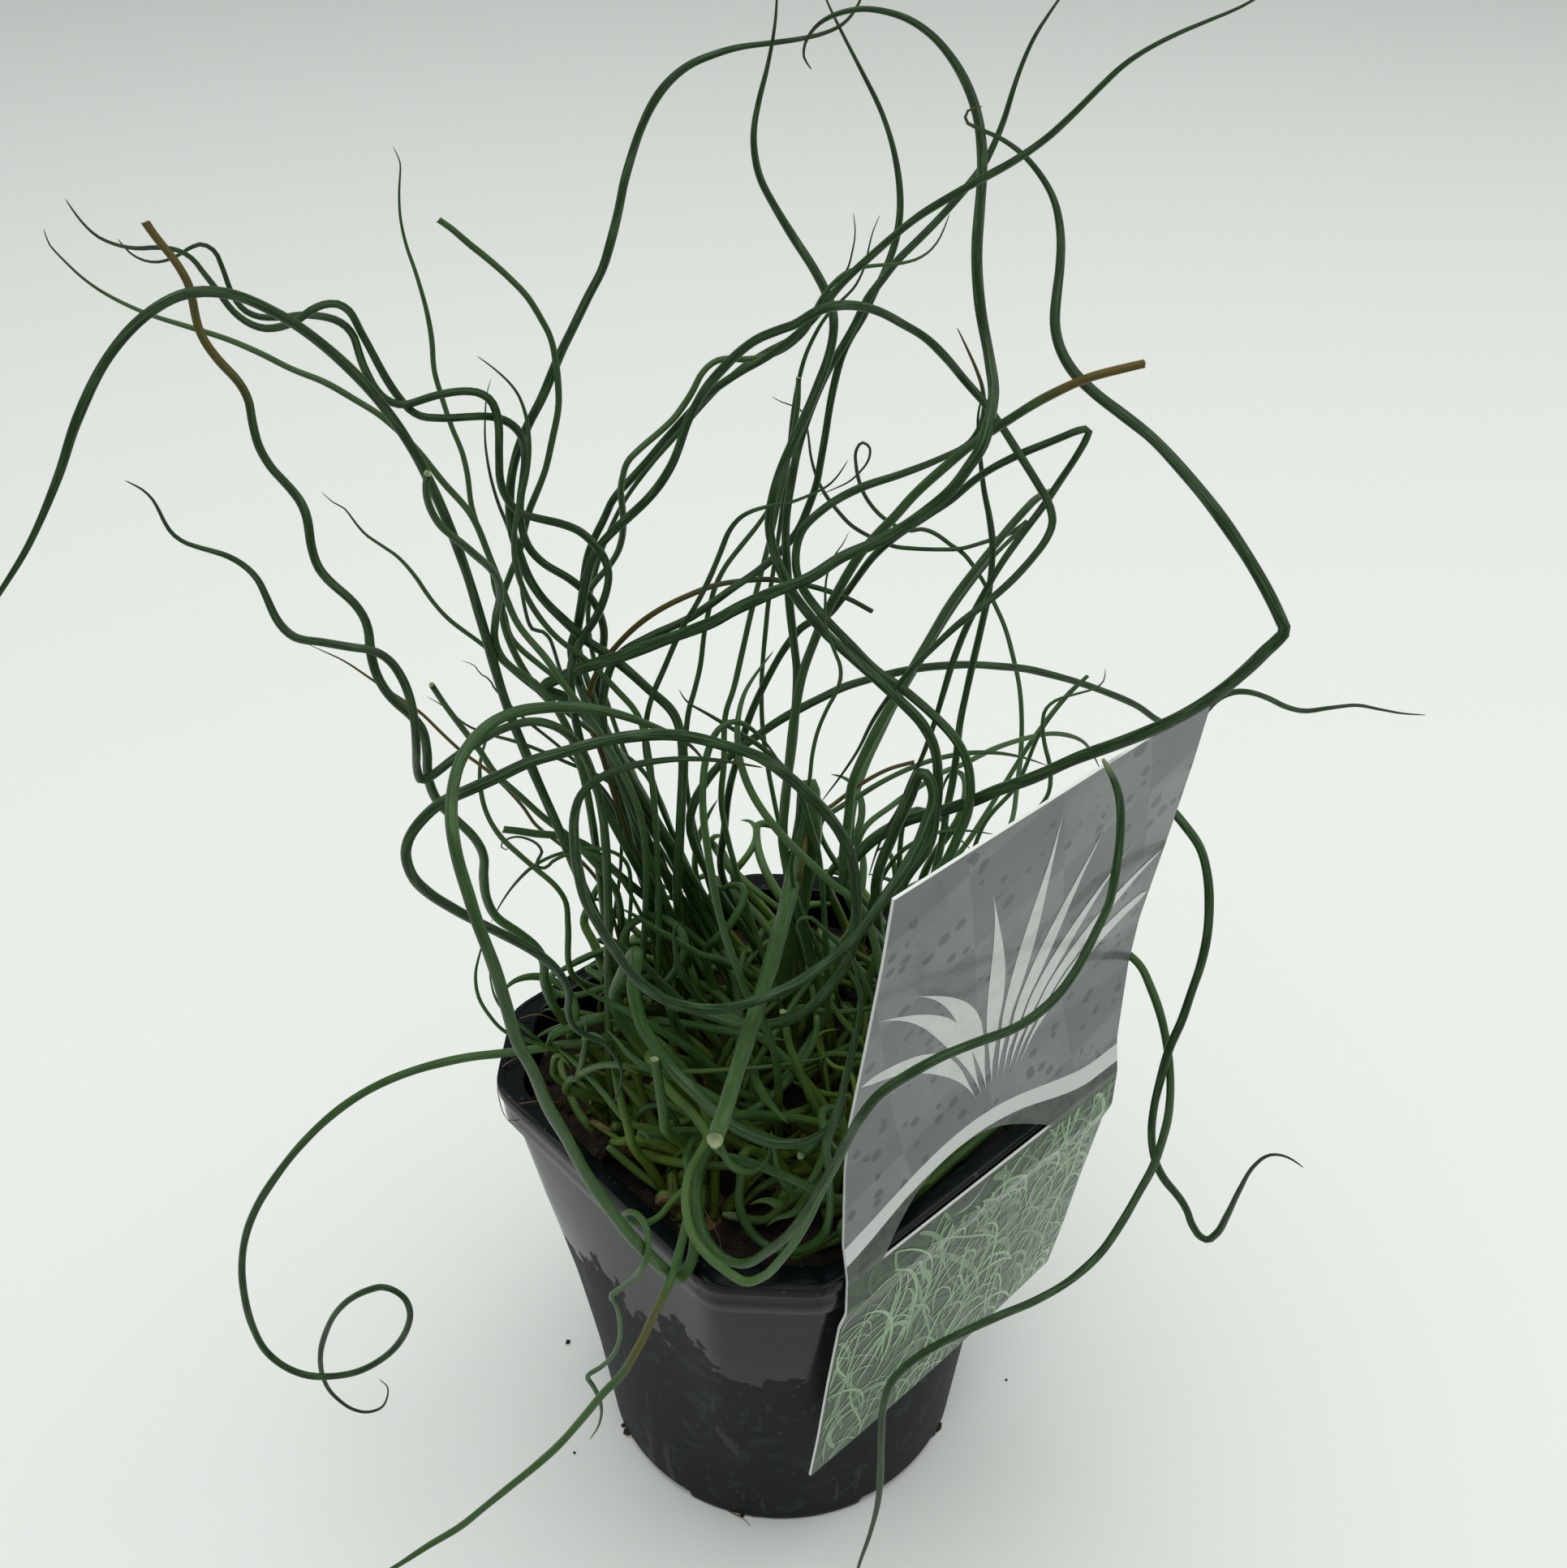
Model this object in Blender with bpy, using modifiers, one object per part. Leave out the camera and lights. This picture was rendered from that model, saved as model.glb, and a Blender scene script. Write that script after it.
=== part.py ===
"""Corkscrew rush in a square-round nursery pot, with a plant label hooked over the lip.

Metres, +Z up. The origin is the centre of the pot's foot, and the pot's sides face X and Y.
The label hangs on the side that faces -Y.
"""
import math

import bmesh
import bpy
import numpy as np

# Driving sizes of the pot
POT_HEIGHT = 0.131
RIM_HALF = 0.060            # half the width over the lip, across two flat sides
CORNER_CUT = 0.0195         # what each corner's flat takes off a side
FOOT_RADIUS = 0.050
WALL = 0.0012
LIP_WIDTH = 0.005
BASE_THICK = 0.005
SOIL_TOP = 0.1185
GAP = 0.0003                # between pieces that touch
NOTCH_WIDTH = 0.029         # the foot's four notches
NOTCH_HEIGHT = 0.00325
NOTCH_DEPTH = 0.022
DRAIN_RADIUS = 0.003        # a drain hole behind each notch
DRAIN_OUT = 0.0435

# Driving sizes of the label
LABEL_LEFT = -0.036         # its two edges, along X
LABEL_RIGHT = 0.058
LABEL_THICK = 0.0007
LABEL_BEND = 0.120          # below this height the label hangs askew
LABEL_SKEW = 0.004          # how far its bottom is off to the left
LABEL_CURL = 0.003          # how far its bottom right corner bends back to the pot
SLOT_START = (-0.025, 0.1295)
SLOT_END = (0.0335, 0.1300)
SLOT_RISE = 0.0164
SLOT_SKEW = 0.85
TAB_START = (-0.001, 0.1249)
TAB_END = (0.011, 0.1288)
TAB_SAG = 0.0030
TAB_SLIT = 0.0010

# Rhizomes stand in plain round holes in the soil
STUB_RADIUS = 0.0078
STUB_DEPTH = 0.012
STUB_RISE = 0.003
CHORD_ERROR = 0.0005       # how far a stem's straight stretches may leave its route

# The stems are drawn on a sight plane: a drawing in units of one dot, seen from EYE by a
# viewer who looks SIGHT_PITCH down. Turned about Z by VIEW_TURN, the sight frame is the pot's.
FOCUS = 2193.8
SIGHT_CENTRE = (965.5, 966.0)
SIGHT_PITCH = math.radians(37.46)
EYE = np.array([0.00045, -0.3162, 0.4597])
VIEW_TURN = math.radians(-42.54)

# Each tuft's rhizome in the sight frame: metres to the right of the pot's axis, and towards the viewer
TUFTS = {
    1: (-0.038, 0.014), 2: (-0.036, -0.013), 3: (-0.009, -0.039), 4: (-0.014, -0.017),
    5: (-0.014, 0.014), 6: (0.030, -0.028), 7: (0.024, 0.030), 8: (0.038, 0.000),
    9: (-0.020, 0.038), 10: (0.004, 0.034), 11: (0.008, -0.008), 12: (0.012, -0.040), 13: (0.010, 0.012),
}
# Each stem: tuft, thickness in mm, kind of tip, how far it stands towards the viewer at even
# stops along it in mm, and its line in the drawing as pairs (across, down), from the root up
STEMS = {
    "left_arch": (2, 2.3, "fine", (0, 10, 20, 40, 60),
        [722,1100, 690,1025, 652,938, 623,865, 596,775, 572,697, 538,612, 499,538, 450,474, 393,421,
         339,385, 282,362, 229,362, 179,389, 132,442, 95,517, 71,589, 34,674, -20,762, -60,840]),
    "left_thin": (2, 1.7, "fine", (0, -10, -20, -20),
        [790,1010, 740,905, 700,850, 675,814, 639,770, 622,732, 604,688, 581,635, 545,593, 513,553,
         470,513, 440,494, 400,471, 360,455, 320,435, 280,418, 230,402, 180,386, 130,362, 100,341, 80,322,
         60,300, 55,286]),
    "twist_a": (4, 2.0, "fine", (0, -5, -8, -2, -8, 0, -6, -6, -6),
        [730,960, 705,860, 705,815, 722,780, 735,760, 747,730, 750,705, 742,683, 715,655, 690,645, 660,638,
         642,632, 627,618, 617,595, 615,560, 614,520, 606,495, 590,484, 560,483, 525,491, 500,499, 480,495,
         464,481, 452,460, 443,438, 437,417, 425,401, 407,392, 370,388, 345,391, 318,390, 298,380, 284,358,
         274,330, 263,308, 250,301, 235,305, 213,318, 190,323, 170,318, 155,307, 148,298]),
    "twist_b": (4, 2.0, "fine", (-12, -16, -12, -14, -3, -9, 0, 0, 0),
        [760,960, 735,860, 743,800, 744,775, 736,749, 721,729, 700,712, 670,694, 652,675, 643,650, 641,620,
         645,590, 647,560, 640,533, 622,518, 600,513, 570,514, 543,515, 514,511, 496,495, 478,470, 464,445,
         453,424, 443,406, 430,383, 412,374, 390,379, 367,394, 345,403, 322,404, 303,396, 286,382, 268,358,
         250,335, 236,318, 218,308, 195,305, 170,306, 145,302, 118,290, 98,270, 83,249]),
    "cut_left": (1, 2.2, "cut", (12, 25, 40, 30, 20, 10),
        [690,1250, 680,1235, 671,1210, 670,1185, 660,1167, 640,1150, 612,1130, 600,1108, 596,1080,
         596,1055, 585,1033, 560,1008, 540,988, 528,960, 526,925, 520,898, 505,880, 480,857, 465,833,
         457,805, 454,778, 446,756, 428,735, 408,718, 393,700, 384,675, 380,648, 374,625, 358,602, 335,577,
         319,550, 311,520, 306,493, 295,472, 275,450, 257,428, 245,405, 239,380, 234,355, 220,328, 205,308,
         192,292, 180,275]),
    "wavy_left": (1, 2.1, "fine", (10, 20, 45, 40, 30, 30),
        [740,990, 700,905, 660,889, 622,897, 588,915, 560,934, 533,955, 520,961, 514,948, 513,920, 511,890,
         505,860, 494,833, 478,812, 460,802, 430,797, 395,791, 365,786, 350,775, 338,758, 328,735, 316,712,
         298,695, 275,683, 250,676, 225,667, 210,655, 200,638, 190,618, 175,603, 158,594]),
    "fine_left": (4, 1.3, "fine", (-20, -20, -12, -10),
        [800,960, 740,910, 690,872, 645,838, 598,797, 552,762, 530,737, 510,708, 490,686, 470,672, 450,658,
         437,643, 425,627, 412,620, 399,609]),
    "needle_left": (2, 1.5, "fine", (-10, -20, -30, -35),
        [760,950, 700,850, 660,815, 640,798, 628,782, 622,758, 610,725, 604,690, 590,653, 581,623, 576,585,
         569,556, 557,527, 544,488, 535,456, 532,418, 525,380, 512,335, 500,300, 493,265, 492,230, 493,200,
         486,184]),
    "short_cut": (2, 2.0, "cut", (0, 6, 8, 30, 34),
        [720,960, 690,880, 657,840, 639,829, 619,811, 610,790, 611,761, 616,732, 613,714, 604,700, 587,685,
         566,667, 545,650, 531,628, 525,605, 527,584]),
    "bowed_cut": (4, 1.8, "cut", (-10, -15, -20, -20),
        [720,940, 690,880, 655,840, 632,800, 620,765, 620,735, 630,705, 640,680, 645,658, 652,630, 663,603,
         672,579, 680,544, 688,503, 688,477, 685,447, 678,415, 665,390, 650,366, 625,340, 600,318, 575,298,
         558,283, 541,271]),
    "fine_mid": (2, 1.6, "fine", (0, -5, 0, 0),
        [790,890, 760,850, 733,823, 716,808, 686,785, 663,758, 645,726, 635,691, 634,655, 640,620, 648,590,
         652,560, 651,530, 646,505, 636,482, 622,466, 606,452, 591,441]),
    "fine_mid_b": (4, 1.1, "fine", (-30, -28, -28),
        [700,850, 672,780, 657,776, 645,741, 640,700, 626,650, 614,620, 604,585, 598,545, 598,510, 600,485,
         604,470]),
    "tall_arch": (4, 2.3, "fine", (0, -5, -20, -45, -60),
        [835,1110, 837,1047, 840,983, 842,938, 838,900, 828,876, 799,849, 777,829, 751,808, 721,788,
         698,767, 669,738, 651,711, 640,683, 631,655, 628,620, 630,590, 637,558, 650,525, 668,490, 690,437,
         708,400, 725,365, 742,332, 752,300, 762,260, 769,225, 778,193, 788,163, 803,130, 822,103, 848,81,
         880,67, 912,58, 950,53, 985,48, 1015,41, 1038,30, 1052,15, 1062,-5, 1068,-30]),
    "top_hook": (4, 2.8, "fine", (-15, 0, 10, -5, -20, -40, -50),
        [790,980, 740,900, 700,862, 670,848, 690,835, 720,822, 767,808, 818,789, 879,766, 904,752, 952,730,
         999,711, 1038,686, 1076,670, 1111,651, 1143,628, 1172,603, 1194,574, 1210,549, 1219,517, 1224,485,
         1219,443, 1208,380, 1204,332, 1204,300, 1207,260, 1210,220, 1210,185, 1205,145, 1193,108, 1175,75,
         1150,45, 1120,24, 1090,14, 1062,11, 1035,16, 1012,27, 998,42, 991,58, 991,72, 998,83]),
    "off_top": (4, 2.0, "fine", (0, -10, -30, -50, -60),
        [745,900, 745,850, 761,808, 799,785, 845,764, 872,747, 904,724, 936,702, 961,680, 983,654, 996,625,
         1006,597, 1012,565, 1018,530, 1023,498, 1029,469, 1036,443, 1047,418, 1063,392, 1076,364,
         1092,330, 1104,295, 1109,262, 1108,225, 1100,180, 1085,135, 1062,88, 1040,45, 1022,8, 1008,-25]),
    "bent_top": (8, 2.4, "fine", (30, 10, -10, -35, -50),
        [1110,1095, 1145,1040, 1153,1000, 1156,960, 1151,920, 1135,890, 1113,867, 1084,840, 1052,812,
         1020,783, 991,750, 971,721, 958,692, 950,665, 948,640, 953,610, 962,580, 980,539, 996,504,
         1009,472, 1020,443, 1027,410, 1026,383, 1015,354, 999,325, 980,296, 955,255, 937,220, 930,190,
         929,160, 935,125, 945,85, 952,50, 956,20, 958,-20]),
    "brown_tip": (8, 2.3, "fine", (30, 20, -5, -20, -30),
        [1130,1110, 1167,1060, 1180,1032, 1192,1003, 1196,971, 1192,939, 1177,910, 1151,882, 1110,847,
         1078,824, 1046,792, 1017,762, 999,740, 987,721, 981,699, 982,673, 990,651, 1009,632, 1031,616,
         1063,600, 1111,584, 1159,565, 1195,545, 1211,515, 1211,480, 1203,455, 1192,430, 1181,407]),
    "slim_up": (11, 2.1, "fine", (0, -12, -30, -45, -60),
        [965,1010, 975,930, 980,878, 982,827, 978,790, 973,745, 970,700, 968,660, 970,628, 976,590,
         984,550, 996,512, 1010,478, 1024,450, 1040,424, 1055,397, 1068,370, 1086,346, 1105,322, 1127,300,
         1150,277, 1173,252, 1195,226, 1212,203, 1227,173, 1238,145, 1248,112, 1260,78, 1275,45, 1292,18,
         1312,-10, 1330,-30]),
    "long_right": (4, 1.9, "fine", (-10, -20, -20, -10, 10, 20),
        [740,900, 712,830, 713,775, 716,745, 720,709, 724,685, 733,662, 745,638, 754,618, 763,606, 777,591,
         795,571, 815,547, 833,527, 855,503, 880,480, 911,459, 940,443, 962,428, 985,409, 1003,392,
         1018,373, 1035,352, 1055,332, 1075,314, 1100,292, 1130,268, 1165,246, 1205,223, 1250,198,
         1290,170, 1325,138, 1358,105, 1385,80, 1415,60, 1450,42, 1490,25, 1530,8, 1560,-10, 1585,-28]),
    "braid_tip": (4, 1.7, "fine", (-12, -28, -14, -26, -12, -20),
        [748,900, 712,790, 716,761, 724,732, 736,714, 751,697, 763,676, 768,650, 767,626, 765,603, 768,585,
         774,568, 792,550, 812,533, 830,516, 842,500, 853,483, 865,460, 880,446, 895,442, 914,443, 940,440,
         962,432, 978,421, 994,405, 1003,386, 1013,367, 1026,350, 1042,336, 1058,330, 1080,327, 1105,325,
         1128,320, 1145,310, 1156,297, 1163,283, 1169,267]),
    "over_arch": (4, 2.1, "fine", (-10, -12, -14, 0, -20, 0, 10, 10),
        [735,900, 704,800, 712,770, 717,741, 722,717, 727,697, 739,673, 757,653, 777,635, 798,615, 815,594,
         830,568, 839,544, 847,520, 857,500, 870,478, 889,456, 911,434, 933,418, 959,407, 981,399,
         1000,387, 1019,379, 1042,376, 1064,378, 1086,385, 1112,399, 1140,416, 1165,440, 1190,470,
         1212,495, 1232,522, 1255,558, 1278,595, 1292,620, 1297,642, 1290,663, 1270,690, 1245,717,
         1215,743, 1180,770, 1151,797, 1120,828, 1097,856, 1074,891, 1058,923, 1039,952, 1015,984]),
    "braid_fine": (4, 1.3, "fine", (-25, -30, -32, -32),
        [760,900, 725,770, 735,700, 765,625, 800,575, 835,535, 870,495, 910,455, 945,432, 975,416,
         1000,395, 1017,372, 1033,350, 1045,330, 1051,306, 1054,287, 1052,266]),
    "twin_tip": (11, 1.3, "fine", (-25, -35, -45),
        [940,900, 945,760, 955,690, 965,620, 972,560, 977,510, 984,470, 992,440, 1003,415, 1018,390,
         1035,372, 1052,355, 1064,332, 1070,309, 1075,287, 1083,268]),
    "mid_cut": (11, 1.6, "cut", (-15, -25, -35),
        [890,1000, 892,940, 894,881, 904,849, 914,806, 926,753, 939,702, 950,660, 960,615, 970,570,
         978,530, 983,500, 984,466]),
    "mid_fine": (4, 1.5, "fine", (-5, 0, 6, 8),
        [810,980, 795,920, 800,870, 820,820, 840,775, 859,743, 875,711, 888,680, 900,652, 916,635, 942,625,
         974,619, 1000,609, 1018,600, 1031,588, 1043,570]),
    "mid_thin": (3, 1.5, "fine", (-15, -25, -40),
        [845,960, 848,880, 856,850, 863,820, 868,779, 874,750, 881,724, 894,698, 913,673, 936,644, 952,618,
         962,590, 974,560, 986,535, 995,505]),
    "brown_end": (11, 2.4, "cut", (0, -5, 0, 10, 15),
        [965,1040, 968,985, 974,925, 981,870, 989,830, 1003,791, 1015,762, 1028,737, 1044,708, 1060,683,
         1079,660, 1101,638, 1127,609, 1162,577, 1200,546, 1239,520, 1286,491, 1340,466, 1380,455,
         1410,448]),
    "kinked": (11, 1.9, "fine", (-20, -25, -15, -10, 10, 20),
        [890,1080, 893,1019, 899,971, 912,923, 921,891, 931,866, 950,828, 969,796, 992,770, 1018,759,
         1038,737, 1057,711, 1076,686, 1105,660, 1143,635, 1172,616, 1194,597, 1216,581, 1254,561,
         1293,545, 1325,532, 1341,527, 1340,537, 1326,563, 1306,593, 1286,623, 1259,659, 1233,696,
         1210,736, 1190,775, 1173,819, 1163,852, 1150,895, 1137,931, 1123,960, 1108,995, 1090,1025,
         1078,1055, 1071,1078]),
    "blunt_back": (6, 2.6, "blunt", (-5, -20, -40, -55),
        [1040,1080, 1046,1003, 1049,971, 1055,952, 1071,917, 1090,882, 1110,850, 1129,815, 1148,783,
         1173,741, 1199,706, 1233,663, 1259,633, 1279,613, 1296,604]),
    "right_upright": (6, 2.0, "fine", (0, -15, -25, -30),
        [1150,1080, 1162,1030, 1166,1001, 1173,968, 1178,935, 1183,891, 1191,852, 1200,812, 1210,769,
         1218,732, 1222,700, 1223,669, 1219,636, 1213,606, 1209,575, 1207,545, 1205,515, 1212,480]),
    "back_straight": (6, 1.7, "blunt", (-50, -70, -90),
        [1160,1085, 1199,1028, 1216,1001, 1233,974, 1249,948, 1266,921, 1282,898, 1299,875, 1319,852,
         1340,833]),
    "low_arch_a": (6, 1.6, "fine", (-15, -30, -40),
        [1010,1015, 1033,996, 1058,981, 1084,965, 1116,949, 1151,936, 1192,928, 1231,928, 1263,934,
         1290,943]),
    "low_arch_b": (6, 1.7, "fine", (-40, -60, -90),
        [1060,1030, 1100,992, 1135,968, 1161,952, 1186,942, 1224,923, 1263,910, 1294,904, 1320,907,
         1336,915, 1347,930, 1355,946]),
    "low_brown": (11, 1.2, "cut", (-10, -20),
        [1000,1010, 1020,997, 1046,977, 1071,960, 1097,947, 1126,939]),
    "far_arch": (3, 1.9, "fine", (-10, -25, -50, -75, -95),
        [850,1010, 880,950, 937,904, 960,888, 988,872, 1014,859, 1039,847, 1071,837, 1103,829, 1135,823,
         1167,820, 1199,819, 1231,821, 1263,824, 1294,831, 1326,840, 1358,851, 1400,869, 1428,888,
         1455,897, 1478,884, 1500,862, 1520,853, 1540,853, 1562,860, 1585,871, 1608,876, 1640,872,
         1672,869, 1700,874, 1728,879, 1755,881]),
    "label_loop": (6, 2.4, "fine", (-30, -20, 5, 25, 40, 50),
        [1180,1120, 1250,1050, 1340,1000, 1400,986, 1440,996, 1459,1016, 1479,1045, 1488,1080, 1490,1118,
         1487,1156, 1479,1191, 1469,1220, 1456,1258, 1441,1292, 1430,1330, 1422,1365, 1419,1398, 1423,1428,
         1434,1452, 1452,1474, 1462,1490, 1470,1511, 1485,1528, 1499,1520, 1512,1498, 1527,1467, 1545,1437,
         1565,1423, 1585,1425, 1604,1437]),
    "low_right": (6, 2.1, "fine", (-30, 0, 30, 65, 90, 95, 95),
        [1200,1170, 1270,1140, 1340,1148, 1390,1178, 1408,1210, 1425,1250, 1436,1292, 1441,1335, 1439,1375,
         1431,1408, 1421,1437, 1403,1470, 1383,1505, 1355,1545, 1318,1578, 1275,1603, 1232,1621, 1190,1640,
         1150,1660, 1118,1682, 1097,1706, 1088,1735, 1086,1770, 1085,1810, 1082,1850, 1072,1890, 1058,1930,
         1050,1965]),
    "big_kink": (8, 2.8, "fine", (10, 22, 36, 46, 30, 0, -20, -35),
        [1040,1085, 1060,1050, 1090,1025, 1122,1009, 1157,1000, 1199,987, 1231,974, 1279,958, 1326,939,
         1380,920, 1430,898, 1470,876, 1505,852, 1540,822, 1565,797, 1583,779, 1576,758, 1556,718,
         1530,675, 1495,625, 1455,577, 1420,540, 1385,512, 1350,485, 1322,457, 1306,428, 1300,398,
         1302,365, 1306,330, 1307,290, 1300,250, 1285,220, 1260,190, 1232,170, 1205,158, 1191,150,
         1187,142, 1195,135, 1207,132]),
    "back_curl": (6, 1.5, "fine", (-40, -90, -120, -110, -100),
        [1050,1010, 1093,890, 1135,815, 1178,745, 1222,688, 1255,655, 1268,640, 1256,650, 1238,660,
         1216,667, 1184,676, 1159,677, 1127,676, 1101,673, 1076,663, 1050,648, 1031,628, 1015,606,
         1006,587, 999,561, 996,536, 990,509, 980,501, 967,497, 953,490]),
    "back_loop": (6, 1.5, "fine", (-30, -80, -110, -125, -115),
        [1190,1120, 1246,1014, 1253,971, 1258,928, 1259,885, 1256,845, 1249,812, 1239,775, 1226,745,
         1209,712, 1187,682, 1171,671, 1155,659, 1137,652, 1120,654, 1104,648, 1085,635, 1069,616,
         1060,597, 1055,574, 1055,555, 1063,545, 1071,550, 1071,565, 1060,581, 1047,593, 1031,601,
         1012,609]),
    "thread_up": (11, 1.1, "fine", (10, 12, 8, 5),
        [975,1070, 988,1015, 998,958, 1001,930, 1008,900, 1020,872, 1033,847, 1036,824, 1027,799, 1018,773,
         1017,741, 1018,715, 1022,700, 1031,680, 1039,670, 1045,658]),
    "brown_bow": (4, 1.6, "cut", (-10, -15, -20),
        [745,940, 725,870, 735,830, 757,799, 786,770, 815,750, 850,733, 882,721, 913,716, 948,714, 977,718,
         1006,724, 1044,737, 1074,753]),
    "big_loop": (5, 2.5, "fine", (30, 42, 45, 50, 62, 68, 50, 38),
        [830,1240, 875,1250, 904,1260, 933,1263, 962,1260, 986,1250, 1009,1232, 1027,1211, 1042,1188,
         1052,1158, 1055,1124, 1054,1089, 1048,1054, 1033,1022, 1012,995, 982,966, 953,943, 930,930,
         894,919, 856,909, 815,905, 773,908, 735,915, 697,926, 655,938, 614,957, 576,974, 544,989,
         521,1009, 505,1031, 500,1052, 508,1079, 528,1100, 556,1118, 585,1134, 617,1150, 646,1165,
         672,1182, 690,1200, 701,1222, 700,1245, 707,1265, 725,1277, 743,1284, 757,1300, 766,1320,
         763,1342, 756,1359]),
    "inner_loop": (8, 2.6, "fine", (10, 25, 45, 62, 66, 60, 50),
        [1080,1090, 1100,1030, 1120,985, 1137,951, 1147,965, 1150,985, 1141,1013, 1131,1040, 1116,1067,
         1100,1092, 1084,1114, 1066,1140, 1048,1162, 1030,1178, 1006,1195, 977,1214, 948,1227, 921,1236,
         898,1242, 863,1243, 827,1235, 798,1218, 775,1195, 757,1170, 740,1143, 722,1110, 713,1075,
         708,1040, 708,1005, 717,978, 740,958, 773,945, 815,937, 856,935, 894,938, 936,945]),
    "rim_sweep": (9, 2.7, "fine", (52, 77, 80, 88, 88, 80, 62, 40, 20),
        [862,1470, 858,1500, 856,1530, 851,1557, 838,1574, 820,1566, 796,1543, 767,1511, 742,1476,
         720,1443, 699,1404, 674,1361, 656,1318, 638,1285, 624,1240, 612,1200, 600,1167, 588,1136,
         576,1098, 566,1066, 559,1034, 556,1002, 559,967, 567,938, 583,912, 604,892, 634,878, 671,872,
         716,872, 754,878, 792,890, 824,903, 850,918, 870,940]),
    "front_cut": (11, 3.3, "cut", (-10, 0, 45, 95),
        [1000,1040, 1001,1000, 997,964, 993,977, 990,1010, 983,1051, 972,1105, 960,1150, 948,1195,
         936,1232, 924,1270, 912,1308, 902,1340, 892,1372, 881,1404]),
    "front_kink": (5, 2.4, "fine", (25, 50, 78, 88, 88),
        [800,1300, 812,1328, 830,1350, 850,1368, 865,1388, 872,1402, 862,1422, 850,1445, 845,1475,
         848,1503, 857,1528, 873,1548, 893,1564, 917,1579, 940,1573, 963,1551, 983,1524, 999,1498,
         1012,1472, 1024,1450, 1034,1425]),
    "across_label": (7, 2.3, "blunt", (45, 66, 84, 92, 88, 74, 60, 46),
        [885,1380, 871,1420, 862,1442, 860,1463, 860,1487, 864,1510, 873,1530, 887,1546, 905,1556,
         922,1556, 946,1542, 971,1522, 989,1500, 1008,1471, 1024,1444, 1046,1402, 1062,1375, 1084,1348,
         1118,1325, 1160,1302, 1202,1285, 1252,1266, 1286,1243, 1311,1217, 1332,1185, 1351,1147, 1367,1112,
         1375,1073, 1380,1035, 1380,987, 1373,962, 1360,937]),
    "front_loop": (10, 2.3, "fine", (45, 60, 72, 66, 55),
        [918,1420, 913,1459, 911,1480, 918,1507, 930,1525, 945,1538, 963,1546, 987,1549, 1010,1542,
         1028,1528, 1040,1504, 1043,1479, 1042,1453, 1036,1430, 1040,1400, 1046,1365, 1049,1340, 1054,1305,
         1060,1264, 1062,1232, 1056,1200, 1045,1170]),
    "small_u_a": (10, 2.2, "fine", (58, 66, 60),
        [882,1390, 888,1412, 895,1428, 906,1440, 918,1444, 932,1442, 942,1434, 948,1420, 952,1398]),
    "small_u_b": (7, 2.2, "fine", (45, 56, 58, 50),
        [1019,1400, 1016,1420, 1008,1440, 1000,1455, 988,1466, 976,1469, 966,1459, 959,1442, 954,1420,
         950,1395]),
    "front_swag": (5, 2.7, "fine", (22, 36, 48, 62, 66),
        [760,1245, 770,1195, 785,1173, 783,1195, 780,1215, 784,1238, 792,1264, 810,1293, 833,1323,
         857,1346, 878,1367, 904,1387, 933,1402, 962,1409, 992,1407, 1015,1395, 1033,1378, 1044,1352]),
    "left_curl": (1, 2.1, "fine", (14, 14, 22, 34, 38, 34, 30),
        [760,1290, 721,1285, 688,1288, 656,1293, 617,1298, 581,1302, 546,1309, 510,1319, 474,1333,
         439,1352, 403,1379, 367,1415, 339,1451, 317,1486, 303,1522, 298,1561, 302,1601, 312,1636,
         328,1665, 353,1685, 381,1695, 417,1695, 446,1688, 474,1672, 492,1654, 503,1633, 505,1615,
         496,1597, 474,1586, 453,1590, 431,1601, 413,1619, 401,1643, 395,1668, 397,1693, 406,1713,
         420,1727, 434,1736, 451,1740, 469,1735, 477,1722, 477,1708, 469,1701]),
    "corkscrew": (9, 1.5, "fine", (52, 66, 80, 72, 66, 60),
        [852,1460, 830,1478, 812,1499, 795,1507, 778,1505, 770,1498, 775,1493, 785,1496, 793,1505,
         798,1520, 799,1538, 794,1557, 783,1573, 767,1586, 753,1597, 759,1606, 764,1624, 764,1648,
         756,1669, 741,1684, 724,1696, 731,1708, 739,1725, 741,1743, 736,1760, 727,1773]),
    "front_hanger": (9, 1.6, "fine", (50, 78, 84, 90, 96, 102),
        [855,1450, 850,1485, 845,1510, 839,1535, 833,1556, 826,1577, 818,1596, 808,1616, 793,1648,
         781,1670, 766,1694, 744,1716, 720,1745, 689,1780, 659,1807, 628,1832, 597,1857, 567,1881,
         527,1905, 493,1927, 455,1950, 420,1975]),
    "pale_drop": (10, 2.0, "fine", (40, 45, 42, 30, 20),
        [955,1300, 935,1250, 920,1225, 907,1190, 894,1155, 885,1120, 878,1085, 872,1047, 867,1008, 866,970,
         869,940, 875,919, 885,899, 904,889, 923,896, 942,914, 958,934]),
    "tip_a": (11, 1.5, "fine", (10, 15, 25),
        [1010,1060, 1000,1020, 980,965, 955,935, 936,919, 901,897, 869,878, 847,865, 838,852]),
    "tip_b": (7, 2.1, "fine", (40, 35, 25, 10),
        [1070,1135, 1052,1108, 1030,1092, 998,1063, 972,1038, 947,1009, 928,980, 915,949, 909,917, 910,882,
         918,853, 934,827, 951,805]),
    "pale_left": (2, 1.5, "fine", (-5, -15, -30),
        [705,1200, 700,1142, 697,1111, 684,1091, 662,1072, 640,1053, 617,1031, 601,1005, 593,977, 592,938,
         601,908, 612,890]),
    "thread_left": (2, 1.1, "fine", (0, 0),
        [770,1060, 735,1045, 697,1050, 678,1056, 655,1069, 633,1091, 617,1114, 606,1135]),
    "ring_left": (2, 1.1, "fine", (5, 5),
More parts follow.
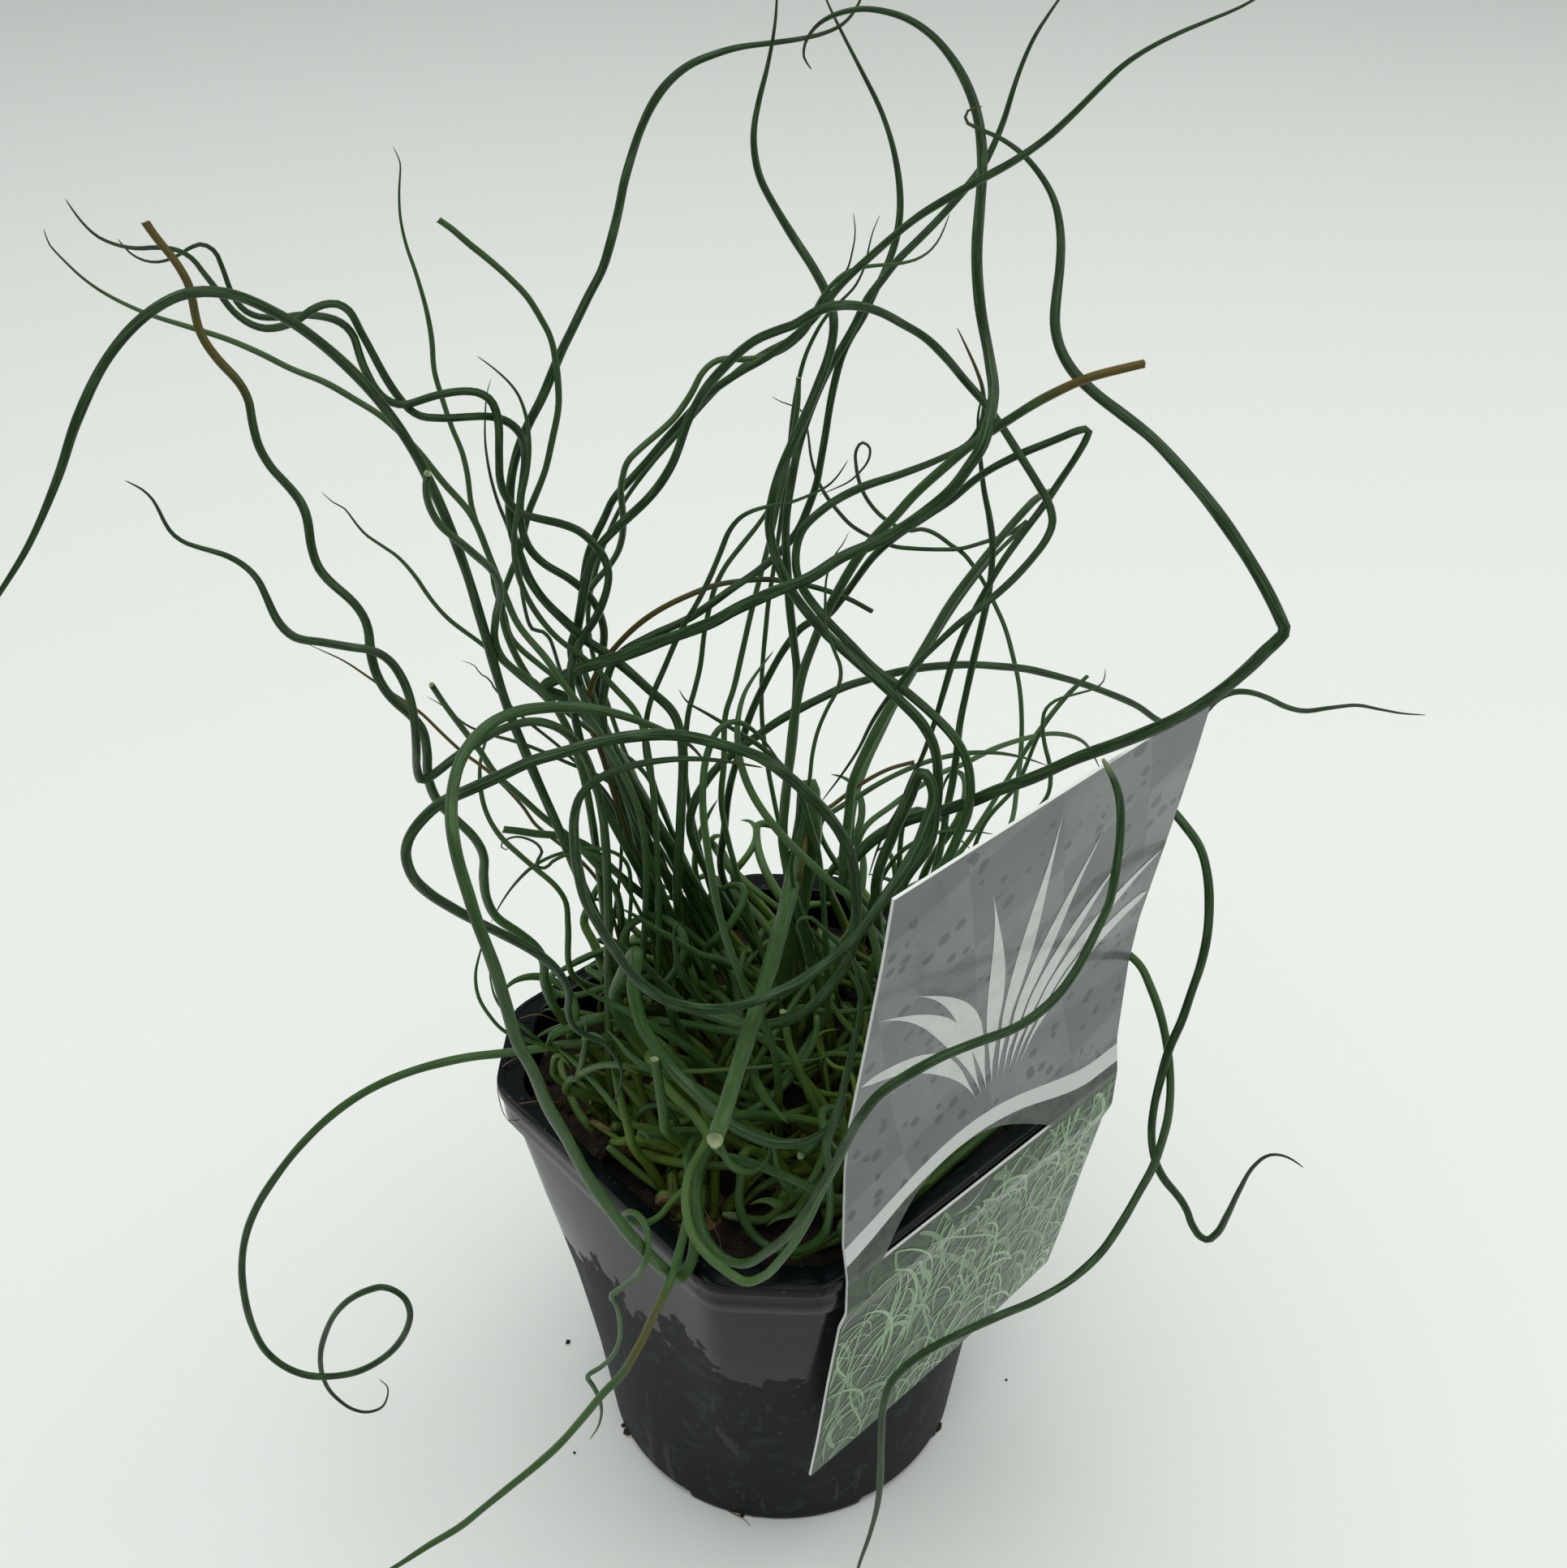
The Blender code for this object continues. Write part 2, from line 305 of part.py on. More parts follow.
        [745,1060, 710,1050, 680,1062, 668,1072, 660,1064, 668,1052, 662,1040, 640,1031, 625,1034,
         617,1041, 619,1048, 627,1046, 628,1038]),
    "tube_left": (4, 1.9, "cut", (-5, 0), [760,1075, 720,1040, 690,1030, 658,1027, 640,1024, 621,1022]),
    "hang_left": (1, 1.1, "fine", (15, 25, 20),
        [700,1300, 660,1285, 624,1272, 603,1251, 590,1229, 586,1201, 592,1172, 598,1150]),
    "cut_thin": (2, 1.5, "cut", (-5, 0, 0),
        [760,1100, 730,1060, 700,1030, 671,1008, 640,980, 611,954, 592,926, 572,900, 550,871, 532,844]),
    "tip_c": (4, 1.1, "fine", (-10, -10),
        [790,1000, 745,960, 700,940, 659,922, 633,913, 607,906, 576,894, 548,871, 529,860]),
    "brown_thread": (2, 1.0, "fine", (-10, -15, -20),
        [745,1100, 715,1060, 690,1040, 659,1015, 646,996, 617,964, 595,945, 569,926, 544,903, 518,878,
         480,852, 455,835, 425,815, 400,803, 380,794]),
    "low_rise": (7, 2.4, "cut", (26, 30, 24),
        [1025,1424, 1015,1389, 998,1351, 982,1312, 972,1285, 965,1247]),
    "low_level": (5, 1.5, "fine", (14, 24, 26, 22),
        [767,1312, 802,1318, 848,1320, 894,1318, 940,1315, 978,1310, 1009,1304, 1027,1298]),
    "curl_right": (7, 1.5, "fine", (25, 20, 18),
        [1048,1322, 1028,1314, 1013,1299, 1007,1282, 1011,1272, 1021,1269, 1032,1268]),
    "near_hook": (7, 1.3, "fine", (25, 28, 30),
        [1050,1180, 1035,1165, 1021,1151, 1009,1139, 996,1130, 986,1132, 982,1143, 988,1162, 994,1189]),
    "creeper_end": (10, 2.9, "blunt", (44, 43), [944,1503, 917,1501, 893,1496]),
    "creeper": (9, 2.9, "cut", (40, 36, 31, 27),
        [867,1488, 828,1472, 805,1460, 782,1442, 759,1422, 750,1413]),
    "creeper_left": (1, 2.6, "blunt", (20, 19, 12, 2, -4),
        [752,1404, 736,1398, 722,1383, 711,1366, 698,1335, 692,1308, 709,1305, 728,1297]),
    "branch_a": (1, 2.0, "cut", (5, 10, 15), [773,1335, 755,1340, 732,1354, 727,1357]),
    "branch_b": (1, 1.8, "fine", (10, 16), [755,1353, 735,1367, 715,1375]),
    "sheathed": (1, 2.4, "cut", (22, 16, 6), [852,1378, 836,1366, 813,1355, 794,1347, 771,1335]),
    "big_diagonal": (10, 2.4, "fine", (26, 24, 22, 24, 26),
        [1019,1427, 1005,1401, 986,1385, 955,1366, 925,1351, 909,1345, 871,1308, 821,1274, 767,1243,
         725,1222, 713,1212]),
    "high_diagonal": (11, 2.3, "fine", (-8, 5, 15),
        [932,1205, 909,1193, 886,1183, 859,1174, 832,1158, 805,1143, 782,1128, 767,1120]),
    "dark_diagonal": (5, 2.4, "fine", (14, 12, 16),
        [886,1289, 875,1274, 855,1251, 825,1220, 794,1189, 767,1166, 740,1148]),
    "pale_hook": (2, 2.2, "blunt", (-4, -4, -6),
        [790,1205, 775,1210, 740,1218, 713,1226, 694,1226, 682,1222, 675,1212, 677,1203, 682,1197]),
    "low_spiral": (1, 1.8, "fine", (24, 30, 32, 34),
        [780,1412, 782,1389, 790,1370, 809,1362, 828,1374, 838,1393, 842,1416, 832,1435, 817,1451,
         805,1457]),
    "low_spiral_b": (1, 1.5, "fine", (26, 30, 32), [778,1412, 794,1410, 809,1416, 825,1428, 832,1439]),
    "right_level": (11, 2.0, "cut", (3, 3, 0), [986,1241, 1009,1245, 1044,1247, 1073,1242]),
    "right_diagonal": (7, 1.8, "fine", (24, 20, 16), [1048,1351, 1025,1349, 1002,1343, 978,1333, 967,1328]),
    "thin_upright": (10, 1.2, "fine", (18, 20, 22), [1017,1370, 1015,1335, 1013,1312, 1019,1297]),
    "bright_arc": (5, 2.4, "fine", (14, 22, 28), [882,1374, 880,1351, 886,1320, 898,1289, 909,1266]),
    "dark_curve": (5, 2.2, "fine", (8, 18, 24, 26),
        [917,1262, 902,1258, 882,1247, 863,1232, 848,1212, 836,1189, 832,1166, 832,1143, 840,1137]),
    "label_wave": (8, 1.3, "fine", (0, -4, -8),
        [1240,1060, 1278,997, 1285,990, 1293,974, 1294,945, 1288,920, 1285,898, 1288,875, 1301,863,
         1326,855, 1352,847, 1361,837, 1362,826]),
    "label_straight": (8, 1.3, "cut", (-6, -12, -20), [1210,1020, 1253,967, 1283,900, 1313,860, 1340,833]),
    "wisp_left": (2, 1.0, "fine", (-5, -10, -14),
        [760,1000, 700,930, 640,880, 607,845, 600,833, 588,828, 583,818, 572,815]),
    "hang_left_b": (1, 1.1, "fine", (14, 22, 20), [690,1300, 650,1270, 614,1236, 605,1211, 603,1194]),
    "small_arc_a": (6, 1.4, "fine", (0, -4, -4), [1110,1050, 1151,1027, 1173,1024, 1199,1024, 1224,1028]),
    "small_arc_b": (6, 1.5, "fine", (-2, -8, -8), [1120,1000, 1151,1003, 1173,1025, 1196,1046]),
}


# The label's distance from the pot's axis at a few heights: close to the wall, clear of the lip,
# and leaning over it above
LABEL_HEIGHTS = [0.050, 0.067, 0.090, 0.113, 0.1190, 0.1315, 0.142, 0.167, 0.182, 0.206, 0.231, 0.249]
LABEL_REACH = [0.0540, 0.0556, 0.0572, 0.0592, 0.0608, 0.0608, 0.0592, 0.0590, 0.0600, 0.0635, 0.0670, 0.0690]
FILLERS_PER_TUFT = 1
FILLER_THICK = 0.0024
FILLER_HEIGHT = (0.016, 0.058)
FILLER_LEAN = (0.008, 0.024)
FILLER_CURL = (0.003, 0.009)
CROWN_SPREAD = 0.0064       # how far from a rhizome's middle its outermost stems leave it
STEP = 0.0025               # between the points of a route

# How the stems are parted
CLEARANCE = 0.0020          # between stems of different tufts, on top of their radii
TOUCH = 0.0002              # the same within a tuft, whose stems may touch
ROOTED = 0.009              # length at the root that never moves aside
RELEASE = 0.015             # length over which a stem then becomes free to move
SIDE_RUN = 16               # points of a stem that keep to one side of a stem of their own tuft
BEND_LENGTH = 0.010         # a push is shared along the stem over about this length
GAIN = 2.2                  # how much of a shared push is taken in each round
SMOOTHING = 0.04            # how much a stem's moves are evened out in each round
ROUNDS = 120
ROOM = 0.0012               # between a stem and the pot or the label
SOIL_ROOM = 0.0007
LONGEST_PUSH = 0.004


def to_row(points):
    """Turn points from the sight frame into the pot's frame."""
    c, s = math.cos(VIEW_TURN), math.sin(VIEW_TURN)
    return points @ np.array([[c, s, 0], [-s, c, 0], [0, 0, 1]])


def sight_points(line, toward):
    """Lift a line of the drawing into space, at its distances towards the viewer."""
    line = np.array(line, float).reshape(-1, 2)
    ahead = np.array([0, math.cos(SIGHT_PITCH), -math.sin(SIGHT_PITCH)])
    upward = np.array([0, math.sin(SIGHT_PITCH), math.cos(SIGHT_PITCH)])
    rays = ahead * FOCUS + np.outer(line[:, 0] - SIGHT_CENTRE[0], [1.0, 0, 0])
    rays -= np.outer(line[:, 1] - SIGHT_CENTRE[1], upward)
    steps = np.linalg.norm(np.diff(line, axis=0), axis=1)
    along = np.concatenate([[0], np.cumsum(steps)]) / steps.sum()
    depth = np.interp(along, np.linspace(0, 1, len(toward)), np.array(toward) / 1000)
    reach = (-depth - EYE[1]) / rays[:, 1]
    return EYE + rays * reach[:, None]


def smooth_route(points, step=STEP):
    """Even points along a centripetal Catmull-Rom curve through the given ones."""
    ends = [2 * points[0] - points[1]], [2 * points[-1] - points[-2]]
    p = np.concatenate([ends[0], points, ends[1]])
    knots = np.sqrt(np.maximum(np.linalg.norm(np.diff(p, axis=0), axis=1), 1e-6))
    a, b, c = knots[:-2, None, None], knots[1:-1, None, None], knots[2:, None, None]
    p0, p1, p2, p3 = (p[k:len(p) - 3 + k, None, :] for k in range(4))
    slope1 = ((p1 - p0) / a - (p2 - p0) / (a + b) + (p2 - p1) / b) * b
    slope2 = ((p2 - p1) / b - (p3 - p1) / (b + c) + (p3 - p2) / c) * b
    u = np.linspace(0, 1, 12, endpoint=False)[None, :, None]
    curve = ((2 * p1 - 2 * p2 + slope1 + slope2) * u ** 3
             + (3 * p2 - 3 * p1 - 2 * slope1 - slope2) * u ** 2 + slope1 * u + p1)
    curve = np.concatenate([curve.reshape(-1, 3), points[-1:]])
    along = np.concatenate([[0], np.cumsum(np.linalg.norm(np.diff(curve, axis=0), axis=1))])
    stops = np.linspace(0, along[-1], max(4, round(along[-1] / step) + 1))
    return np.stack([np.interp(stops, along, curve[:, k]) for k in range(3)], axis=1)


def root_points(tuft, place, count):
    """Where stem number `place` of a tuft leaves the rhizome, and the point it first rises to."""
    right, toward = TUFTS[tuft]
    turn = place * 2.39996 + tuft
    spread = CROWN_SPREAD * math.sqrt((place + 0.5) / count)
    side = np.array([math.cos(turn), math.sin(turn), 0])
    root = np.array([right, -toward, SOIL_TOP + 0.0005]) + spread * side
    return root, root + 0.8 * spread * side + [0, 0, 0.009]


def filler_route(tuft, number, root, rise):
    """A short curled stem of the crown: a leaning arch with a screw on it, from a seed."""
    draw = np.random.default_rng(1000 * tuft + number)
    right, toward = TUFTS[tuft]
    outward = math.atan2(-toward, right) + draw.uniform(-1.3, 1.3)
    height = draw.uniform(*FILLER_HEIGHT)
    lean = draw.uniform(*FILLER_LEAN)
    curl = draw.uniform(*FILLER_CURL)
    turns = draw.uniform(0.7, 2.0)
    start = draw.uniform(0, 2 * math.pi)
    s = np.linspace(0.12, 1, 16)
    angle = start + turns * 2 * math.pi * s
    swing = curl * np.minimum(1, s * 2)
    path = np.stack([lean * s ** 1.4 * math.cos(outward) + swing * (np.cos(angle) - math.cos(start)),
                     lean * s ** 1.4 * math.sin(outward) + swing * (np.sin(angle) - math.sin(start)),
                     height * np.sin(s * draw.uniform(1.3, 2.4))], axis=1)
    return np.concatenate([[root, rise], rise + path])


def all_routes():
    """Every stem in the pot's frame, as (name, tuft, thickness, tip, points)."""
    routes = []
    for tuft in TUFTS:
        drawn = [(name, stem) for name, stem in STEMS.items() if stem[0] == tuft]
        count = len(drawn) + FILLERS_PER_TUFT
        for place, (name, (_, thick, tip, toward, line)) in enumerate(drawn):
            root, rise = root_points(tuft, place, count)
            points = np.concatenate([[root, rise], sight_points(line, toward)])
            routes.append((name, tuft, thick / 1000, tip, to_row(smooth_route(points))))
        for number in range(FILLERS_PER_TUFT):
            root, rise = root_points(tuft, len(drawn) + number, count)
            points = filler_route(tuft, number, root, rise)
            name = f"curl_{tuft}_{number}"
            routes.append((name, tuft, FILLER_THICK, "fine", to_row(smooth_route(points))))
    return routes


def stem_radii(points, thick, tip):
    """A stem thins slowly from root to tip; a fine tip runs out to a point."""
    s = np.linspace(0, 1, len(points))
    radii = 0.5 * thick * (1.08 - 0.38 * s)
    if tip == "fine":
        radii *= 0.16 + 0.84 * np.clip((1 - s) / 0.16, 0, 1) ** 0.7
    if tip == "blunt":
        radii *= 0.55 + 0.45 * np.clip((1 - s) / 0.03, 0, 1) ** 0.5
    return radii


def square_distance(points, cut):
    """Distance from the pot's axis, measured square to the nearest side or corner flat."""
    x, y = np.abs(points[:, 0]), np.abs(points[:, 1])
    corner = (x + y + cut) / 2
    return np.maximum(np.maximum(x, y), corner)


def label_face(height):
    """The label's distance from the pot's axis at a height: behind the lip above, outside it below."""
    return np.interp(height, LABEL_HEIGHTS, LABEL_REACH)


def beside_label(points, radii):
    """Which points are before or behind the label's sheet, with a small margin round it."""
    margin = radii + 0.0015
    across = (points[:, 0] > LABEL_LEFT - margin) & (points[:, 0] < LABEL_RIGHT + margin)
    return across & (points[:, 2] > LABEL_HEIGHTS[0] - margin) & (points[:, 2] < LABEL_HEIGHTS[-1] + margin)


def obstacle_push(points, radii, rooted, label_side):
    """The way out of the soil, the floor, the pot's wall and the label, for each point."""
    push = np.zeros_like(points)
    reach = square_distance(points, CORNER_CUT)
    height = points[:, 2]
    over_soil = (reach < RIM_HALF - 0.004) & ~rooted
    push[:, 2] += np.where(over_soil, np.maximum(SOIL_TOP + radii + SOIL_ROOM - height, 0), 0)
    push[:, 2] += np.maximum(radii + 0.001 - height, 0)
    sideways = points[:, :2] / np.maximum(np.hypot(points[:, 0], points[:, 1]), 1e-6)[:, None]
    wall = np.interp(height, [0, POT_HEIGHT - 0.012, POT_HEIGHT], [FOOT_RADIUS, RIM_HALF - 0.001, RIM_HALF])
    outward = wall + radii + ROOM - reach
    inward = reach - (wall - LIP_WIDTH - radii - ROOM)
    upward = POT_HEIGHT + radii + ROOM - height
    inside = (outward > 0) & (inward > 0) & (upward > 0) & ~rooted
    least = np.minimum(np.minimum(outward, inward), upward)
    push[:, 2] += np.where(inside & (least == upward), upward, 0)
    shove = np.where(inside & (least == outward), outward, 0)
    shove -= np.where(inside & (least == inward), inward, 0)
    push[:, :2] += sideways * shove[:, None]
    beside = beside_label(points, radii)
    ahead = -points[:, 1] - label_face(height)
    need = radii + LABEL_THICK / 2 + ROOM
    short = np.where(beside & (label_side != 0), need - ahead * label_side, 0)
    push[:, 1] -= np.clip(short, 0, LONGEST_PUSH) * label_side
    return push


def part_stems(routes):
    """Move the routes aside, along the line of sight, until stems have room between them."""
    points = np.concatenate([route[4] for route in routes])
    radii = np.concatenate([stem_radii(route[4], route[2], route[3]) for route in routes])
    stem = np.concatenate([np.full(len(route[4]), k) for k, route in enumerate(routes)])
    order = np.concatenate([np.arange(len(route[4])) for route in routes])
    tuft = np.array([route[1] for route in routes])[stem]
    eye = to_row(EYE[None])[0]
    sight = points - eye
    sight /= np.linalg.norm(sight, axis=1)[:, None]
    along = order * STEP
    free = np.clip((along - ROOTED) / RELEASE, 0, 1)
    rooted = along < ROOTED
    beside = beside_label(points, radii)
    lead = np.where(beside, -points[:, 1] - label_face(points[:, 2]), 0)
    stretch = np.cumsum(np.diff(stem * 2 + beside, prepend=0) != 0)
    label_side = np.sign(np.bincount(stretch, lead))[stretch]
    spread = []
    for k in range(len(routes)):
        gap = np.subtract.outer(order[stem == k], order[stem == k]) * STEP
        kernel = np.exp(-(gap / BEND_LENGTH) ** 2)
        spread.append(kernel / kernel.sum(axis=1, keepdims=True))
    starts = np.searchsorted(stem, np.arange(len(routes) + 1))
    moved = np.zeros_like(points)
    for turn in range(ROUNDS):
        here = points + moved
        if turn % 10 == 0:
            near = close_pairs(here, stem, tuft, along, 0.009)
        push, hits = pair_push(here, radii, stem, tuft, order, sight, free, near)
        push /= np.maximum(hits, 1)[:, None]
        push += obstacle_push(here, radii, rooted, label_side)
        for k in range(len(routes)):
            rows = slice(starts[k], starts[k + 1])
            moved[rows] += GAIN * (spread[k] @ push[rows]) * free[rows, None]
            moved[rows] += SMOOTHING * (spread[k] @ moved[rows] - moved[rows]) * free[rows, None]
    return [(*route[:4], (points + moved)[starts[k]:starts[k + 1]]) for k, route in enumerate(routes)]


def close_pairs(points, stem, tuft, along, reach):
    """Index pairs of points of different stems that are within reach of each other."""
    firsts, seconds = [], []
    square = (points ** 2).sum(axis=1)
    for start in range(0, len(points), 1000):
        rows = slice(start, start + 1000)
        distance = square[rows, None] + square[None, :] - 2 * points[rows] @ points.T
        i, j = np.nonzero(distance < reach ** 2)
        i += start
        same_crown = (tuft[i] == tuft[j]) & ((along[i] < 0.03) | (along[j] < 0.03))
        keep = (i < j) & (stem[i] != stem[j]) & ~same_crown
        firsts.append(i[keep])
        seconds.append(j[keep])
    return np.concatenate(firsts), np.concatenate(seconds)


def pair_push(points, radii, stem, tuft, order, sight, free, near):
    """Half the missing room of each close pair, along the sight line, for both of its points."""
    i, j = near
    line = sight[i] + sight[j]
    line /= np.linalg.norm(line, axis=1)[:, None]
    apart = points[j] - points[i]
    behind = (apart * line).sum(axis=1)
    across = (apart ** 2).sum(axis=1) - behind ** 2
    gap = np.where(tuft[i] == tuft[j], TOUCH, CLEARANCE)
    room = (radii[i] + radii[j] + gap) ** 2 - across
    stretch = np.where(tuft[i] == tuft[j], order[i] // SIDE_RUN, 0)
    _, group = np.unique(stem[i] * 1000000 + stem[j] * 100 + stretch, return_inverse=True)
    sums = np.bincount(group, behind * (room > 0))
    way = np.where(sums >= 0, 1.0, -1.0)[group]
    short = np.where(room > 0, np.sqrt(np.maximum(room, 0)) - behind * way, 0)
    short = np.clip(short, 0, 0.003)
    share = free[i] / np.maximum(free[i] + free[j], 1e-6)
    push = np.zeros_like(points)
    hits = np.zeros(len(points))
    np.add.at(push, i, -line * (way * short * share)[:, None])
    np.add.at(push, j, line * (way * short * (1 - share))[:, None])
    np.add.at(hits, i, short > 0)
    np.add.at(hits, j, short > 0)
    return push, hits


def thin_out(points, radii, tolerance):
    """Keep only the points that a route needs to stay within tolerance of its curve."""
    keep = {0, len(points) - 1}
    spans = [(0, len(points) - 1)]
    while spans:
        first, last = spans.pop()
        if last - first < 2:
            continue
        chord = points[last] - points[first]
        share = np.clip((points[first:last] - points[first]) @ chord / max(chord @ chord, 1e-12), 0, 1)
        off = np.linalg.norm(points[first:last] - points[first] - share[:, None] * chord, axis=1)
        worst = first + int(off.argmax())
        if off.max() > tolerance:
            keep.add(worst)
            spans += [(first, worst), (worst, last)]
    keep = sorted(keep)
    return points[keep], radii[keep]


def clear_scene():
    for item in list(bpy.data.objects):
        bpy.data.objects.remove(item, do_unlink=True)


def make_material(name, color, roughness, metallic=0.0):
    material = bpy.data.materials.new(name)
    material.use_nodes = True
    shader = material.node_tree.nodes["Principled BSDF"]
    shader.inputs["Base Color"].default_value = (*color, 1)
    shader.inputs["Roughness"].default_value = roughness
    shader.inputs["Metallic"].default_value = metallic
    return material


def new_object(name, mesh, collection, material=None):
    item = bpy.data.objects.new(name, mesh)
    collection.objects.link(item)
    if material:
        mesh.materials.append(material)
    return item


def mesh_of(build):
    """A mesh from a function that fills a bmesh."""
    shape = bmesh.new()
    build(shape)
    bmesh.ops.recalc_face_normals(shape, faces=shape.faces)
    mesh = bpy.data.meshes.new("shape")
    shape.to_mesh(mesh)
    shape.free()
    return mesh


def pot_ring(half, height, squareness, side_steps=3, corner_steps=2, corner_radius=0.010):
    """One level of the pot: a square with flat, rounded corners that eases into a circle."""
    flat_end = half - CORNER_CUT
    bend = corner_radius * math.tan(math.pi / 8)
    low, high = -(flat_end - bend), flat_end - bend
    ring = [(half, low + (high - low) * k / side_steps) for k in range(side_steps)]
    centre = (half - corner_radius, high)
    for k in range(corner_steps):
        turn = math.pi / 4 * k / corner_steps
        ring.append((centre[0] + corner_radius * math.cos(turn), centre[1] + corner_radius * math.sin(turn)))
    reach = corner_radius * math.sqrt(0.5)
    start = (centre[0] + reach, centre[1] + reach)
    for k in range(corner_steps):
        share = k / corner_steps
        ring.append((start[0] + (start[1] - start[0]) * share, start[1] + (start[0] - start[1]) * share))
    centre = (high, half - corner_radius)
    for k in range(corner_steps):
        turn = math.pi / 4 * (1 + k / corner_steps)
        ring.append((centre[0] + corner_radius * math.cos(turn), centre[1] + corner_radius * math.sin(turn)))
    points = []
    for quarter in range(4):
        c, s = round(math.cos(quarter * math.pi / 2)), round(math.sin(quarter * math.pi / 2))
        for x, y in ring:
            around = math.atan2(y, x)
            x, y = (squareness * x + (1 - squareness) * half * math.cos(around),
                    squareness * y + (1 - squareness) * half * math.sin(around))
            points.append((x * c - y * s, x * s + y * c, height))
    return points


def loft(shape, rings):
    """Join rings of equal count, with each diagonal leaning the same way on inner and outer faces."""
    rows = [[shape.verts.new(point) for point in ring] for ring in rings]
    count = len(rows[0])
    for lower, upper in zip(rows, rows[1:]):
        for k in range(count):
            after = (k + 1) % count
            first, second = (k, after) if upper[0].co.z >= lower[0].co.z else (after, k)
            shape.faces.new((lower[k], lower[after], upper[second]))
            shape.faces.new((upper[k], upper[after], lower[first]))
    shape.faces.new(list(reversed(rows[0])))
    shape.faces.new(rows[-1])


# Levels of the pot's outside, from foot to lip: height, half width, squareness
OUTSIDE = [(0.000, FOOT_RADIUS - 0.0006, 0.00), (0.0008, FOOT_RADIUS, 0.00), (0.030, 0.0517, 0.14),
           (0.060, 0.0534, 0.42), (0.090, 0.0553, 0.78), (0.1195, 0.0574, 1.00), (0.1200, 0.0591, 1.00),
           (0.1275, 0.0594, 1.00), (0.1280, RIM_HALF - 0.0001, 1.00), (POT_HEIGHT - 0.0005, RIM_HALF, 1.00),
           (POT_HEIGHT, RIM_HALF - 0.0005, 1.00)]


def inside_levels(gap):
    """The pot's inner face between the floor and the collar, set in by a gap."""
    levels = [(height, half - WALL - gap, square) for height, half, square in OUTSIDE[2:6]]
    return [(BASE_THICK + gap, FOOT_RADIUS + 0.0003 - WALL - gap, 0.0)] + levels


def cut(item, cutter):
    """Subtract a cutter, which stays as a guide."""
    cutter.hide_render = True
    cutter.display_type = "WIRE"
    modifier = item.modifiers.new("cut", "BOOLEAN")
    modifier.operation = "DIFFERENCE"
    modifier.object = cutter


def build_pot(parts, cutters):
    lip = [(POT_HEIGHT, RIM_HALF - LIP_WIDTH + 0.0004, 1.0),
           (POT_HEIGHT - 0.0006, RIM_HALF - LIP_WIDTH, 1.0), (0.1265, RIM_HALF - LIP_WIDTH + 0.0004, 1.0)]
    levels = OUTSIDE + lip + inside_levels(0)[::-1]
    rings = [pot_ring(half, height, square) for height, half, square in levels]
    mesh = mesh_of(lambda shape: loft(shape, rings))
    pot = new_object("pot", mesh, parts, make_material("black_plastic", (0.012, 0.013, 0.016), 0.35))
    for k in range(4):
        turn = k * math.pi / 2
        slot = mesh_of(lambda shape: bmesh.ops.create_cube(shape, size=1.0))
        notch = new_object(f"notch_{k}", slot, cutters)
        notch.scale = (NOTCH_DEPTH, NOTCH_WIDTH, 2 * NOTCH_HEIGHT)
        notch.location = (FOOT_RADIUS * math.cos(turn), FOOT_RADIUS * math.sin(turn), 0)
        notch.rotation_euler = (0, 0, turn)
        cut(pot, notch)
        drain = mesh_of(lambda shape: bmesh.ops.create_cone(
            shape, cap_ends=True, segments=10, radius1=DRAIN_RADIUS, radius2=DRAIN_RADIUS,
            depth=4 * BASE_THICK))
        hole = new_object(f"drain_{k}", drain, cutters)
        hole.location = (DRAIN_OUT * math.cos(turn), DRAIN_OUT * math.sin(turn), 0)
        cut(pot, hole)
    return pot


def build_soil(parts, cutters):
    levels = inside_levels(GAP)[:-1]
    levels.append((SOIL_TOP, 0.0574 - WALL - GAP - 0.0002, 1.0))
    rings = [pot_ring(half, height, square) for height, half, square in levels]
    mesh = mesh_of(lambda shape: loft(shape, rings))
    soil = new_object("soil", mesh, parts, make_material("dark_peat", (0.025, 0.014, 0.009), 0.95))
    for tuft, (right, toward) in TUFTS.items():
        place = to_row(np.array([[right, -toward, SOIL_TOP]]))[0]
        bore = mesh_of(lambda shape: bmesh.ops.create_cone(
            shape, cap_ends=True, segments=12, radius1=STUB_RADIUS + GAP * 2, radius2=STUB_RADIUS + GAP * 2,
            depth=2 * (STUB_DEPTH + GAP)))
        hole = new_object(f"root_hole_{tuft:02d}", bore, cutters)
        hole.location = place
        cut(soil, hole)
    return soil


def lens(shape, start, end, low_rise, high_rise, skew=1.0, depth=0.05, steps=14):
    """A prism along Y between two arcs that share their ends; a skew under 1 moves their tops to the left."""
    outline = []
    for rise, order in ((low_rise, range(steps)), (high_rise, range(steps, 0, -1))):
        for k in order:
            share = k / steps
            x = start[0] + (end[0] - start[0]) * share
            z = start[1] + (end[1] - start[1]) * share + rise * math.sin(math.pi * share ** skew)
            outline.append((x, z))
    near = [shape.verts.new((x, -RIM_HALF - depth / 2, z)) for x, z in outline]
    far = [shape.verts.new((x, -RIM_HALF + depth / 2, z)) for x, z in outline]
    count = len(outline)
    for k in range(count):
        after = (k + 1) % count
        shape.faces.new((near[k], near[after], far[after], far[k]))
    shape.faces.new(near)
    shape.faces.new(list(reversed(far)))


def label_point(share, height):
    """The middle of the label's sheet: its lower part hangs askew and its right edge bends back."""
    low = max(0.0, (LABEL_BEND - height) / (LABEL_BEND - LABEL_HEIGHTS[0]))
    x = LABEL_LEFT + (LABEL_RIGHT - LABEL_LEFT) * share - LABEL_SKEW * low
    return x, LABEL_CURL * low * share ** 2 - label_face(height), height


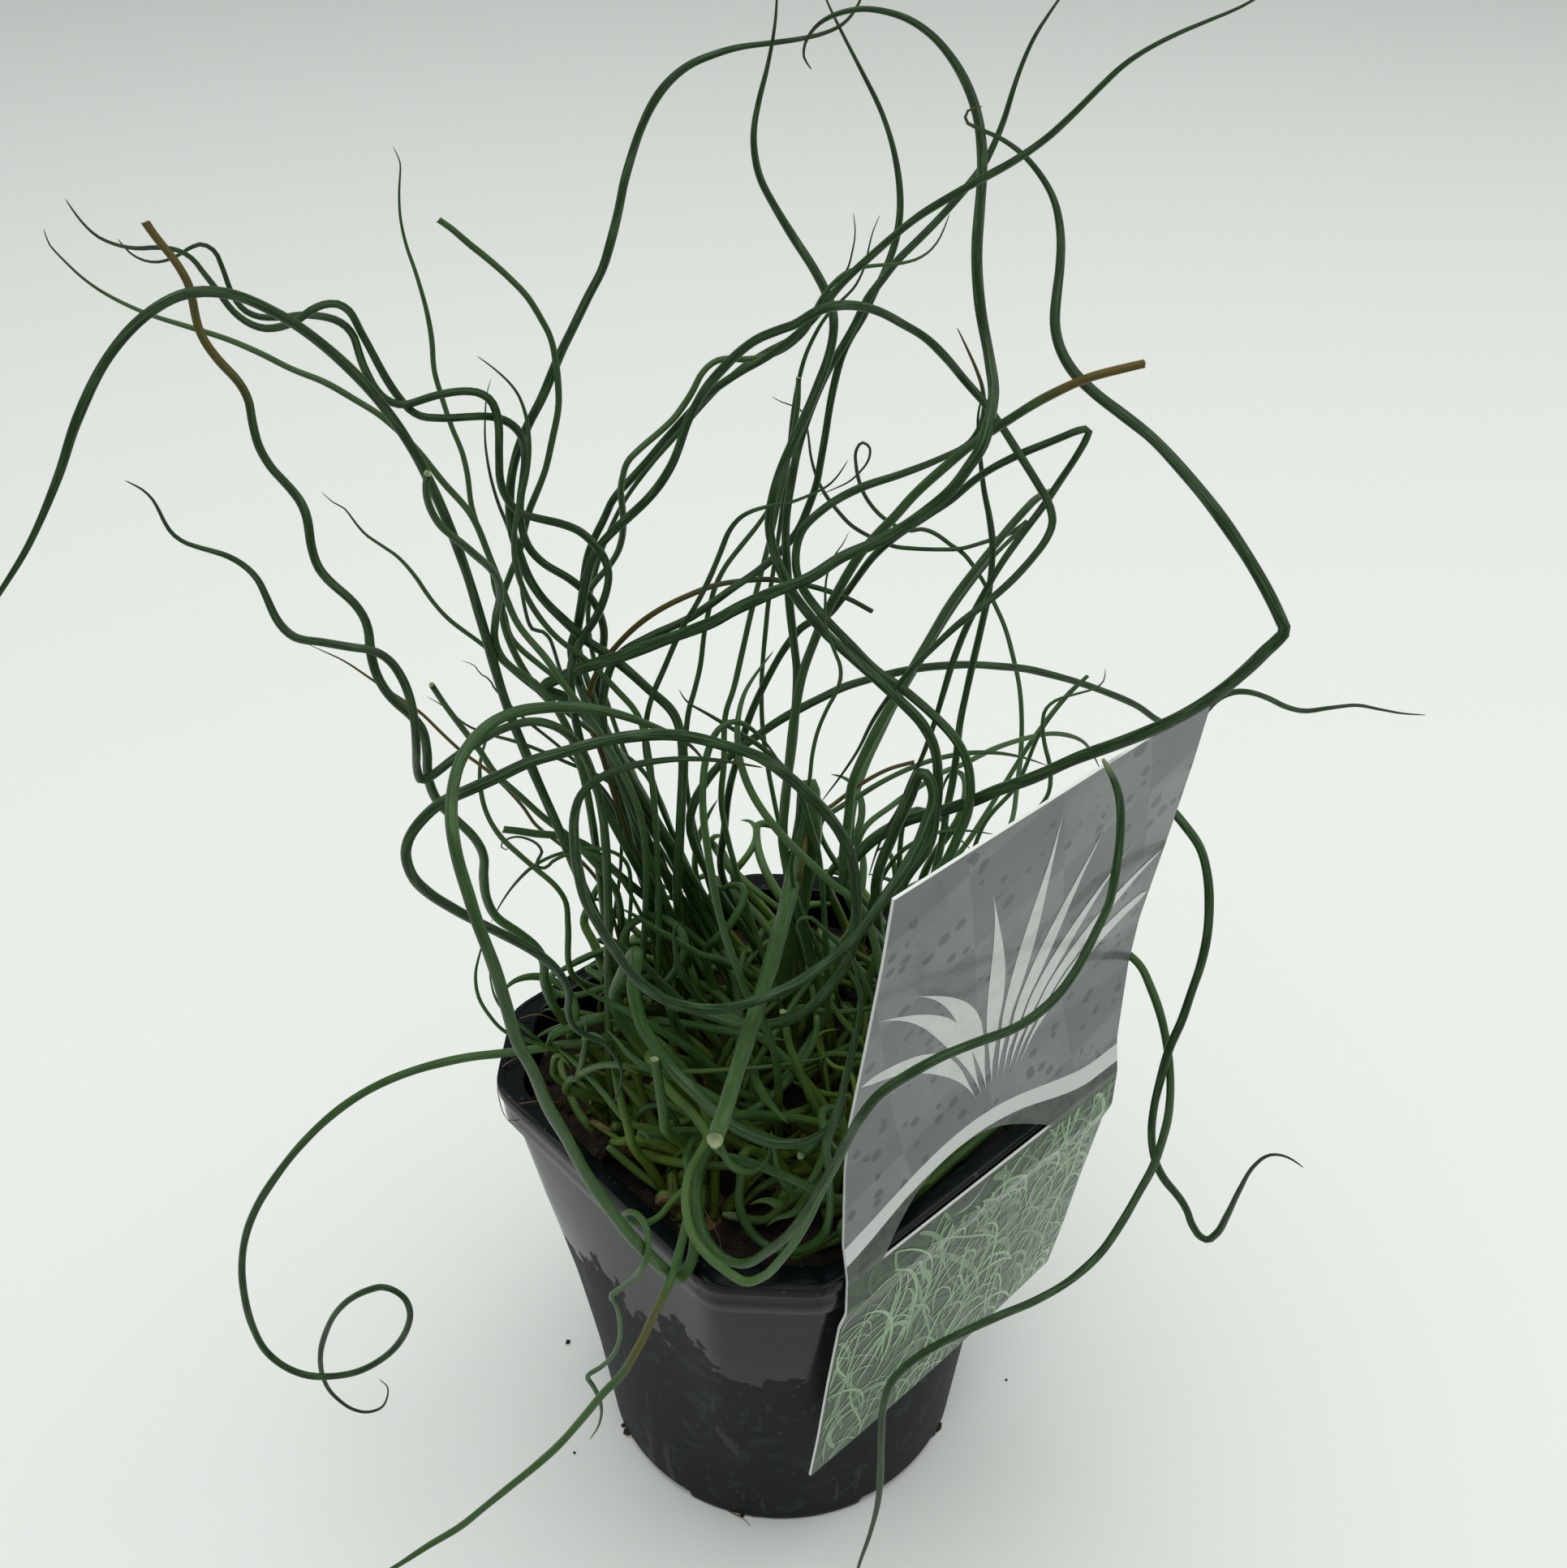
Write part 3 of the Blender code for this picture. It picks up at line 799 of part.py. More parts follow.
def build_label(parts, cutters):
    """A bent plastic sheet whose slot lets the lip through; a crescent slit frees a small tab."""
    heights = np.linspace(LABEL_HEIGHTS[0], LABEL_HEIGHTS[-1], 24)
    shares = np.linspace(0, 1, 4)

    def sheet(shape):
        rows = [[shape.verts.new(label_point(share, z)) for share in shares] for z in heights]
        for lower, upper in zip(rows, rows[1:]):
            for k in range(len(shares) - 1):
                shape.faces.new((lower[k], lower[k + 1], upper[k + 1], upper[k]))

    plastic = make_material("printed_plastic", (0.30, 0.33, 0.30), 0.3)
    label = new_object("label", mesh_of(sheet), parts, plastic)
    solid = label.modifiers.new("thickness", "SOLIDIFY")
    solid.thickness = LABEL_THICK
    solid.offset = 0
    slot = new_object("label_slot", mesh_of(lambda shape: lens(
        shape, SLOT_START, SLOT_END, 0, SLOT_RISE, SLOT_SKEW)), cutters)
    cut(label, slot)
    tab = new_object("label_tab", mesh_of(lambda shape: lens(
        shape, TAB_START, TAB_END, -TAB_SAG, TAB_SLIT - TAB_SAG)), cutters)
    cut(label, tab)
    return label


def stem_solid(points, radii, section):
    """A three-sided tube along a route, as a closed mesh object."""
    points, radii = thin_out(points, radii, CHORD_ERROR)
    curve = bpy.data.curves.new("stem", "CURVE")
    curve.dimensions = "3D"
    curve.bevel_mode = "OBJECT"
    curve.bevel_object = section
    curve.use_fill_caps = True
    line = curve.splines.new("POLY")
    line.points.add(len(points) - 1)
    for point, place, radius in zip(line.points, points, radii):
        point.co = (*place, 1)
        point.radius = max(radius, 0.00032) * 1000
    stem = bpy.data.objects.new("stem", curve)
    bpy.context.scene.collection.objects.link(stem)
    bpy.context.view_layer.update()
    mesh = bpy.data.meshes.new_from_object(stem.evaluated_get(bpy.context.evaluated_depsgraph_get()))
    bpy.data.objects.remove(stem)
    shape = bmesh.new()
    shape.from_mesh(mesh)
    bmesh.ops.remove_doubles(shape, verts=shape.verts, dist=1e-6)
    bmesh.ops.recalc_face_normals(shape, faces=shape.faces)
    shape.to_mesh(mesh)
    shape.free()
    return mesh


def build_tufts(parts, routes):
    """One body for each tuft: its rhizome stub, with its stems fused to it."""
    corner = bpy.data.curves.new("stem_section", "CURVE")
    triangle = corner.splines.new("POLY")
    triangle.points.add(2)
    for k, point in enumerate(triangle.points):
        turn = 2 * math.pi * k / 3
        point.co = (0.00118 * math.cos(turn), 0.00118 * math.sin(turn), 0, 1)
    triangle.use_cyclic_u = True
    section = bpy.data.objects.new("stem_section", corner)
    bpy.context.scene.collection.objects.link(section)
    green = make_material("rush_green", (0.045, 0.110, 0.040), 0.45)
    for tuft, (right, toward) in TUFTS.items():
        stub = mesh_of(lambda shape: bmesh.ops.create_cone(
            shape, cap_ends=True, segments=10, radius1=STUB_RADIUS - 0.0008, radius2=STUB_RADIUS,
            depth=STUB_DEPTH + STUB_RISE))
        body = new_object(f"tuft_{tuft:02d}", stub, parts, green)
        place = to_row(np.array([[right, -toward, SOIL_TOP]]))[0]
        body.location = place + [0, 0, (STUB_RISE - STUB_DEPTH) / 2]
        fused = bpy.data.collections.new("stems")
        bpy.context.scene.collection.children.link(fused)
        for name, owner, thick, tip, points in routes:
            if owner == tuft:
                mesh = stem_solid(points, stem_radii(points, thick, tip), section)
                new_object(name, mesh, fused)
        union = body.modifiers.new("fuse", "BOOLEAN")
        union.operation = "UNION"
        union.operand_type = "COLLECTION"
        union.collection = fused
        union.solver = "MANIFOLD"
        bpy.context.view_layer.update()
        mesh = bpy.data.meshes.new_from_object(body.evaluated_get(bpy.context.evaluated_depsgraph_get()))
        body.modifiers.clear()
        body.data = mesh
        mesh.materials.clear()
        mesh.materials.append(green)
        for item in list(fused.objects):
            bpy.data.objects.remove(item, do_unlink=True)
        bpy.data.collections.remove(fused)
    bpy.data.objects.remove(section, do_unlink=True)


clear_scene()
parts = bpy.data.collections.new("corkscrew_rush")
cutters = bpy.data.collections.new("cutters")
bpy.context.scene.collection.children.link(parts)
bpy.context.scene.collection.children.link(cutters)
build_pot(parts, cutters)
build_soil(parts, cutters)
build_label(parts, cutters)
routes = part_stems(all_routes())
build_tufts(parts, routes)
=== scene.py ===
"""Corkscrew rush in a square-round nursery pot, with a picture label hooked over the pot's lip."""
import math

import bpy
import numpy as np
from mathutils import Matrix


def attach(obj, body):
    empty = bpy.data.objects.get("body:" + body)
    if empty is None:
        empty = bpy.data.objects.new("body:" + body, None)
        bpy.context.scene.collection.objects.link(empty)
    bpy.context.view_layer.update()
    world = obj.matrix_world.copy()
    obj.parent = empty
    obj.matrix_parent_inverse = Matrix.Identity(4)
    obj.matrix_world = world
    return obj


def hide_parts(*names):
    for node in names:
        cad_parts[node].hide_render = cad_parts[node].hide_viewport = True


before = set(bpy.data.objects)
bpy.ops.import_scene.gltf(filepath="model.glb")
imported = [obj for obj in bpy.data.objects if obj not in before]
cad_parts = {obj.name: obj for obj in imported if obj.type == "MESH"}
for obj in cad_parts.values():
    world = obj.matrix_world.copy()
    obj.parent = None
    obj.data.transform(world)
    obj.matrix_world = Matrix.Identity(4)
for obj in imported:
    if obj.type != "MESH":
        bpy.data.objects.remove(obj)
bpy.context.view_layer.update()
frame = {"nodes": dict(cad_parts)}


# ---- The pot ----
# A thin nursery pot of black polypropylene, injection moulded: round at its notched foot, square with
# cut corners at the stiff collar. Its upper wall is still glossy, and potting dust has dried on the
# lower wall, with runs where drops of water ran down.

POT_HEIGHT = 0.131
RIM_HALF = 0.060            # half the width over the lip, across two flat sides
CORNER_CUT = 0.0195         # what each corner's flat takes off a side
CORNER_POWER = 50           # the higher, the sharper the eight corners
FOOT_RADIUS = 0.050
BASE_THICK = 0.005
NOTCH_HALF = 0.0145         # half the width of each of the foot's four notches
NOTCH_HEIGHT = 0.00325
NOTCH_IN = 0.039            # how near the axis a notch reaches
DRAIN_RADIUS = 0.003        # of the drain hole behind each notch
DRAIN_OUT = 0.0435
WARP = 0.00012              # how far the wall is out of true, in waves round it and up it
WARP_ROUND = 3
WARP_UP = 52                # radians in a metre of height
POT_COLUMNS = 288
LONGEST_RISE = 0.004        # between two rings of the wall
SHARP_ANGLE = math.radians(38)
DUST_LOWEST = 0.038         # height of the dust's edge where it is lowest
DUST_WANDER = 0.060         # how much higher its slow waves may take it
DUST_RAGGED = 0.034         # and its fine ones
DUST_EDGE = (-0.0006, 0.0012)   # from gloss to dust, in depth below that edge
POT_BLACK = (0.006, 0.007, 0.008)
CLEAN_WALL = (0.0016, 0.0036, 0.0041)
DUSTY_WALL = (0.0130, 0.0183, 0.0190)
DRIED_RUNS = (0.060, 0.066, 0.068)
GRIT_GREY = (0.060, 0.060, 0.056)

# Height, half width and squareness (0 round, 1 square): under the foot, outside from foot to lip,
# and inside from lip to floor. A notch lifts the rings that it reaches.
UNDERSIDE = [(0.0, NOTCH_IN - 0.0015, 0.0), (0.0, NOTCH_IN, 0.0), (0.0, 0.0485, 0.0), (0.0, 0.0494, 0.0)]
FOOT = [(0.0010, 0.0500, 0.00), (0.0030, 0.0502, 0.00)]
NOTCH_EDGE = [(NOTCH_HEIGHT, 0.05021, 0.0), (NOTCH_HEIGHT + 0.0003, 0.05023, 0.0)]
OUTSIDE = [(0.0300, 0.0517, 0.14), (0.0600, 0.0534, 0.42), (0.0900, 0.0553, 0.78), (0.1120, 0.0569, 0.95),
           (0.1190, 0.05738, 1.00), (0.1194, 0.0576, 1.00), (0.1196, 0.0589, 1.00), (0.1200, 0.0591, 1.00),
           (0.1272, 0.0594, 1.00), (0.1276, 0.0595, 1.00), (0.1279, 0.0599, 1.00), (0.1303, 0.0600, 1.00),
           (0.1308, 0.05985, 1.00), (0.1310, 0.0594, 1.00)]
LIP_INSIDE = [(0.1310, 0.0586, 1.00), (0.13075, 0.0584, 1.00), (0.1308, 0.0560, 1.00),
              (0.1306, 0.0552, 1.00), (0.1300, 0.0550, 1.00), (0.1265, 0.0554, 1.00), (0.1196, 0.0559, 1.00)]
WALL_INSIDE = [(0.0900, 0.0541, 0.78), (0.0600, 0.0522, 0.42), (0.0300, 0.0505, 0.14)]
FLOOR_INSIDE = [(BASE_THICK + 0.001, 0.0491, 0.00), (BASE_THICK, 0.0480, 0.00), (BASE_THICK, 0.0400, 0.00)]


def finer(levels):
    """Put even extra stops between levels whose heights are further apart than the longest rise."""
    rows = []
    for here, after in zip(levels, levels[1:]):
        count = max(1, math.ceil(abs(after[0] - here[0]) / LONGEST_RISE))
        rows += [np.array(here) + (np.array(after) - here) * k / count for k in range(count)]
    return np.array(rows + [levels[-1]])


def pot_radius(around, half, square):
    """Distance from the axis to the pot's outline.

    The eight flats are lines at given distances, and their reciprocals, weighted by the cosine to each
    flat, add up as a high power, which rounds the corners between them. That outline is then mixed
    with a circle by the squareness.
    """
    total = np.zeros(np.broadcast(around, half).shape)
    for k in range(8):
        reach = half if k % 2 == 0 else (2 * half - CORNER_CUT) / math.sqrt(2)
        total += (np.clip(np.cos(around - k * math.pi / 4), 0, 1) / reach) ** CORNER_POWER
    return square * total ** (-1 / CORNER_POWER) + (1 - square) * half


def angles(count):
    """Even angles round a full turn."""
    return np.linspace(0, 2 * math.pi, count, endpoint=False)


def round_points(radius, turn, height):
    """Points at a distance from the Z axis, at an angle about it and at a height."""
    return np.stack(np.broadcast_arrays(radius * np.cos(turn), radius * np.sin(turn), height), axis=-1)


def grid_quads(index, close_around=True):
    """The corners of the face between each four neighbours in a grid of point numbers."""
    after = np.roll(index, -1, axis=1)
    if not close_around:
        index, after = index[:, :-1], after[:, :-1]
    return np.stack([index[:-1], after[:-1], after[1:], index[1:]], axis=-1).reshape(-1, 4)


def end_fans(index):
    """Triangles from a grid's first and last row to the two poles, whose numbers follow the grid's own."""
    after = np.roll(index, -1, axis=1)
    low = np.full(index.shape[1], index[-1, -1] + 1)
    return [np.stack([after[0], index[0], low], axis=-1), np.stack([index[-1], after[-1], low + 1], axis=-1)]


def with_poles(grid):
    """A grid's points in a row, then the middle of its first and of its last row."""
    return np.concatenate([grid.reshape(-1, 3), grid[0].mean(axis=0)[None], grid[-1].mean(axis=0)[None]])


def new_mesh(name, points, faces, smooth=True):
    """A mesh of points and faces, shaded smooth or flat."""
    mesh = bpy.data.meshes.new(name)
    mesh.from_pydata(points.reshape(-1, 3).tolist(), [], faces)
    mesh.polygons.foreach_set("use_smooth", np.full(len(faces), smooth))
    mesh.update()
    return mesh


def closed_mesh(name, grid, flip=False):
    """A closed mesh from rings of points: faces between neighbours, and a pole at each end."""
    index = np.arange(grid.shape[0] * grid.shape[1]).reshape(grid.shape[:2])
    faces = [face for part in (grid_quads(index), *end_fans(index)) for face in part.tolist()]
    return new_mesh(name, with_poles(grid), [face[::-1] for face in faces] if flip else faces)


def link(thing):
    """Put an object into the scene."""
    bpy.context.scene.collection.objects.link(thing)
    return thing


def carve(mesh, cutters, thickness=0.0):
    """A mesh, thickened to both sides if asked, less the space inside some closed meshes."""
    blank, *tools = [link(bpy.data.objects.new("blank", each)) for each in (mesh, *cutters)]
    if thickness:
        wall = blank.modifiers.new("wall", "SOLIDIFY")
        wall.thickness = thickness
        wall.offset = 0
    for tool in tools:
        hole = blank.modifiers.new("hole", "BOOLEAN")
        hole.operation = "DIFFERENCE"
        hole.object = tool
    bpy.context.view_layer.update()
    carved = bpy.data.meshes.new_from_object(blank.evaluated_get(bpy.context.evaluated_depsgraph_get()))
    for each in (blank, *tools):
        bpy.data.objects.remove(each, do_unlink=True)
    carved.materials.clear()
    return carved


def place(name, mesh, material, slot):
    """Put a finished mesh into the scene as a piece that rides on the whole part."""
    piece = link(bpy.data.objects.new(name, mesh))
    mesh.materials.append(material)
    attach(piece, "root")
    return piece


def new_material(name, color, roughness, **settings):
    """A Principled material, its node tree and the socket that gives the place on the piece.

    Each setting is named for its input on the shader, with underscores for spaces.
    """
    material = bpy.data.materials.new(name)
    material.use_nodes = True
    tree = material.node_tree
    for label, value in {"Base_Color": (*color, 1), "Roughness": roughness, **settings}.items():
        tree.nodes["Principled BSDF"].inputs[label.replace("_", " ")].default_value = value
    return material, tree, add_node(tree, "ShaderNodeTexCoord").outputs["Object"]


def add_node(tree, kind, values=(), **settings):
    """Add a node and set its options, then give each named input its value or the socket that feeds it."""
    node = tree.nodes.new(kind)
    for option, value in settings.items():
        setattr(node, option, value)
    for key, value in dict(values).items():
        if isinstance(value, bpy.types.NodeSocket):
            tree.links.new(value, node.inputs[key])
        else:
            node.inputs[key].default_value = value
    return node


def mix_color(tree, mask, first, second):
    """Mix two colours, or sockets that give colours, by a mask socket."""
    first, second = ((*color, 1) if isinstance(color, tuple) else color for color in (first, second))
    return add_node(tree, "ShaderNodeMix", {"Factor": mask, 6: first, 7: second}, data_type="RGBA").outputs[2]


def math_node(tree, operation, *values, clamp=False):
    """A Math node on numbers or sockets."""
    node = add_node(tree, "ShaderNodeMath", enumerate(values), operation=operation, use_clamp=clamp)
    return node.outputs[0]


def ramp(tree, value, low, high, to_low=0.0, to_high=1.0):
    """Map a socket smoothly from the range low..high to the range to_low..to_high."""
    values = {"Value": value, "From Min": low, "From Max": high, "To Min": to_low, "To Max": to_high}
    return add_node(tree, "ShaderNodeMapRange", values, interpolation_type="SMOOTHSTEP").outputs["Result"]


def noise(tree, spot, scale, detail, roughness=0.5):
    """Fractal noise from 0 to 1: how often it waves in a metre, and how many finer octaves it has."""
    values = {"Vector": spot, "Scale": scale, "Detail": detail, "Roughness": roughness}
    return add_node(tree, "ShaderNodeTexNoise", values).outputs["Fac"]


def stretched(tree, spot, scale, **turned):
    """A place socket, turned and stretched."""
    return add_node(tree, "ShaderNodeMapping", {"Vector": spot, "Scale": scale, **turned}).outputs["Vector"]


def axes(tree, spot):
    """The three coordinates of a place socket."""
    return add_node(tree, "ShaderNodeSeparateXYZ", {0: spot}).outputs


def finish(tree, color, roughness, relief=None, strength=0.0, depth=0.0):
    """Feed the shader its colour, its roughness and, through a bump of some depth, its relief."""
    inputs = tree.nodes["Principled BSDF"].inputs
    tree.links.new(color, inputs["Base Color"])
    tree.links.new(roughness, inputs["Roughness"])
    if relief is not None:
        bump = add_node(tree, "ShaderNodeBump", {"Height": relief, "Strength": strength, "Distance": depth})
        tree.links.new(bump.outputs["Normal"], inputs["Normal"])


def new_group(name, inputs):
    """An empty node group that turns a place and some numbers into a mask, with its end sockets."""
    group = bpy.data.node_groups.new(name, "ShaderNodeTree")
    group.interface.new_socket("Place", in_out="INPUT", socket_type="NodeSocketVector")
    for label, value in inputs.items():
        group.interface.new_socket(label, in_out="INPUT", socket_type="NodeSocketFloat").default_value = value
    group.interface.new_socket("Mask", in_out="OUTPUT", socket_type="NodeSocketFloat")
    leave = group.nodes.new("NodeGroupOutput")
    return group, group.nodes.new("NodeGroupInput").outputs, leave.inputs["Mask"]


def use_group(tree, group, spot, **values):
    """Put a node group into a material with its own values, and give its mask."""
    return add_node(tree, "ShaderNodeGroup", {"Place": spot, **values}, node_tree=group).outputs[0]


# Blotches: fractal noise, cut softly at a level, for dust, stains and dried water
blotches, given, mask = new_group("blotches", {"Scale": 100, "Detail": 4, "Level": 0.5, "Softness": 0.1})
cloud = noise(blotches, given["Place"], given["Scale"], given["Detail"], 0.6)
cuts = [math_node(blotches, way, given["Level"], given["Softness"]) for way in ("SUBTRACT", "ADD")]
blotches.links.new(ramp(blotches, cloud, *cuts), mask)

# Specks: round dots of mixed size in some of the cells of a Voronoi pattern, for grit, pits and drops
specks, given, mask = new_group("specks", {"Scale": 800, "Size": 0.25, "Share": 0.4})
cells = add_node(specks, "ShaderNodeTexVoronoi", {"Vector": given["Place"], "Scale": given["Scale"]}).outputs
lot = add_node(specks, "ShaderNodeSeparateColor", {"Color": cells["Color"]}).outputs
size = math_node(specks, "MULTIPLY", lot["Green"], given["Size"])
inside = math_node(specks, "SUBTRACT", size, cells["Distance"])
dot = math_node(specks, "MULTIPLY", inside, 12.0, clamp=True)
chosen = math_node(specks, "LESS_THAN", lot["Red"], given["Share"])
specks.links.new(math_node(specks, "MULTIPLY", dot, chosen), mask)

# The mesh: the profile carried round the outline, with the notches raised out of the foot and a drain
# hole cut behind each
levels = np.concatenate([UNDERSIDE, FOOT, NOTCH_EDGE, finer(OUTSIDE),
                         finer([*LIP_INSIDE, *WALL_INSIDE, *FLOOR_INSIDE])])
around = angles(POT_COLUMNS)
height, half, square = levels[:, :1], levels[:, 1:2], levels[:, 2:]
radius = pot_radius(around, half, square)
radius = radius + WARP * np.sin(WARP_ROUND * around + 1.0) * np.sin(WARP_UP * height)
across = radius * np.sin(np.abs((around + math.pi / 4) % (math.pi / 2) - math.pi / 4))
is_foot = (np.arange(len(levels)) < len(UNDERSIDE) + len(FOOT) + 1)[:, None]
in_notch = is_foot & (across < NOTCH_HALF) & (half >= NOTCH_IN)
pot_grid = round_points(radius, around, np.where(in_notch, NOTCH_HEIGHT, height))
drains = []
for heading in angles(4):
    middle = round_points(DRAIN_OUT, heading, 0)
    drains.append(closed_mesh("drain", np.stack([middle + round_points(DRAIN_RADIUS, angles(24), level)
                                                 for level in (-0.002, BASE_THICK + 0.002)])))
pot_mesh = carve(closed_mesh("pot_shell", pot_grid), drains)
pot_mesh.set_sharp_from_angle(angle=SHARP_ANGLE)

# The finish: a wandering, ragged line divides gloss from dust. The dust lies in patches and runs.
pot_plastic, tree, spot = new_material("black_pot_plastic", POT_BLACK, 0.22,
                                       Specular_IOR_Level=0.11, Coat_Roughness=0.10)
dust_line = math_node(tree, "MULTIPLY_ADD", noise(tree, spot, 26, 1), DUST_WANDER, DUST_LOWEST)
dust_line = math_node(tree, "MULTIPLY_ADD", noise(tree, spot, 170, 5), DUST_RAGGED, dust_line)
dusty = ramp(tree, math_node(tree, "SUBTRACT", dust_line, axes(tree, spot)["Z"]), *DUST_EDGE)
patches = use_group(tree, blotches, spot, Scale=150, Detail=9, Level=0.58, Softness=0.04)
film = math_node(tree, "MULTIPLY", dusty, math_node(tree, "MULTIPLY_ADD", patches, 0.80, 0.20))
runs = ramp(tree, noise(tree, stretched(tree, spot, (190, 190, 24)), 1, 2), 0.62, 0.68)
run_mask = math_node(tree, "MULTIPLY", math_node(tree, "MULTIPLY", runs, dusty), 0.45)
grit = use_group(tree, specks, spot, Scale=420, Size=0.30, Share=0.34)
color = mix_color(tree, film, CLEAN_WALL, DUSTY_WALL)
color = mix_color(tree, run_mask, color, DRIED_RUNS)
color = mix_color(tree, math_node(tree, "MULTIPLY", grit, 0.5), color, GRIT_GREY)
pits = use_group(tree, specks, spot, Scale=700, Size=0.35, Share=0.10)
relief = math_node(tree, "SUBTRACT", math_node(tree, "MULTIPLY", noise(tree, spot, 60, 2), 0.5),
                   math_node(tree, "MULTIPLY", pits, 0.30))
relief = math_node(tree, "ADD", relief, math_node(tree, "MULTIPLY", film, 0.10))
finish(tree, color, math_node(tree, "MULTIPLY_ADD", dusty, 0.34, 0.20), relief, 0.35, 0.0004)
tree.links.new(math_node(tree, "MULTIPLY_ADD", dusty, -0.09, 0.09, clamp=True),
               tree.nodes["Principled BSDF"].inputs["Coat Weight"])

pot = place("black_pot", pot_mesh, pot_plastic, "black_plastic")
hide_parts("pot")


# ---- The soil ----
# Peat and bark compost, watered and settled: dark, lumpy and uneven under the stems, with its
# loose crumbs lying on top. It fills the pot and is seen only inside the collar.

SOIL_TOP = 0.1185
SOIL_EDGE = 0.0008          # how far it keeps from the wall
COLLAR_HALF = 0.0558        # half the pot's inner width at the soil's top
LUMP_HEIGHT = 0.0016
SMALLEST_LUMP = 0.0016
LUMP_FADE = 0.62            # each finer octave of lumps is lower by this
LUMP_OCTAVES = 4
LUMP_SEED = 11
LUMP_SINK = 0.0004          # how far the lumps' mean lies under the soil's top
WET_PEAT = (0.018, 0.011, 0.007)
PEAT_HOLLOWS = (0.008, 0.005, 0.0035)
PEAT_CLODS = (0.035, 0.021, 0.013)
PEAT_FIBRES = (0.105, 0.060, 0.030)


def lumps(points, finest, octaves, seed):
    """Uneven ground, from about -1 to 1: sums of sines along random directions.

    Each octave is finer and lower than the one before.
    """
    draw = np.random.default_rng(seed)
    total = np.zeros(points.shape[:-1])
    for octave in range(octaves):
        for _ in range(5):
            way = draw.normal(size=points.shape[-1])
            wave = 2 * math.pi / (finest * 2 ** (octaves - 1 - octave))
            turn = draw.uniform(0, 2 * math.pi)
            total += np.sin(points @ (way / np.linalg.norm(way)) * wave + turn) * LUMP_FADE ** octave
    return total / (2.2 * (1 - LUMP_FADE ** octaves) / (1 - LUMP_FADE))


def soil_height_at(points):
    """The height of the lumpy top under points."""
    return SOIL_TOP + LUMP_HEIGHT * lumps(points, SMALLEST_LUMP, LUMP_OCTAVES, LUMP_SEED) - LUMP_SINK


sides = np.array([(BASE_THICK + 0.0005, 0.0485, 0.0), *WALL_INSIDE[::-1],
                  (SOIL_TOP - 0.003, COLLAR_HALF, 1.0), (SOIL_TOP - 0.001, COLLAR_HALF, 1.0)])
ground = angles(220)
wall_rings = pot_radius(ground, sides[:, 1:2] - SOIL_EDGE, sides[:, 2:])
top_rings = pot_radius(ground, COLLAR_HALF - SOIL_EDGE, 1.0) * np.linspace(0.985, 0.02, 62)[:, None]
top_heights = soil_height_at(round_points(top_rings, ground, 0)[..., :2])
soil_grid = np.concatenate([round_points(wall_rings, ground, sides[:, :1]),
                            round_points(top_rings, ground, top_heights)])
soil_mesh = closed_mesh("soil_fill", soil_grid)

peat, tree, spot = new_material("wet_peat", WET_PEAT, 0.9, Specular_IOR_Level=0.3)
clods = use_group(tree, blotches, spot, Scale=260, Detail=6, Level=0.52, Softness=0.16)
fibre_bits = use_group(tree, specks, spot, Scale=520, Size=0.40, Share=0.14)
color = mix_color(tree, clods, PEAT_HOLLOWS, PEAT_CLODS)
color = mix_color(tree, math_node(tree, "MULTIPLY", fibre_bits, 0.7), color, PEAT_FIBRES)
finish(tree, color, math_node(tree, "MULTIPLY_ADD", clods, 0.35, 0.60),
       math_node(tree, "ADD", noise(tree, spot, 900, 6, 0.7), clods), 0.9, 0.0008)

soil = place("potting_soil", soil_mesh, peat, "peat")
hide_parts("soil")


# ---- Crumbs and bark on the soil ----
# Loose bits of the same mix: peat crumbs and chips of bark, scattered by hand when the pot was
# filled. A clod of old root and two larger pieces of red-brown bark are added with the crown.

CRUMB_COUNT = 260
BARK_COUNT = 26
STREWN_HALF = 0.0545        # half the width of the ground that they lie on
BALL_SHAPES = 8             # kinds of crumb
CRUMB_SIZES = (0.0006, 0.0019)
BARK_SIZES = (0.0016, 0.0034)
BARK_FORM = ((0.8, 0.4, 0.25), (1.3, 0.8, 0.5))     # least and greatest share of its size each way
BARK_BROWN = (0.085, 0.036, 0.020)
BARK_DARK = (0.040, 0.017, 0.010)
BARK_LIGHT = (0.150, 0.068, 0.038)
BARK_PITS = (0.016, 0.009, 0.006)


def lumpy_ball(seed, rows=6, columns=8):
    """A closed ball of rings whose distances from the middle vary at random."""
    draw = np.random.default_rng(seed)
    down = np.linspace(0.14, 1, rows, endpoint=False)[:, None] * math.pi * 0.93
    reach = draw.uniform(0.62, 1.1, (rows, columns))
    return round_points(reach * np.sin(down), angles(columns), -reach * np.cos(down))


def tilted(points, turn, axis):
    """Points turned about X (axis 0) or Z (axis 2)."""
    c, s = math.cos(turn), math.sin(turn)
    return points @ np.roll([[1, 0, 0], [0, c, s], [0, -s, c]], (axis, axis), (0, 1))


def scatter(name, balls, places, sizes, turns):
    """One mesh from many lumpy balls: each is stretched, turned about two axes and set in its place."""
    index = np.arange(balls[0][..., 0].size).reshape(balls[0].shape[:2])
    one = grid_quads(index).tolist() + [index[0][::-1].tolist(), index[-1].tolist()]
    points = [tilted(tilted(balls[k % len(balls)].reshape(-1, 3) * sizes[k], tip, 0), spin, 2) + places[k]
              for k, (spin, tip) in enumerate(turns)]
    faces = [[v + k * index.size for v in face] for k in range(len(places)) for face in one]
    return new_mesh(name, np.array(points), faces, smooth=False)


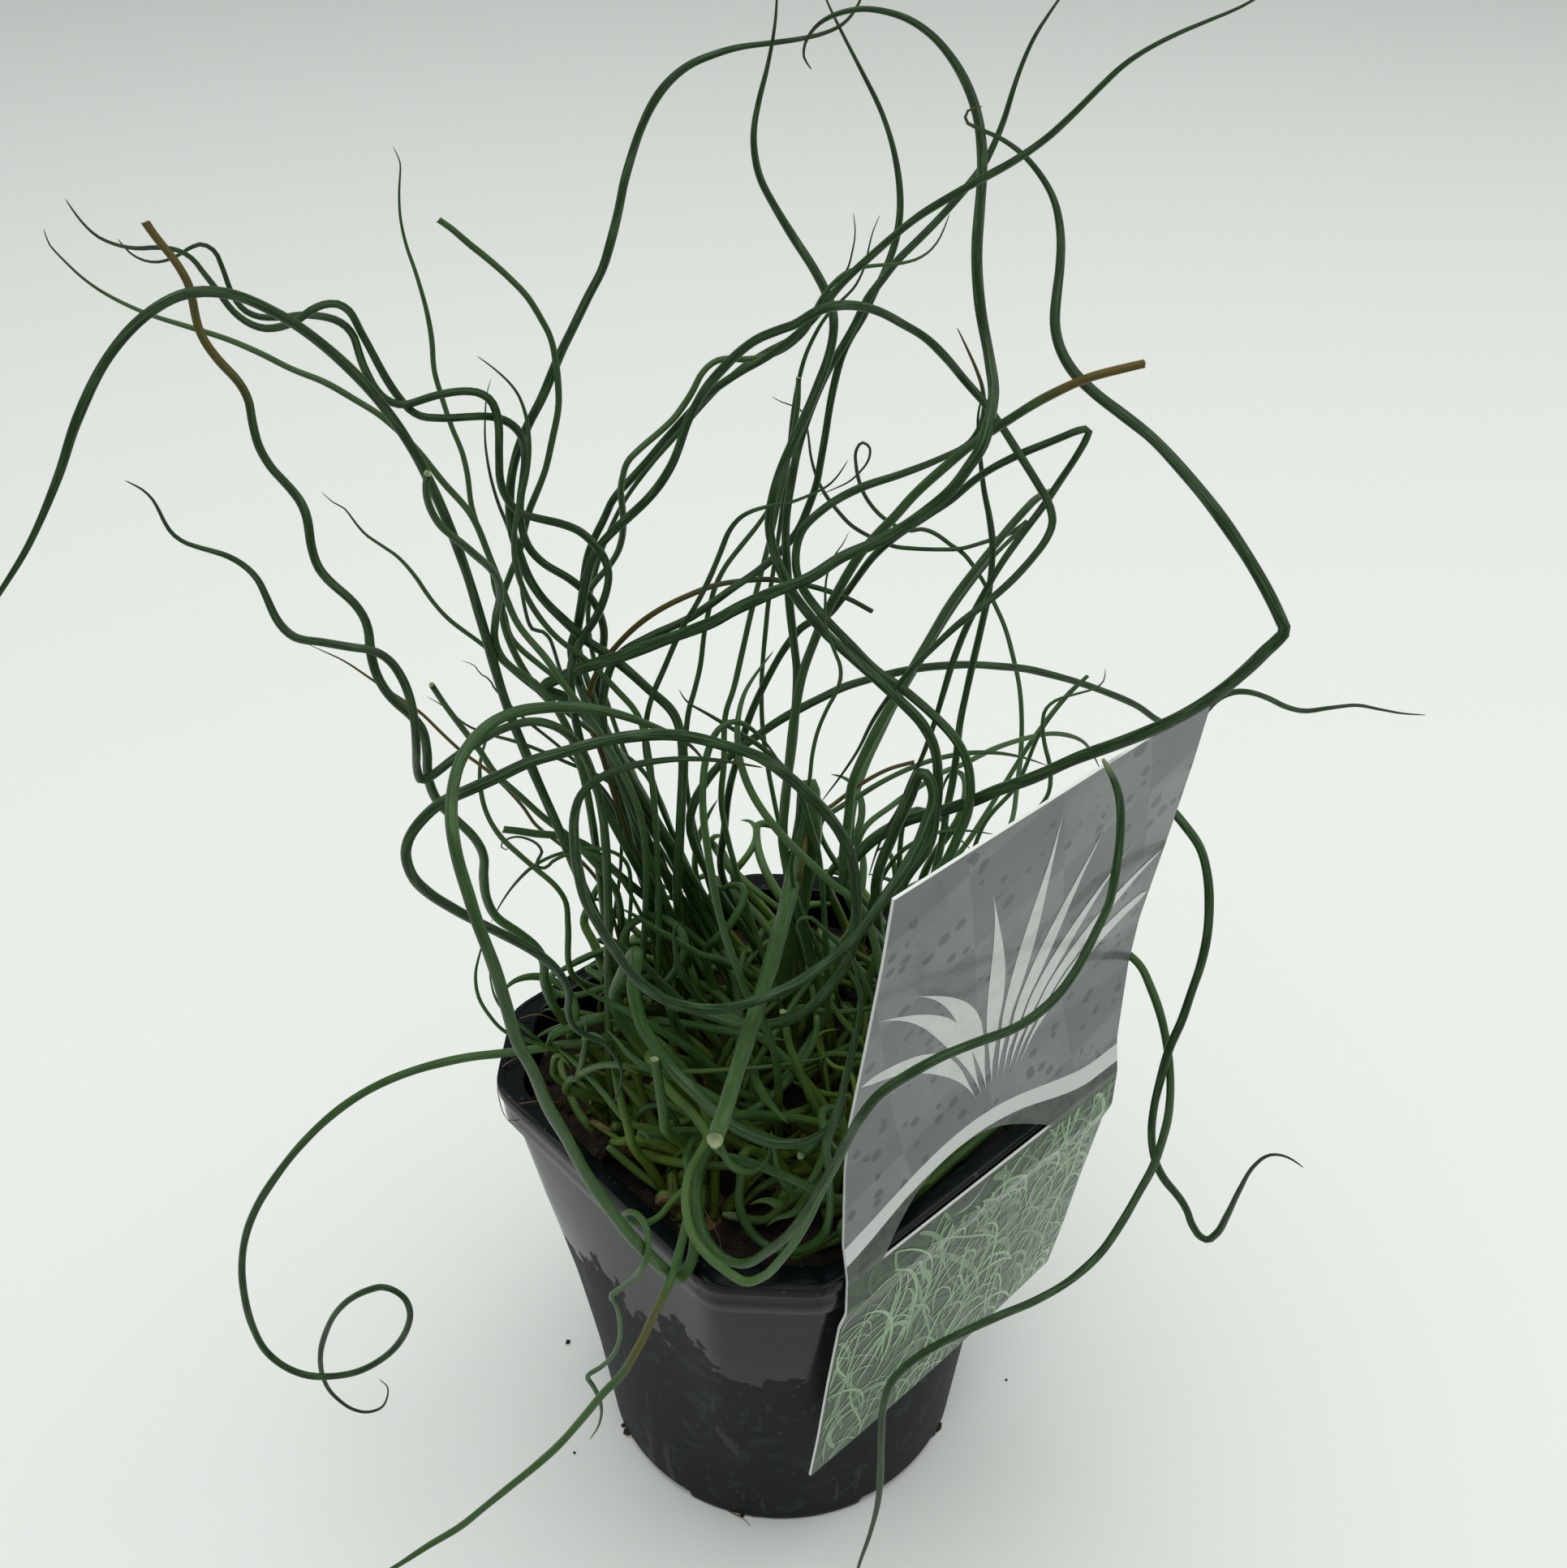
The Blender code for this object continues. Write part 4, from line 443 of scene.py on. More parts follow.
def strewn(draw, count, nearest, margin):
    """Random places on the soil, evenly thick over its area from a share of it outwards."""
    turn = draw.uniform(0, 2 * math.pi, count)
    out = np.sqrt(draw.uniform(nearest, 1, count)) * (pot_radius(turn, STREWN_HALF, 1.0) - margin)
    return round_points(out, turn, 0)[:, :2]


def resting(flat, lift):
    """Those places in space, lifted off the ground."""
    return np.concatenate([flat, (soil_height_at(flat) + lift)[:, None]], axis=1)


draw = np.random.default_rng(5)
balls = [lumpy_ball(seed) for seed in range(BALL_SHAPES)]
flat = strewn(draw, CRUMB_COUNT, 0, 0.003)
sizes = draw.uniform(*CRUMB_SIZES, (CRUMB_COUNT, 1)) * draw.uniform(0.6, 1.2, (CRUMB_COUNT, 3))
turns = draw.uniform(-3, 3, (CRUMB_COUNT, 2))
place("peat_crumbs", scatter("crumbs", balls, resting(flat, 0.3 * sizes[:, 2]), sizes, turns), peat, "peat")

bark_wood, tree, spot = new_material("red_brown_bark", BARK_BROWN, 0.75)
flakes = use_group(tree, blotches, spot, Scale=420, Detail=5, Level=0.5, Softness=0.18)
dark_bits = use_group(tree, specks, spot, Scale=900, Size=0.45, Share=0.3)
color = mix_color(tree, dark_bits, mix_color(tree, flakes, BARK_DARK, BARK_LIGHT), BARK_PITS)
finish(tree, color, math_node(tree, "MULTIPLY_ADD", flakes, 0.25, 0.60), flakes, 0.8, 0.0006)

flat = strewn(draw, BARK_COUNT, 0.1, 0.006)
sizes = draw.uniform(*BARK_SIZES, (BARK_COUNT, 1)) * draw.uniform(*BARK_FORM, (BARK_COUNT, 3))
turns = draw.uniform((-3, -0.5), (3, 0.5), (BARK_COUNT, 2))
place("bark_chips", scatter("bark", balls, resting(flat, 0.5 * sizes[:, 2]), sizes, turns), bark_wood, "peat")


# ---- The stems ----
# Smooth round rush stems without leaves, twisted like corkscrews as they grew: bluish green with a
# waxy bloom, yellow-green where they leave the crown. Their green is painted lighter low in the crown
# against its shade and darker higher up as painted shade, and their pale streaks are partly painted
# highlight. Some tips dried brown, and a few stems were cut or broke. The stems of one rhizome form a
# tuft, and thirteen tufts fill the pot.

LIP_WIDTH = 0.005
LABEL_LEFT = -0.036         # the label's two edges, which the stems keep clear of
LABEL_RIGHT = 0.058
LABEL_THICK = 0.0007
# The stems are drawn on a sight plane: a drawing in units of one dot, seen from EYE by a
# viewer who looks SIGHT_PITCH down. Turned about Z by VIEW_TURN, the sight frame is the pot's.
FOCUS = 2193.8
SIGHT_CENTRE = (965.5, 966.0)
SIGHT_PITCH = math.radians(37.46)
EYE = np.array([0.00045, -0.3162, 0.4597])
VIEW_TURN = math.radians(-42.54)

# Each tuft's rhizome in the sight frame: metres to the right of the pot's axis, and towards the viewer
TUFTS = {
    1: (-0.038, 0.014), 2: (-0.036, -0.013), 3: (-0.009, -0.039), 4: (-0.014, -0.017),
    5: (-0.014, 0.014), 6: (0.030, -0.028), 7: (0.024, 0.030), 8: (0.038, 0.000),
    9: (-0.020, 0.038), 10: (0.004, 0.034), 11: (0.008, -0.008), 12: (0.012, -0.040), 13: (0.010, 0.012),
}
# Each stem: tuft, thickness in mm, kind of tip, how far it stands towards the viewer at even
# stops along it in mm, and its line in the drawing as pairs (across, down), from the root up
STEMS = {
    "left_arch": (2, 2.3, "fine", (0, 10, 20, 40, 60),
        [722,1100, 690,1025, 652,938, 623,865, 596,775, 572,697, 538,612, 499,538, 450,474, 393,421,
         339,385, 282,362, 229,362, 179,389, 132,442, 95,517, 71,589, 34,674, -20,762, -60,840]),
    "left_thin": (2, 1.7, "fine", (0, -10, -20, -20),
        [790,1010, 740,905, 700,850, 675,814, 639,770, 622,732, 604,688, 581,635, 545,593, 513,553,
         470,513, 440,494, 400,471, 360,455, 320,435, 280,418, 230,402, 180,386, 130,362, 100,341, 80,322,
         60,300, 55,286]),
    "twist_a": (4, 2.0, "fine", (0, -5, -8, -2, -8, 0, -6, -6, -6),
        [730,960, 705,860, 705,815, 722,780, 735,760, 747,730, 750,705, 742,683, 715,655, 690,645, 660,638,
         642,632, 627,618, 617,595, 615,560, 614,520, 606,495, 590,484, 560,483, 525,491, 500,499, 480,495,
         464,481, 452,460, 443,438, 437,417, 425,401, 407,392, 370,388, 345,391, 318,390, 298,380, 284,358,
         274,330, 263,308, 250,301, 235,305, 213,318, 190,323, 170,318, 155,307, 148,298]),
    "twist_b": (4, 2.0, "fine", (-12, -16, -12, -14, -3, -9, 0, 0, 0),
        [760,960, 735,860, 743,800, 744,775, 736,749, 721,729, 700,712, 670,694, 652,675, 643,650, 641,620,
         645,590, 647,560, 640,533, 622,518, 600,513, 570,514, 543,515, 514,511, 496,495, 478,470, 464,445,
         453,424, 443,406, 430,383, 412,374, 390,379, 367,394, 345,403, 322,404, 303,396, 286,382, 268,358,
         250,335, 236,318, 218,308, 195,305, 170,306, 145,302, 118,290, 98,270, 83,249]),
    "cut_left": (1, 2.2, "cut", (12, 25, 40, 30, 20, 10),
        [690,1250, 680,1235, 671,1210, 670,1185, 660,1167, 640,1150, 612,1130, 600,1108, 596,1080,
         596,1055, 585,1033, 560,1008, 540,988, 528,960, 526,925, 520,898, 505,880, 480,857, 465,833,
         457,805, 454,778, 446,756, 428,735, 408,718, 393,700, 384,675, 380,648, 374,625, 358,602, 335,577,
         319,550, 311,520, 306,493, 295,472, 275,450, 257,428, 245,405, 239,380, 234,355, 220,328, 205,308,
         192,292, 180,275]),
    "wavy_left": (1, 2.1, "fine", (10, 20, 45, 40, 30, 30),
        [740,990, 700,905, 660,889, 622,897, 588,915, 560,934, 533,955, 520,961, 514,948, 513,920, 511,890,
         505,860, 494,833, 478,812, 460,802, 430,797, 395,791, 365,786, 350,775, 338,758, 328,735, 316,712,
         298,695, 275,683, 250,676, 225,667, 210,655, 200,638, 190,618, 175,603, 158,594]),
    "fine_left": (4, 1.3, "fine", (-20, -20, -12, -10),
        [800,960, 740,910, 690,872, 645,838, 598,797, 552,762, 530,737, 510,708, 490,686, 470,672, 450,658,
         437,643, 425,627, 412,620, 399,609]),
    "needle_left": (2, 1.5, "fine", (-10, -20, -30, -35),
        [760,950, 700,850, 660,815, 640,798, 628,782, 622,758, 610,725, 604,690, 590,653, 581,623, 576,585,
         569,556, 557,527, 544,488, 535,456, 532,418, 525,380, 512,335, 500,300, 493,265, 492,230, 493,200,
         486,184]),
    "short_cut": (2, 2.0, "cut", (0, 6, 8, 30, 34),
        [720,960, 690,880, 657,840, 639,829, 619,811, 610,790, 611,761, 616,732, 613,714, 604,700, 587,685,
         566,667, 545,650, 531,628, 525,605, 527,584]),
    "bowed_cut": (4, 1.8, "cut", (-10, -15, -20, -20),
        [720,940, 690,880, 655,840, 632,800, 620,765, 620,735, 630,705, 640,680, 645,658, 652,630, 663,603,
         672,579, 680,544, 688,503, 688,477, 685,447, 678,415, 665,390, 650,366, 625,340, 600,318, 575,298,
         558,283, 541,271]),
    "fine_mid": (2, 1.6, "fine", (0, -5, 0, 0),
        [790,890, 760,850, 733,823, 716,808, 686,785, 663,758, 645,726, 635,691, 634,655, 640,620, 648,590,
         652,560, 651,530, 646,505, 636,482, 622,466, 606,452, 591,441]),
    "fine_mid_b": (4, 1.1, "fine", (-30, -28, -28),
        [700,850, 672,780, 657,776, 645,741, 640,700, 626,650, 614,620, 604,585, 598,545, 598,510, 600,485,
         604,470]),
    "tall_arch": (4, 2.3, "fine", (0, -5, -20, -45, -60),
        [835,1110, 837,1047, 840,983, 842,938, 838,900, 828,876, 799,849, 777,829, 751,808, 721,788,
         698,767, 669,738, 651,711, 640,683, 631,655, 628,620, 630,590, 637,558, 650,525, 668,490, 690,437,
         708,400, 725,365, 742,332, 752,300, 762,260, 769,225, 778,193, 788,163, 803,130, 822,103, 848,81,
         880,67, 912,58, 950,53, 985,48, 1015,41, 1038,30, 1052,15, 1062,-5, 1068,-30]),
    "top_hook": (4, 2.8, "fine", (-15, 0, 10, -5, -20, -40, -50),
        [790,980, 740,900, 700,862, 670,848, 690,835, 720,822, 767,808, 818,789, 879,766, 904,752, 952,730,
         999,711, 1038,686, 1076,670, 1111,651, 1143,628, 1172,603, 1194,574, 1210,549, 1219,517, 1224,485,
         1219,443, 1208,380, 1204,332, 1204,300, 1207,260, 1210,220, 1210,185, 1205,145, 1193,108, 1175,75,
         1150,45, 1120,24, 1090,14, 1062,11, 1035,16, 1012,27, 998,42, 991,58, 991,72, 998,83]),
    "off_top": (4, 2.0, "fine", (0, -10, -30, -50, -60),
        [745,900, 745,850, 761,808, 799,785, 845,764, 872,747, 904,724, 936,702, 961,680, 983,654, 996,625,
         1006,597, 1012,565, 1018,530, 1023,498, 1029,469, 1036,443, 1047,418, 1063,392, 1076,364,
         1092,330, 1104,295, 1109,262, 1108,225, 1100,180, 1085,135, 1062,88, 1040,45, 1022,8, 1008,-25]),
    "bent_top": (8, 2.4, "fine", (30, 10, -10, -35, -50),
        [1110,1095, 1145,1040, 1153,1000, 1156,960, 1151,920, 1135,890, 1113,867, 1084,840, 1052,812,
         1020,783, 991,750, 971,721, 958,692, 950,665, 948,640, 953,610, 962,580, 980,539, 996,504,
         1009,472, 1020,443, 1027,410, 1026,383, 1015,354, 999,325, 980,296, 955,255, 937,220, 930,190,
         929,160, 935,125, 945,85, 952,50, 956,20, 958,-20]),
    "brown_tip": (8, 2.3, "fine", (30, 20, -5, -20, -30),
        [1130,1110, 1167,1060, 1180,1032, 1192,1003, 1196,971, 1192,939, 1177,910, 1151,882, 1110,847,
         1078,824, 1046,792, 1017,762, 999,740, 987,721, 981,699, 982,673, 990,651, 1009,632, 1031,616,
         1063,600, 1111,584, 1159,565, 1195,545, 1211,515, 1211,480, 1203,455, 1192,430, 1181,407]),
    "slim_up": (11, 2.1, "fine", (0, -12, -30, -45, -60),
        [965,1010, 975,930, 980,878, 982,827, 978,790, 973,745, 970,700, 968,660, 970,628, 976,590,
         984,550, 996,512, 1010,478, 1024,450, 1040,424, 1055,397, 1068,370, 1086,346, 1105,322, 1127,300,
         1150,277, 1173,252, 1195,226, 1212,203, 1227,173, 1238,145, 1248,112, 1260,78, 1275,45, 1292,18,
         1312,-10, 1330,-30]),
    "long_right": (4, 1.9, "fine", (-10, -20, -20, -10, 10, 20),
        [740,900, 712,830, 713,775, 716,745, 720,709, 724,685, 733,662, 745,638, 754,618, 763,606, 777,591,
         795,571, 815,547, 833,527, 855,503, 880,480, 911,459, 940,443, 962,428, 985,409, 1003,392,
         1018,373, 1035,352, 1055,332, 1075,314, 1100,292, 1130,268, 1165,246, 1205,223, 1250,198,
         1290,170, 1325,138, 1358,105, 1385,80, 1415,60, 1450,42, 1490,25, 1530,8, 1560,-10, 1585,-28]),
    "braid_tip": (4, 1.7, "fine", (-12, -28, -14, -26, -12, -20),
        [748,900, 712,790, 716,761, 724,732, 736,714, 751,697, 763,676, 768,650, 767,626, 765,603, 768,585,
         774,568, 792,550, 812,533, 830,516, 842,500, 853,483, 865,460, 880,446, 895,442, 914,443, 940,440,
         962,432, 978,421, 994,405, 1003,386, 1013,367, 1026,350, 1042,336, 1058,330, 1080,327, 1105,325,
         1128,320, 1145,310, 1156,297, 1163,283, 1169,267]),
    "over_arch": (4, 2.1, "fine", (-10, -12, -14, 0, -20, 0, 10, 10),
        [735,900, 704,800, 712,770, 717,741, 722,717, 727,697, 739,673, 757,653, 777,635, 798,615, 815,594,
         830,568, 839,544, 847,520, 857,500, 870,478, 889,456, 911,434, 933,418, 959,407, 981,399,
         1000,387, 1019,379, 1042,376, 1064,378, 1086,385, 1112,399, 1140,416, 1165,440, 1190,470,
         1212,495, 1232,522, 1255,558, 1278,595, 1292,620, 1297,642, 1290,663, 1270,690, 1245,717,
         1215,743, 1180,770, 1151,797, 1120,828, 1097,856, 1074,891, 1058,923, 1039,952, 1015,984]),
    "braid_fine": (4, 1.3, "fine", (-25, -30, -32, -32),
        [760,900, 725,770, 735,700, 765,625, 800,575, 835,535, 870,495, 910,455, 945,432, 975,416,
         1000,395, 1017,372, 1033,350, 1045,330, 1051,306, 1054,287, 1052,266]),
    "twin_tip": (11, 1.3, "fine", (-25, -35, -45),
        [940,900, 945,760, 955,690, 965,620, 972,560, 977,510, 984,470, 992,440, 1003,415, 1018,390,
         1035,372, 1052,355, 1064,332, 1070,309, 1075,287, 1083,268]),
    "mid_cut": (11, 1.6, "cut", (-15, -25, -35),
        [890,1000, 892,940, 894,881, 904,849, 914,806, 926,753, 939,702, 950,660, 960,615, 970,570,
         978,530, 983,500, 984,466]),
    "mid_fine": (4, 1.5, "fine", (-5, 0, 6, 8),
        [810,980, 795,920, 800,870, 820,820, 840,775, 859,743, 875,711, 888,680, 900,652, 916,635, 942,625,
         974,619, 1000,609, 1018,600, 1031,588, 1043,570]),
    "mid_thin": (3, 1.5, "fine", (-15, -25, -40),
        [845,960, 848,880, 856,850, 863,820, 868,779, 874,750, 881,724, 894,698, 913,673, 936,644, 952,618,
         962,590, 974,560, 986,535, 995,505]),
    "brown_end": (11, 2.4, "cut", (0, -5, 0, 10, 15),
        [965,1040, 968,985, 974,925, 981,870, 989,830, 1003,791, 1015,762, 1028,737, 1044,708, 1060,683,
         1079,660, 1101,638, 1127,609, 1162,577, 1200,546, 1239,520, 1286,491, 1340,466, 1380,455,
         1410,448]),
    "kinked": (11, 1.9, "fine", (-20, -25, -15, -10, 10, 20),
        [890,1080, 893,1019, 899,971, 912,923, 921,891, 931,866, 950,828, 969,796, 992,770, 1018,759,
         1038,737, 1057,711, 1076,686, 1105,660, 1143,635, 1172,616, 1194,597, 1216,581, 1254,561,
         1293,545, 1325,532, 1341,527, 1340,537, 1326,563, 1306,593, 1286,623, 1259,659, 1233,696,
         1210,736, 1190,775, 1173,819, 1163,852, 1150,895, 1137,931, 1123,960, 1108,995, 1090,1025,
         1078,1055, 1071,1078]),
    "blunt_back": (6, 2.6, "blunt", (-5, -20, -40, -55),
        [1040,1080, 1046,1003, 1049,971, 1055,952, 1071,917, 1090,882, 1110,850, 1129,815, 1148,783,
         1173,741, 1199,706, 1233,663, 1259,633, 1279,613, 1296,604]),
    "right_upright": (6, 2.0, "fine", (0, -15, -25, -30),
        [1150,1080, 1162,1030, 1166,1001, 1173,968, 1178,935, 1183,891, 1191,852, 1200,812, 1210,769,
         1218,732, 1222,700, 1223,669, 1219,636, 1213,606, 1209,575, 1207,545, 1205,515, 1212,480]),
    "back_straight": (6, 1.7, "blunt", (-50, -70, -90),
        [1160,1085, 1199,1028, 1216,1001, 1233,974, 1249,948, 1266,921, 1282,898, 1299,875, 1319,852,
         1340,833]),
    "low_arch_a": (6, 1.6, "fine", (-15, -30, -40),
        [1010,1015, 1033,996, 1058,981, 1084,965, 1116,949, 1151,936, 1192,928, 1231,928, 1263,934,
         1290,943]),
    "low_arch_b": (6, 1.7, "fine", (-40, -60, -90),
        [1060,1030, 1100,992, 1135,968, 1161,952, 1186,942, 1224,923, 1263,910, 1294,904, 1320,907,
         1336,915, 1347,930, 1355,946]),
    "low_brown": (11, 1.2, "cut", (-10, -20),
        [1000,1010, 1020,997, 1046,977, 1071,960, 1097,947, 1126,939]),
    "far_arch": (3, 1.9, "fine", (-10, -25, -50, -75, -95),
        [850,1010, 880,950, 937,904, 960,888, 988,872, 1014,859, 1039,847, 1071,837, 1103,829, 1135,823,
         1167,820, 1199,819, 1231,821, 1263,824, 1294,831, 1326,840, 1358,851, 1400,869, 1428,888,
         1455,897, 1478,884, 1500,862, 1520,853, 1540,853, 1562,860, 1585,871, 1608,876, 1640,872,
         1672,869, 1700,874, 1728,879, 1755,881]),
    "label_loop": (6, 2.4, "fine", (-30, -20, 5, 25, 40, 50),
        [1180,1120, 1250,1050, 1340,1000, 1400,986, 1440,996, 1459,1016, 1479,1045, 1488,1080, 1490,1118,
         1487,1156, 1479,1191, 1469,1220, 1456,1258, 1441,1292, 1430,1330, 1422,1365, 1419,1398, 1423,1428,
         1434,1452, 1452,1474, 1462,1490, 1470,1511, 1485,1528, 1499,1520, 1512,1498, 1527,1467, 1545,1437,
         1565,1423, 1585,1425, 1604,1437]),
    "low_right": (6, 2.1, "fine", (-30, 0, 30, 65, 90, 95, 95),
        [1200,1170, 1270,1140, 1340,1148, 1390,1178, 1408,1210, 1425,1250, 1436,1292, 1441,1335, 1439,1375,
         1431,1408, 1421,1437, 1403,1470, 1383,1505, 1355,1545, 1318,1578, 1275,1603, 1232,1621, 1190,1640,
         1150,1660, 1118,1682, 1097,1706, 1088,1735, 1086,1770, 1085,1810, 1082,1850, 1072,1890, 1058,1930,
         1050,1965]),
    "big_kink": (8, 2.8, "fine", (10, 22, 36, 46, 30, 0, -20, -35),
        [1040,1085, 1060,1050, 1090,1025, 1122,1009, 1157,1000, 1199,987, 1231,974, 1279,958, 1326,939,
         1380,920, 1430,898, 1470,876, 1505,852, 1540,822, 1565,797, 1583,779, 1576,758, 1556,718,
         1530,675, 1495,625, 1455,577, 1420,540, 1385,512, 1350,485, 1322,457, 1306,428, 1300,398,
         1302,365, 1306,330, 1307,290, 1300,250, 1285,220, 1260,190, 1232,170, 1205,158, 1191,150,
         1187,142, 1195,135, 1207,132]),
    "back_curl": (6, 1.5, "fine", (-40, -90, -120, -110, -100),
        [1050,1010, 1093,890, 1135,815, 1178,745, 1222,688, 1255,655, 1268,640, 1256,650, 1238,660,
         1216,667, 1184,676, 1159,677, 1127,676, 1101,673, 1076,663, 1050,648, 1031,628, 1015,606,
         1006,587, 999,561, 996,536, 990,509, 980,501, 967,497, 953,490]),
    "back_loop": (6, 1.5, "fine", (-30, -80, -110, -125, -115),
        [1190,1120, 1246,1014, 1253,971, 1258,928, 1259,885, 1256,845, 1249,812, 1239,775, 1226,745,
         1209,712, 1187,682, 1171,671, 1155,659, 1137,652, 1120,654, 1104,648, 1085,635, 1069,616,
         1060,597, 1055,574, 1055,555, 1063,545, 1071,550, 1071,565, 1060,581, 1047,593, 1031,601,
         1012,609]),
    "thread_up": (11, 1.1, "fine", (10, 12, 8, 5),
        [975,1070, 988,1015, 998,958, 1001,930, 1008,900, 1020,872, 1033,847, 1036,824, 1027,799, 1018,773,
         1017,741, 1018,715, 1022,700, 1031,680, 1039,670, 1045,658]),
    "brown_bow": (4, 1.6, "cut", (-10, -15, -20),
        [745,940, 725,870, 735,830, 757,799, 786,770, 815,750, 850,733, 882,721, 913,716, 948,714, 977,718,
         1006,724, 1044,737, 1074,753]),
    "big_loop": (5, 2.5, "fine", (30, 42, 45, 50, 62, 68, 50, 38),
        [830,1240, 875,1250, 904,1260, 933,1263, 962,1260, 986,1250, 1009,1232, 1027,1211, 1042,1188,
         1052,1158, 1055,1124, 1054,1089, 1048,1054, 1033,1022, 1012,995, 982,966, 953,943, 930,930,
         894,919, 856,909, 815,905, 773,908, 735,915, 697,926, 655,938, 614,957, 576,974, 544,989,
         521,1009, 505,1031, 500,1052, 508,1079, 528,1100, 556,1118, 585,1134, 617,1150, 646,1165,
         672,1182, 690,1200, 701,1222, 700,1245, 707,1265, 725,1277, 743,1284, 757,1300, 766,1320,
         763,1342, 756,1359]),
    "inner_loop": (8, 2.6, "fine", (10, 25, 45, 62, 66, 60, 50),
        [1080,1090, 1100,1030, 1120,985, 1137,951, 1147,965, 1150,985, 1141,1013, 1131,1040, 1116,1067,
         1100,1092, 1084,1114, 1066,1140, 1048,1162, 1030,1178, 1006,1195, 977,1214, 948,1227, 921,1236,
         898,1242, 863,1243, 827,1235, 798,1218, 775,1195, 757,1170, 740,1143, 722,1110, 713,1075,
         708,1040, 708,1005, 717,978, 740,958, 773,945, 815,937, 856,935, 894,938, 936,945]),
    "rim_sweep": (9, 2.7, "fine", (52, 77, 80, 88, 88, 80, 62, 40, 20),
        [862,1470, 858,1500, 856,1530, 851,1557, 838,1574, 820,1566, 796,1543, 767,1511, 742,1476,
         720,1443, 699,1404, 674,1361, 656,1318, 638,1285, 624,1240, 612,1200, 600,1167, 588,1136,
         576,1098, 566,1066, 559,1034, 556,1002, 559,967, 567,938, 583,912, 604,892, 634,878, 671,872,
         716,872, 754,878, 792,890, 824,903, 850,918, 870,940]),
    "front_cut": (11, 3.3, "cut", (-10, 0, 45, 95),
        [1000,1040, 1001,1000, 997,964, 993,977, 990,1010, 983,1051, 972,1105, 960,1150, 948,1195,
         936,1232, 924,1270, 912,1308, 902,1340, 892,1372, 881,1404]),
    "front_kink": (5, 2.4, "fine", (25, 50, 78, 88, 88),
        [800,1300, 812,1328, 830,1350, 850,1368, 865,1388, 872,1402, 862,1422, 850,1445, 845,1475,
         848,1503, 857,1528, 873,1548, 893,1564, 917,1579, 940,1573, 963,1551, 983,1524, 999,1498,
         1012,1472, 1024,1450, 1034,1425]),
    "across_label": (7, 2.3, "blunt", (45, 66, 84, 92, 88, 74, 60, 46),
        [885,1380, 871,1420, 862,1442, 860,1463, 860,1487, 864,1510, 873,1530, 887,1546, 905,1556,
         922,1556, 946,1542, 971,1522, 989,1500, 1008,1471, 1024,1444, 1046,1402, 1062,1375, 1084,1348,
         1118,1325, 1160,1302, 1202,1285, 1252,1266, 1286,1243, 1311,1217, 1332,1185, 1351,1147, 1367,1112,
         1375,1073, 1380,1035, 1380,987, 1373,962, 1360,937]),
    "front_loop": (10, 2.3, "fine", (45, 60, 72, 66, 55),
        [918,1420, 913,1459, 911,1480, 918,1507, 930,1525, 945,1538, 963,1546, 987,1549, 1010,1542,
         1028,1528, 1040,1504, 1043,1479, 1042,1453, 1036,1430, 1040,1400, 1046,1365, 1049,1340, 1054,1305,
         1060,1264, 1062,1232, 1056,1200, 1045,1170]),
    "small_u_a": (10, 2.2, "fine", (58, 66, 60),
        [882,1390, 888,1412, 895,1428, 906,1440, 918,1444, 932,1442, 942,1434, 948,1420, 952,1398]),
    "small_u_b": (7, 2.2, "fine", (45, 56, 58, 50),
        [1019,1400, 1016,1420, 1008,1440, 1000,1455, 988,1466, 976,1469, 966,1459, 959,1442, 954,1420,
         950,1395]),
    "front_swag": (5, 2.7, "fine", (22, 36, 48, 62, 66),
        [760,1245, 770,1195, 785,1173, 783,1195, 780,1215, 784,1238, 792,1264, 810,1293, 833,1323,
         857,1346, 878,1367, 904,1387, 933,1402, 962,1409, 992,1407, 1015,1395, 1033,1378, 1044,1352]),
    "left_curl": (1, 2.1, "fine", (14, 14, 22, 34, 38, 34, 30),
        [760,1290, 721,1285, 688,1288, 656,1293, 617,1298, 581,1302, 546,1309, 510,1319, 474,1333,
         439,1352, 403,1379, 367,1415, 339,1451, 317,1486, 303,1522, 298,1561, 302,1601, 312,1636,
         328,1665, 353,1685, 381,1695, 417,1695, 446,1688, 474,1672, 492,1654, 503,1633, 505,1615,
         496,1597, 474,1586, 453,1590, 431,1601, 413,1619, 401,1643, 395,1668, 397,1693, 406,1713,
         420,1727, 434,1736, 451,1740, 469,1735, 477,1722, 477,1708, 469,1701]),
    "corkscrew": (9, 1.5, "fine", (52, 66, 80, 72, 66, 60),
        [852,1460, 830,1478, 812,1499, 795,1507, 778,1505, 770,1498, 775,1493, 785,1496, 793,1505,
         798,1520, 799,1538, 794,1557, 783,1573, 767,1586, 753,1597, 759,1606, 764,1624, 764,1648,
         756,1669, 741,1684, 724,1696, 731,1708, 739,1725, 741,1743, 736,1760, 727,1773]),
    "front_hanger": (9, 1.6, "fine", (50, 78, 84, 90, 96, 102),
        [855,1450, 850,1485, 845,1510, 839,1535, 833,1556, 826,1577, 818,1596, 808,1616, 793,1648,
         781,1670, 766,1694, 744,1716, 720,1745, 689,1780, 659,1807, 628,1832, 597,1857, 567,1881,
         527,1905, 493,1927, 455,1950, 420,1975]),
    "pale_drop": (10, 2.0, "fine", (40, 45, 42, 30, 20),
        [955,1300, 935,1250, 920,1225, 907,1190, 894,1155, 885,1120, 878,1085, 872,1047, 867,1008, 866,970,
         869,940, 875,919, 885,899, 904,889, 923,896, 942,914, 958,934]),
    "tip_a": (11, 1.5, "fine", (10, 15, 25),
        [1010,1060, 1000,1020, 980,965, 955,935, 936,919, 901,897, 869,878, 847,865, 838,852]),
    "tip_b": (7, 2.1, "fine", (40, 35, 25, 10),
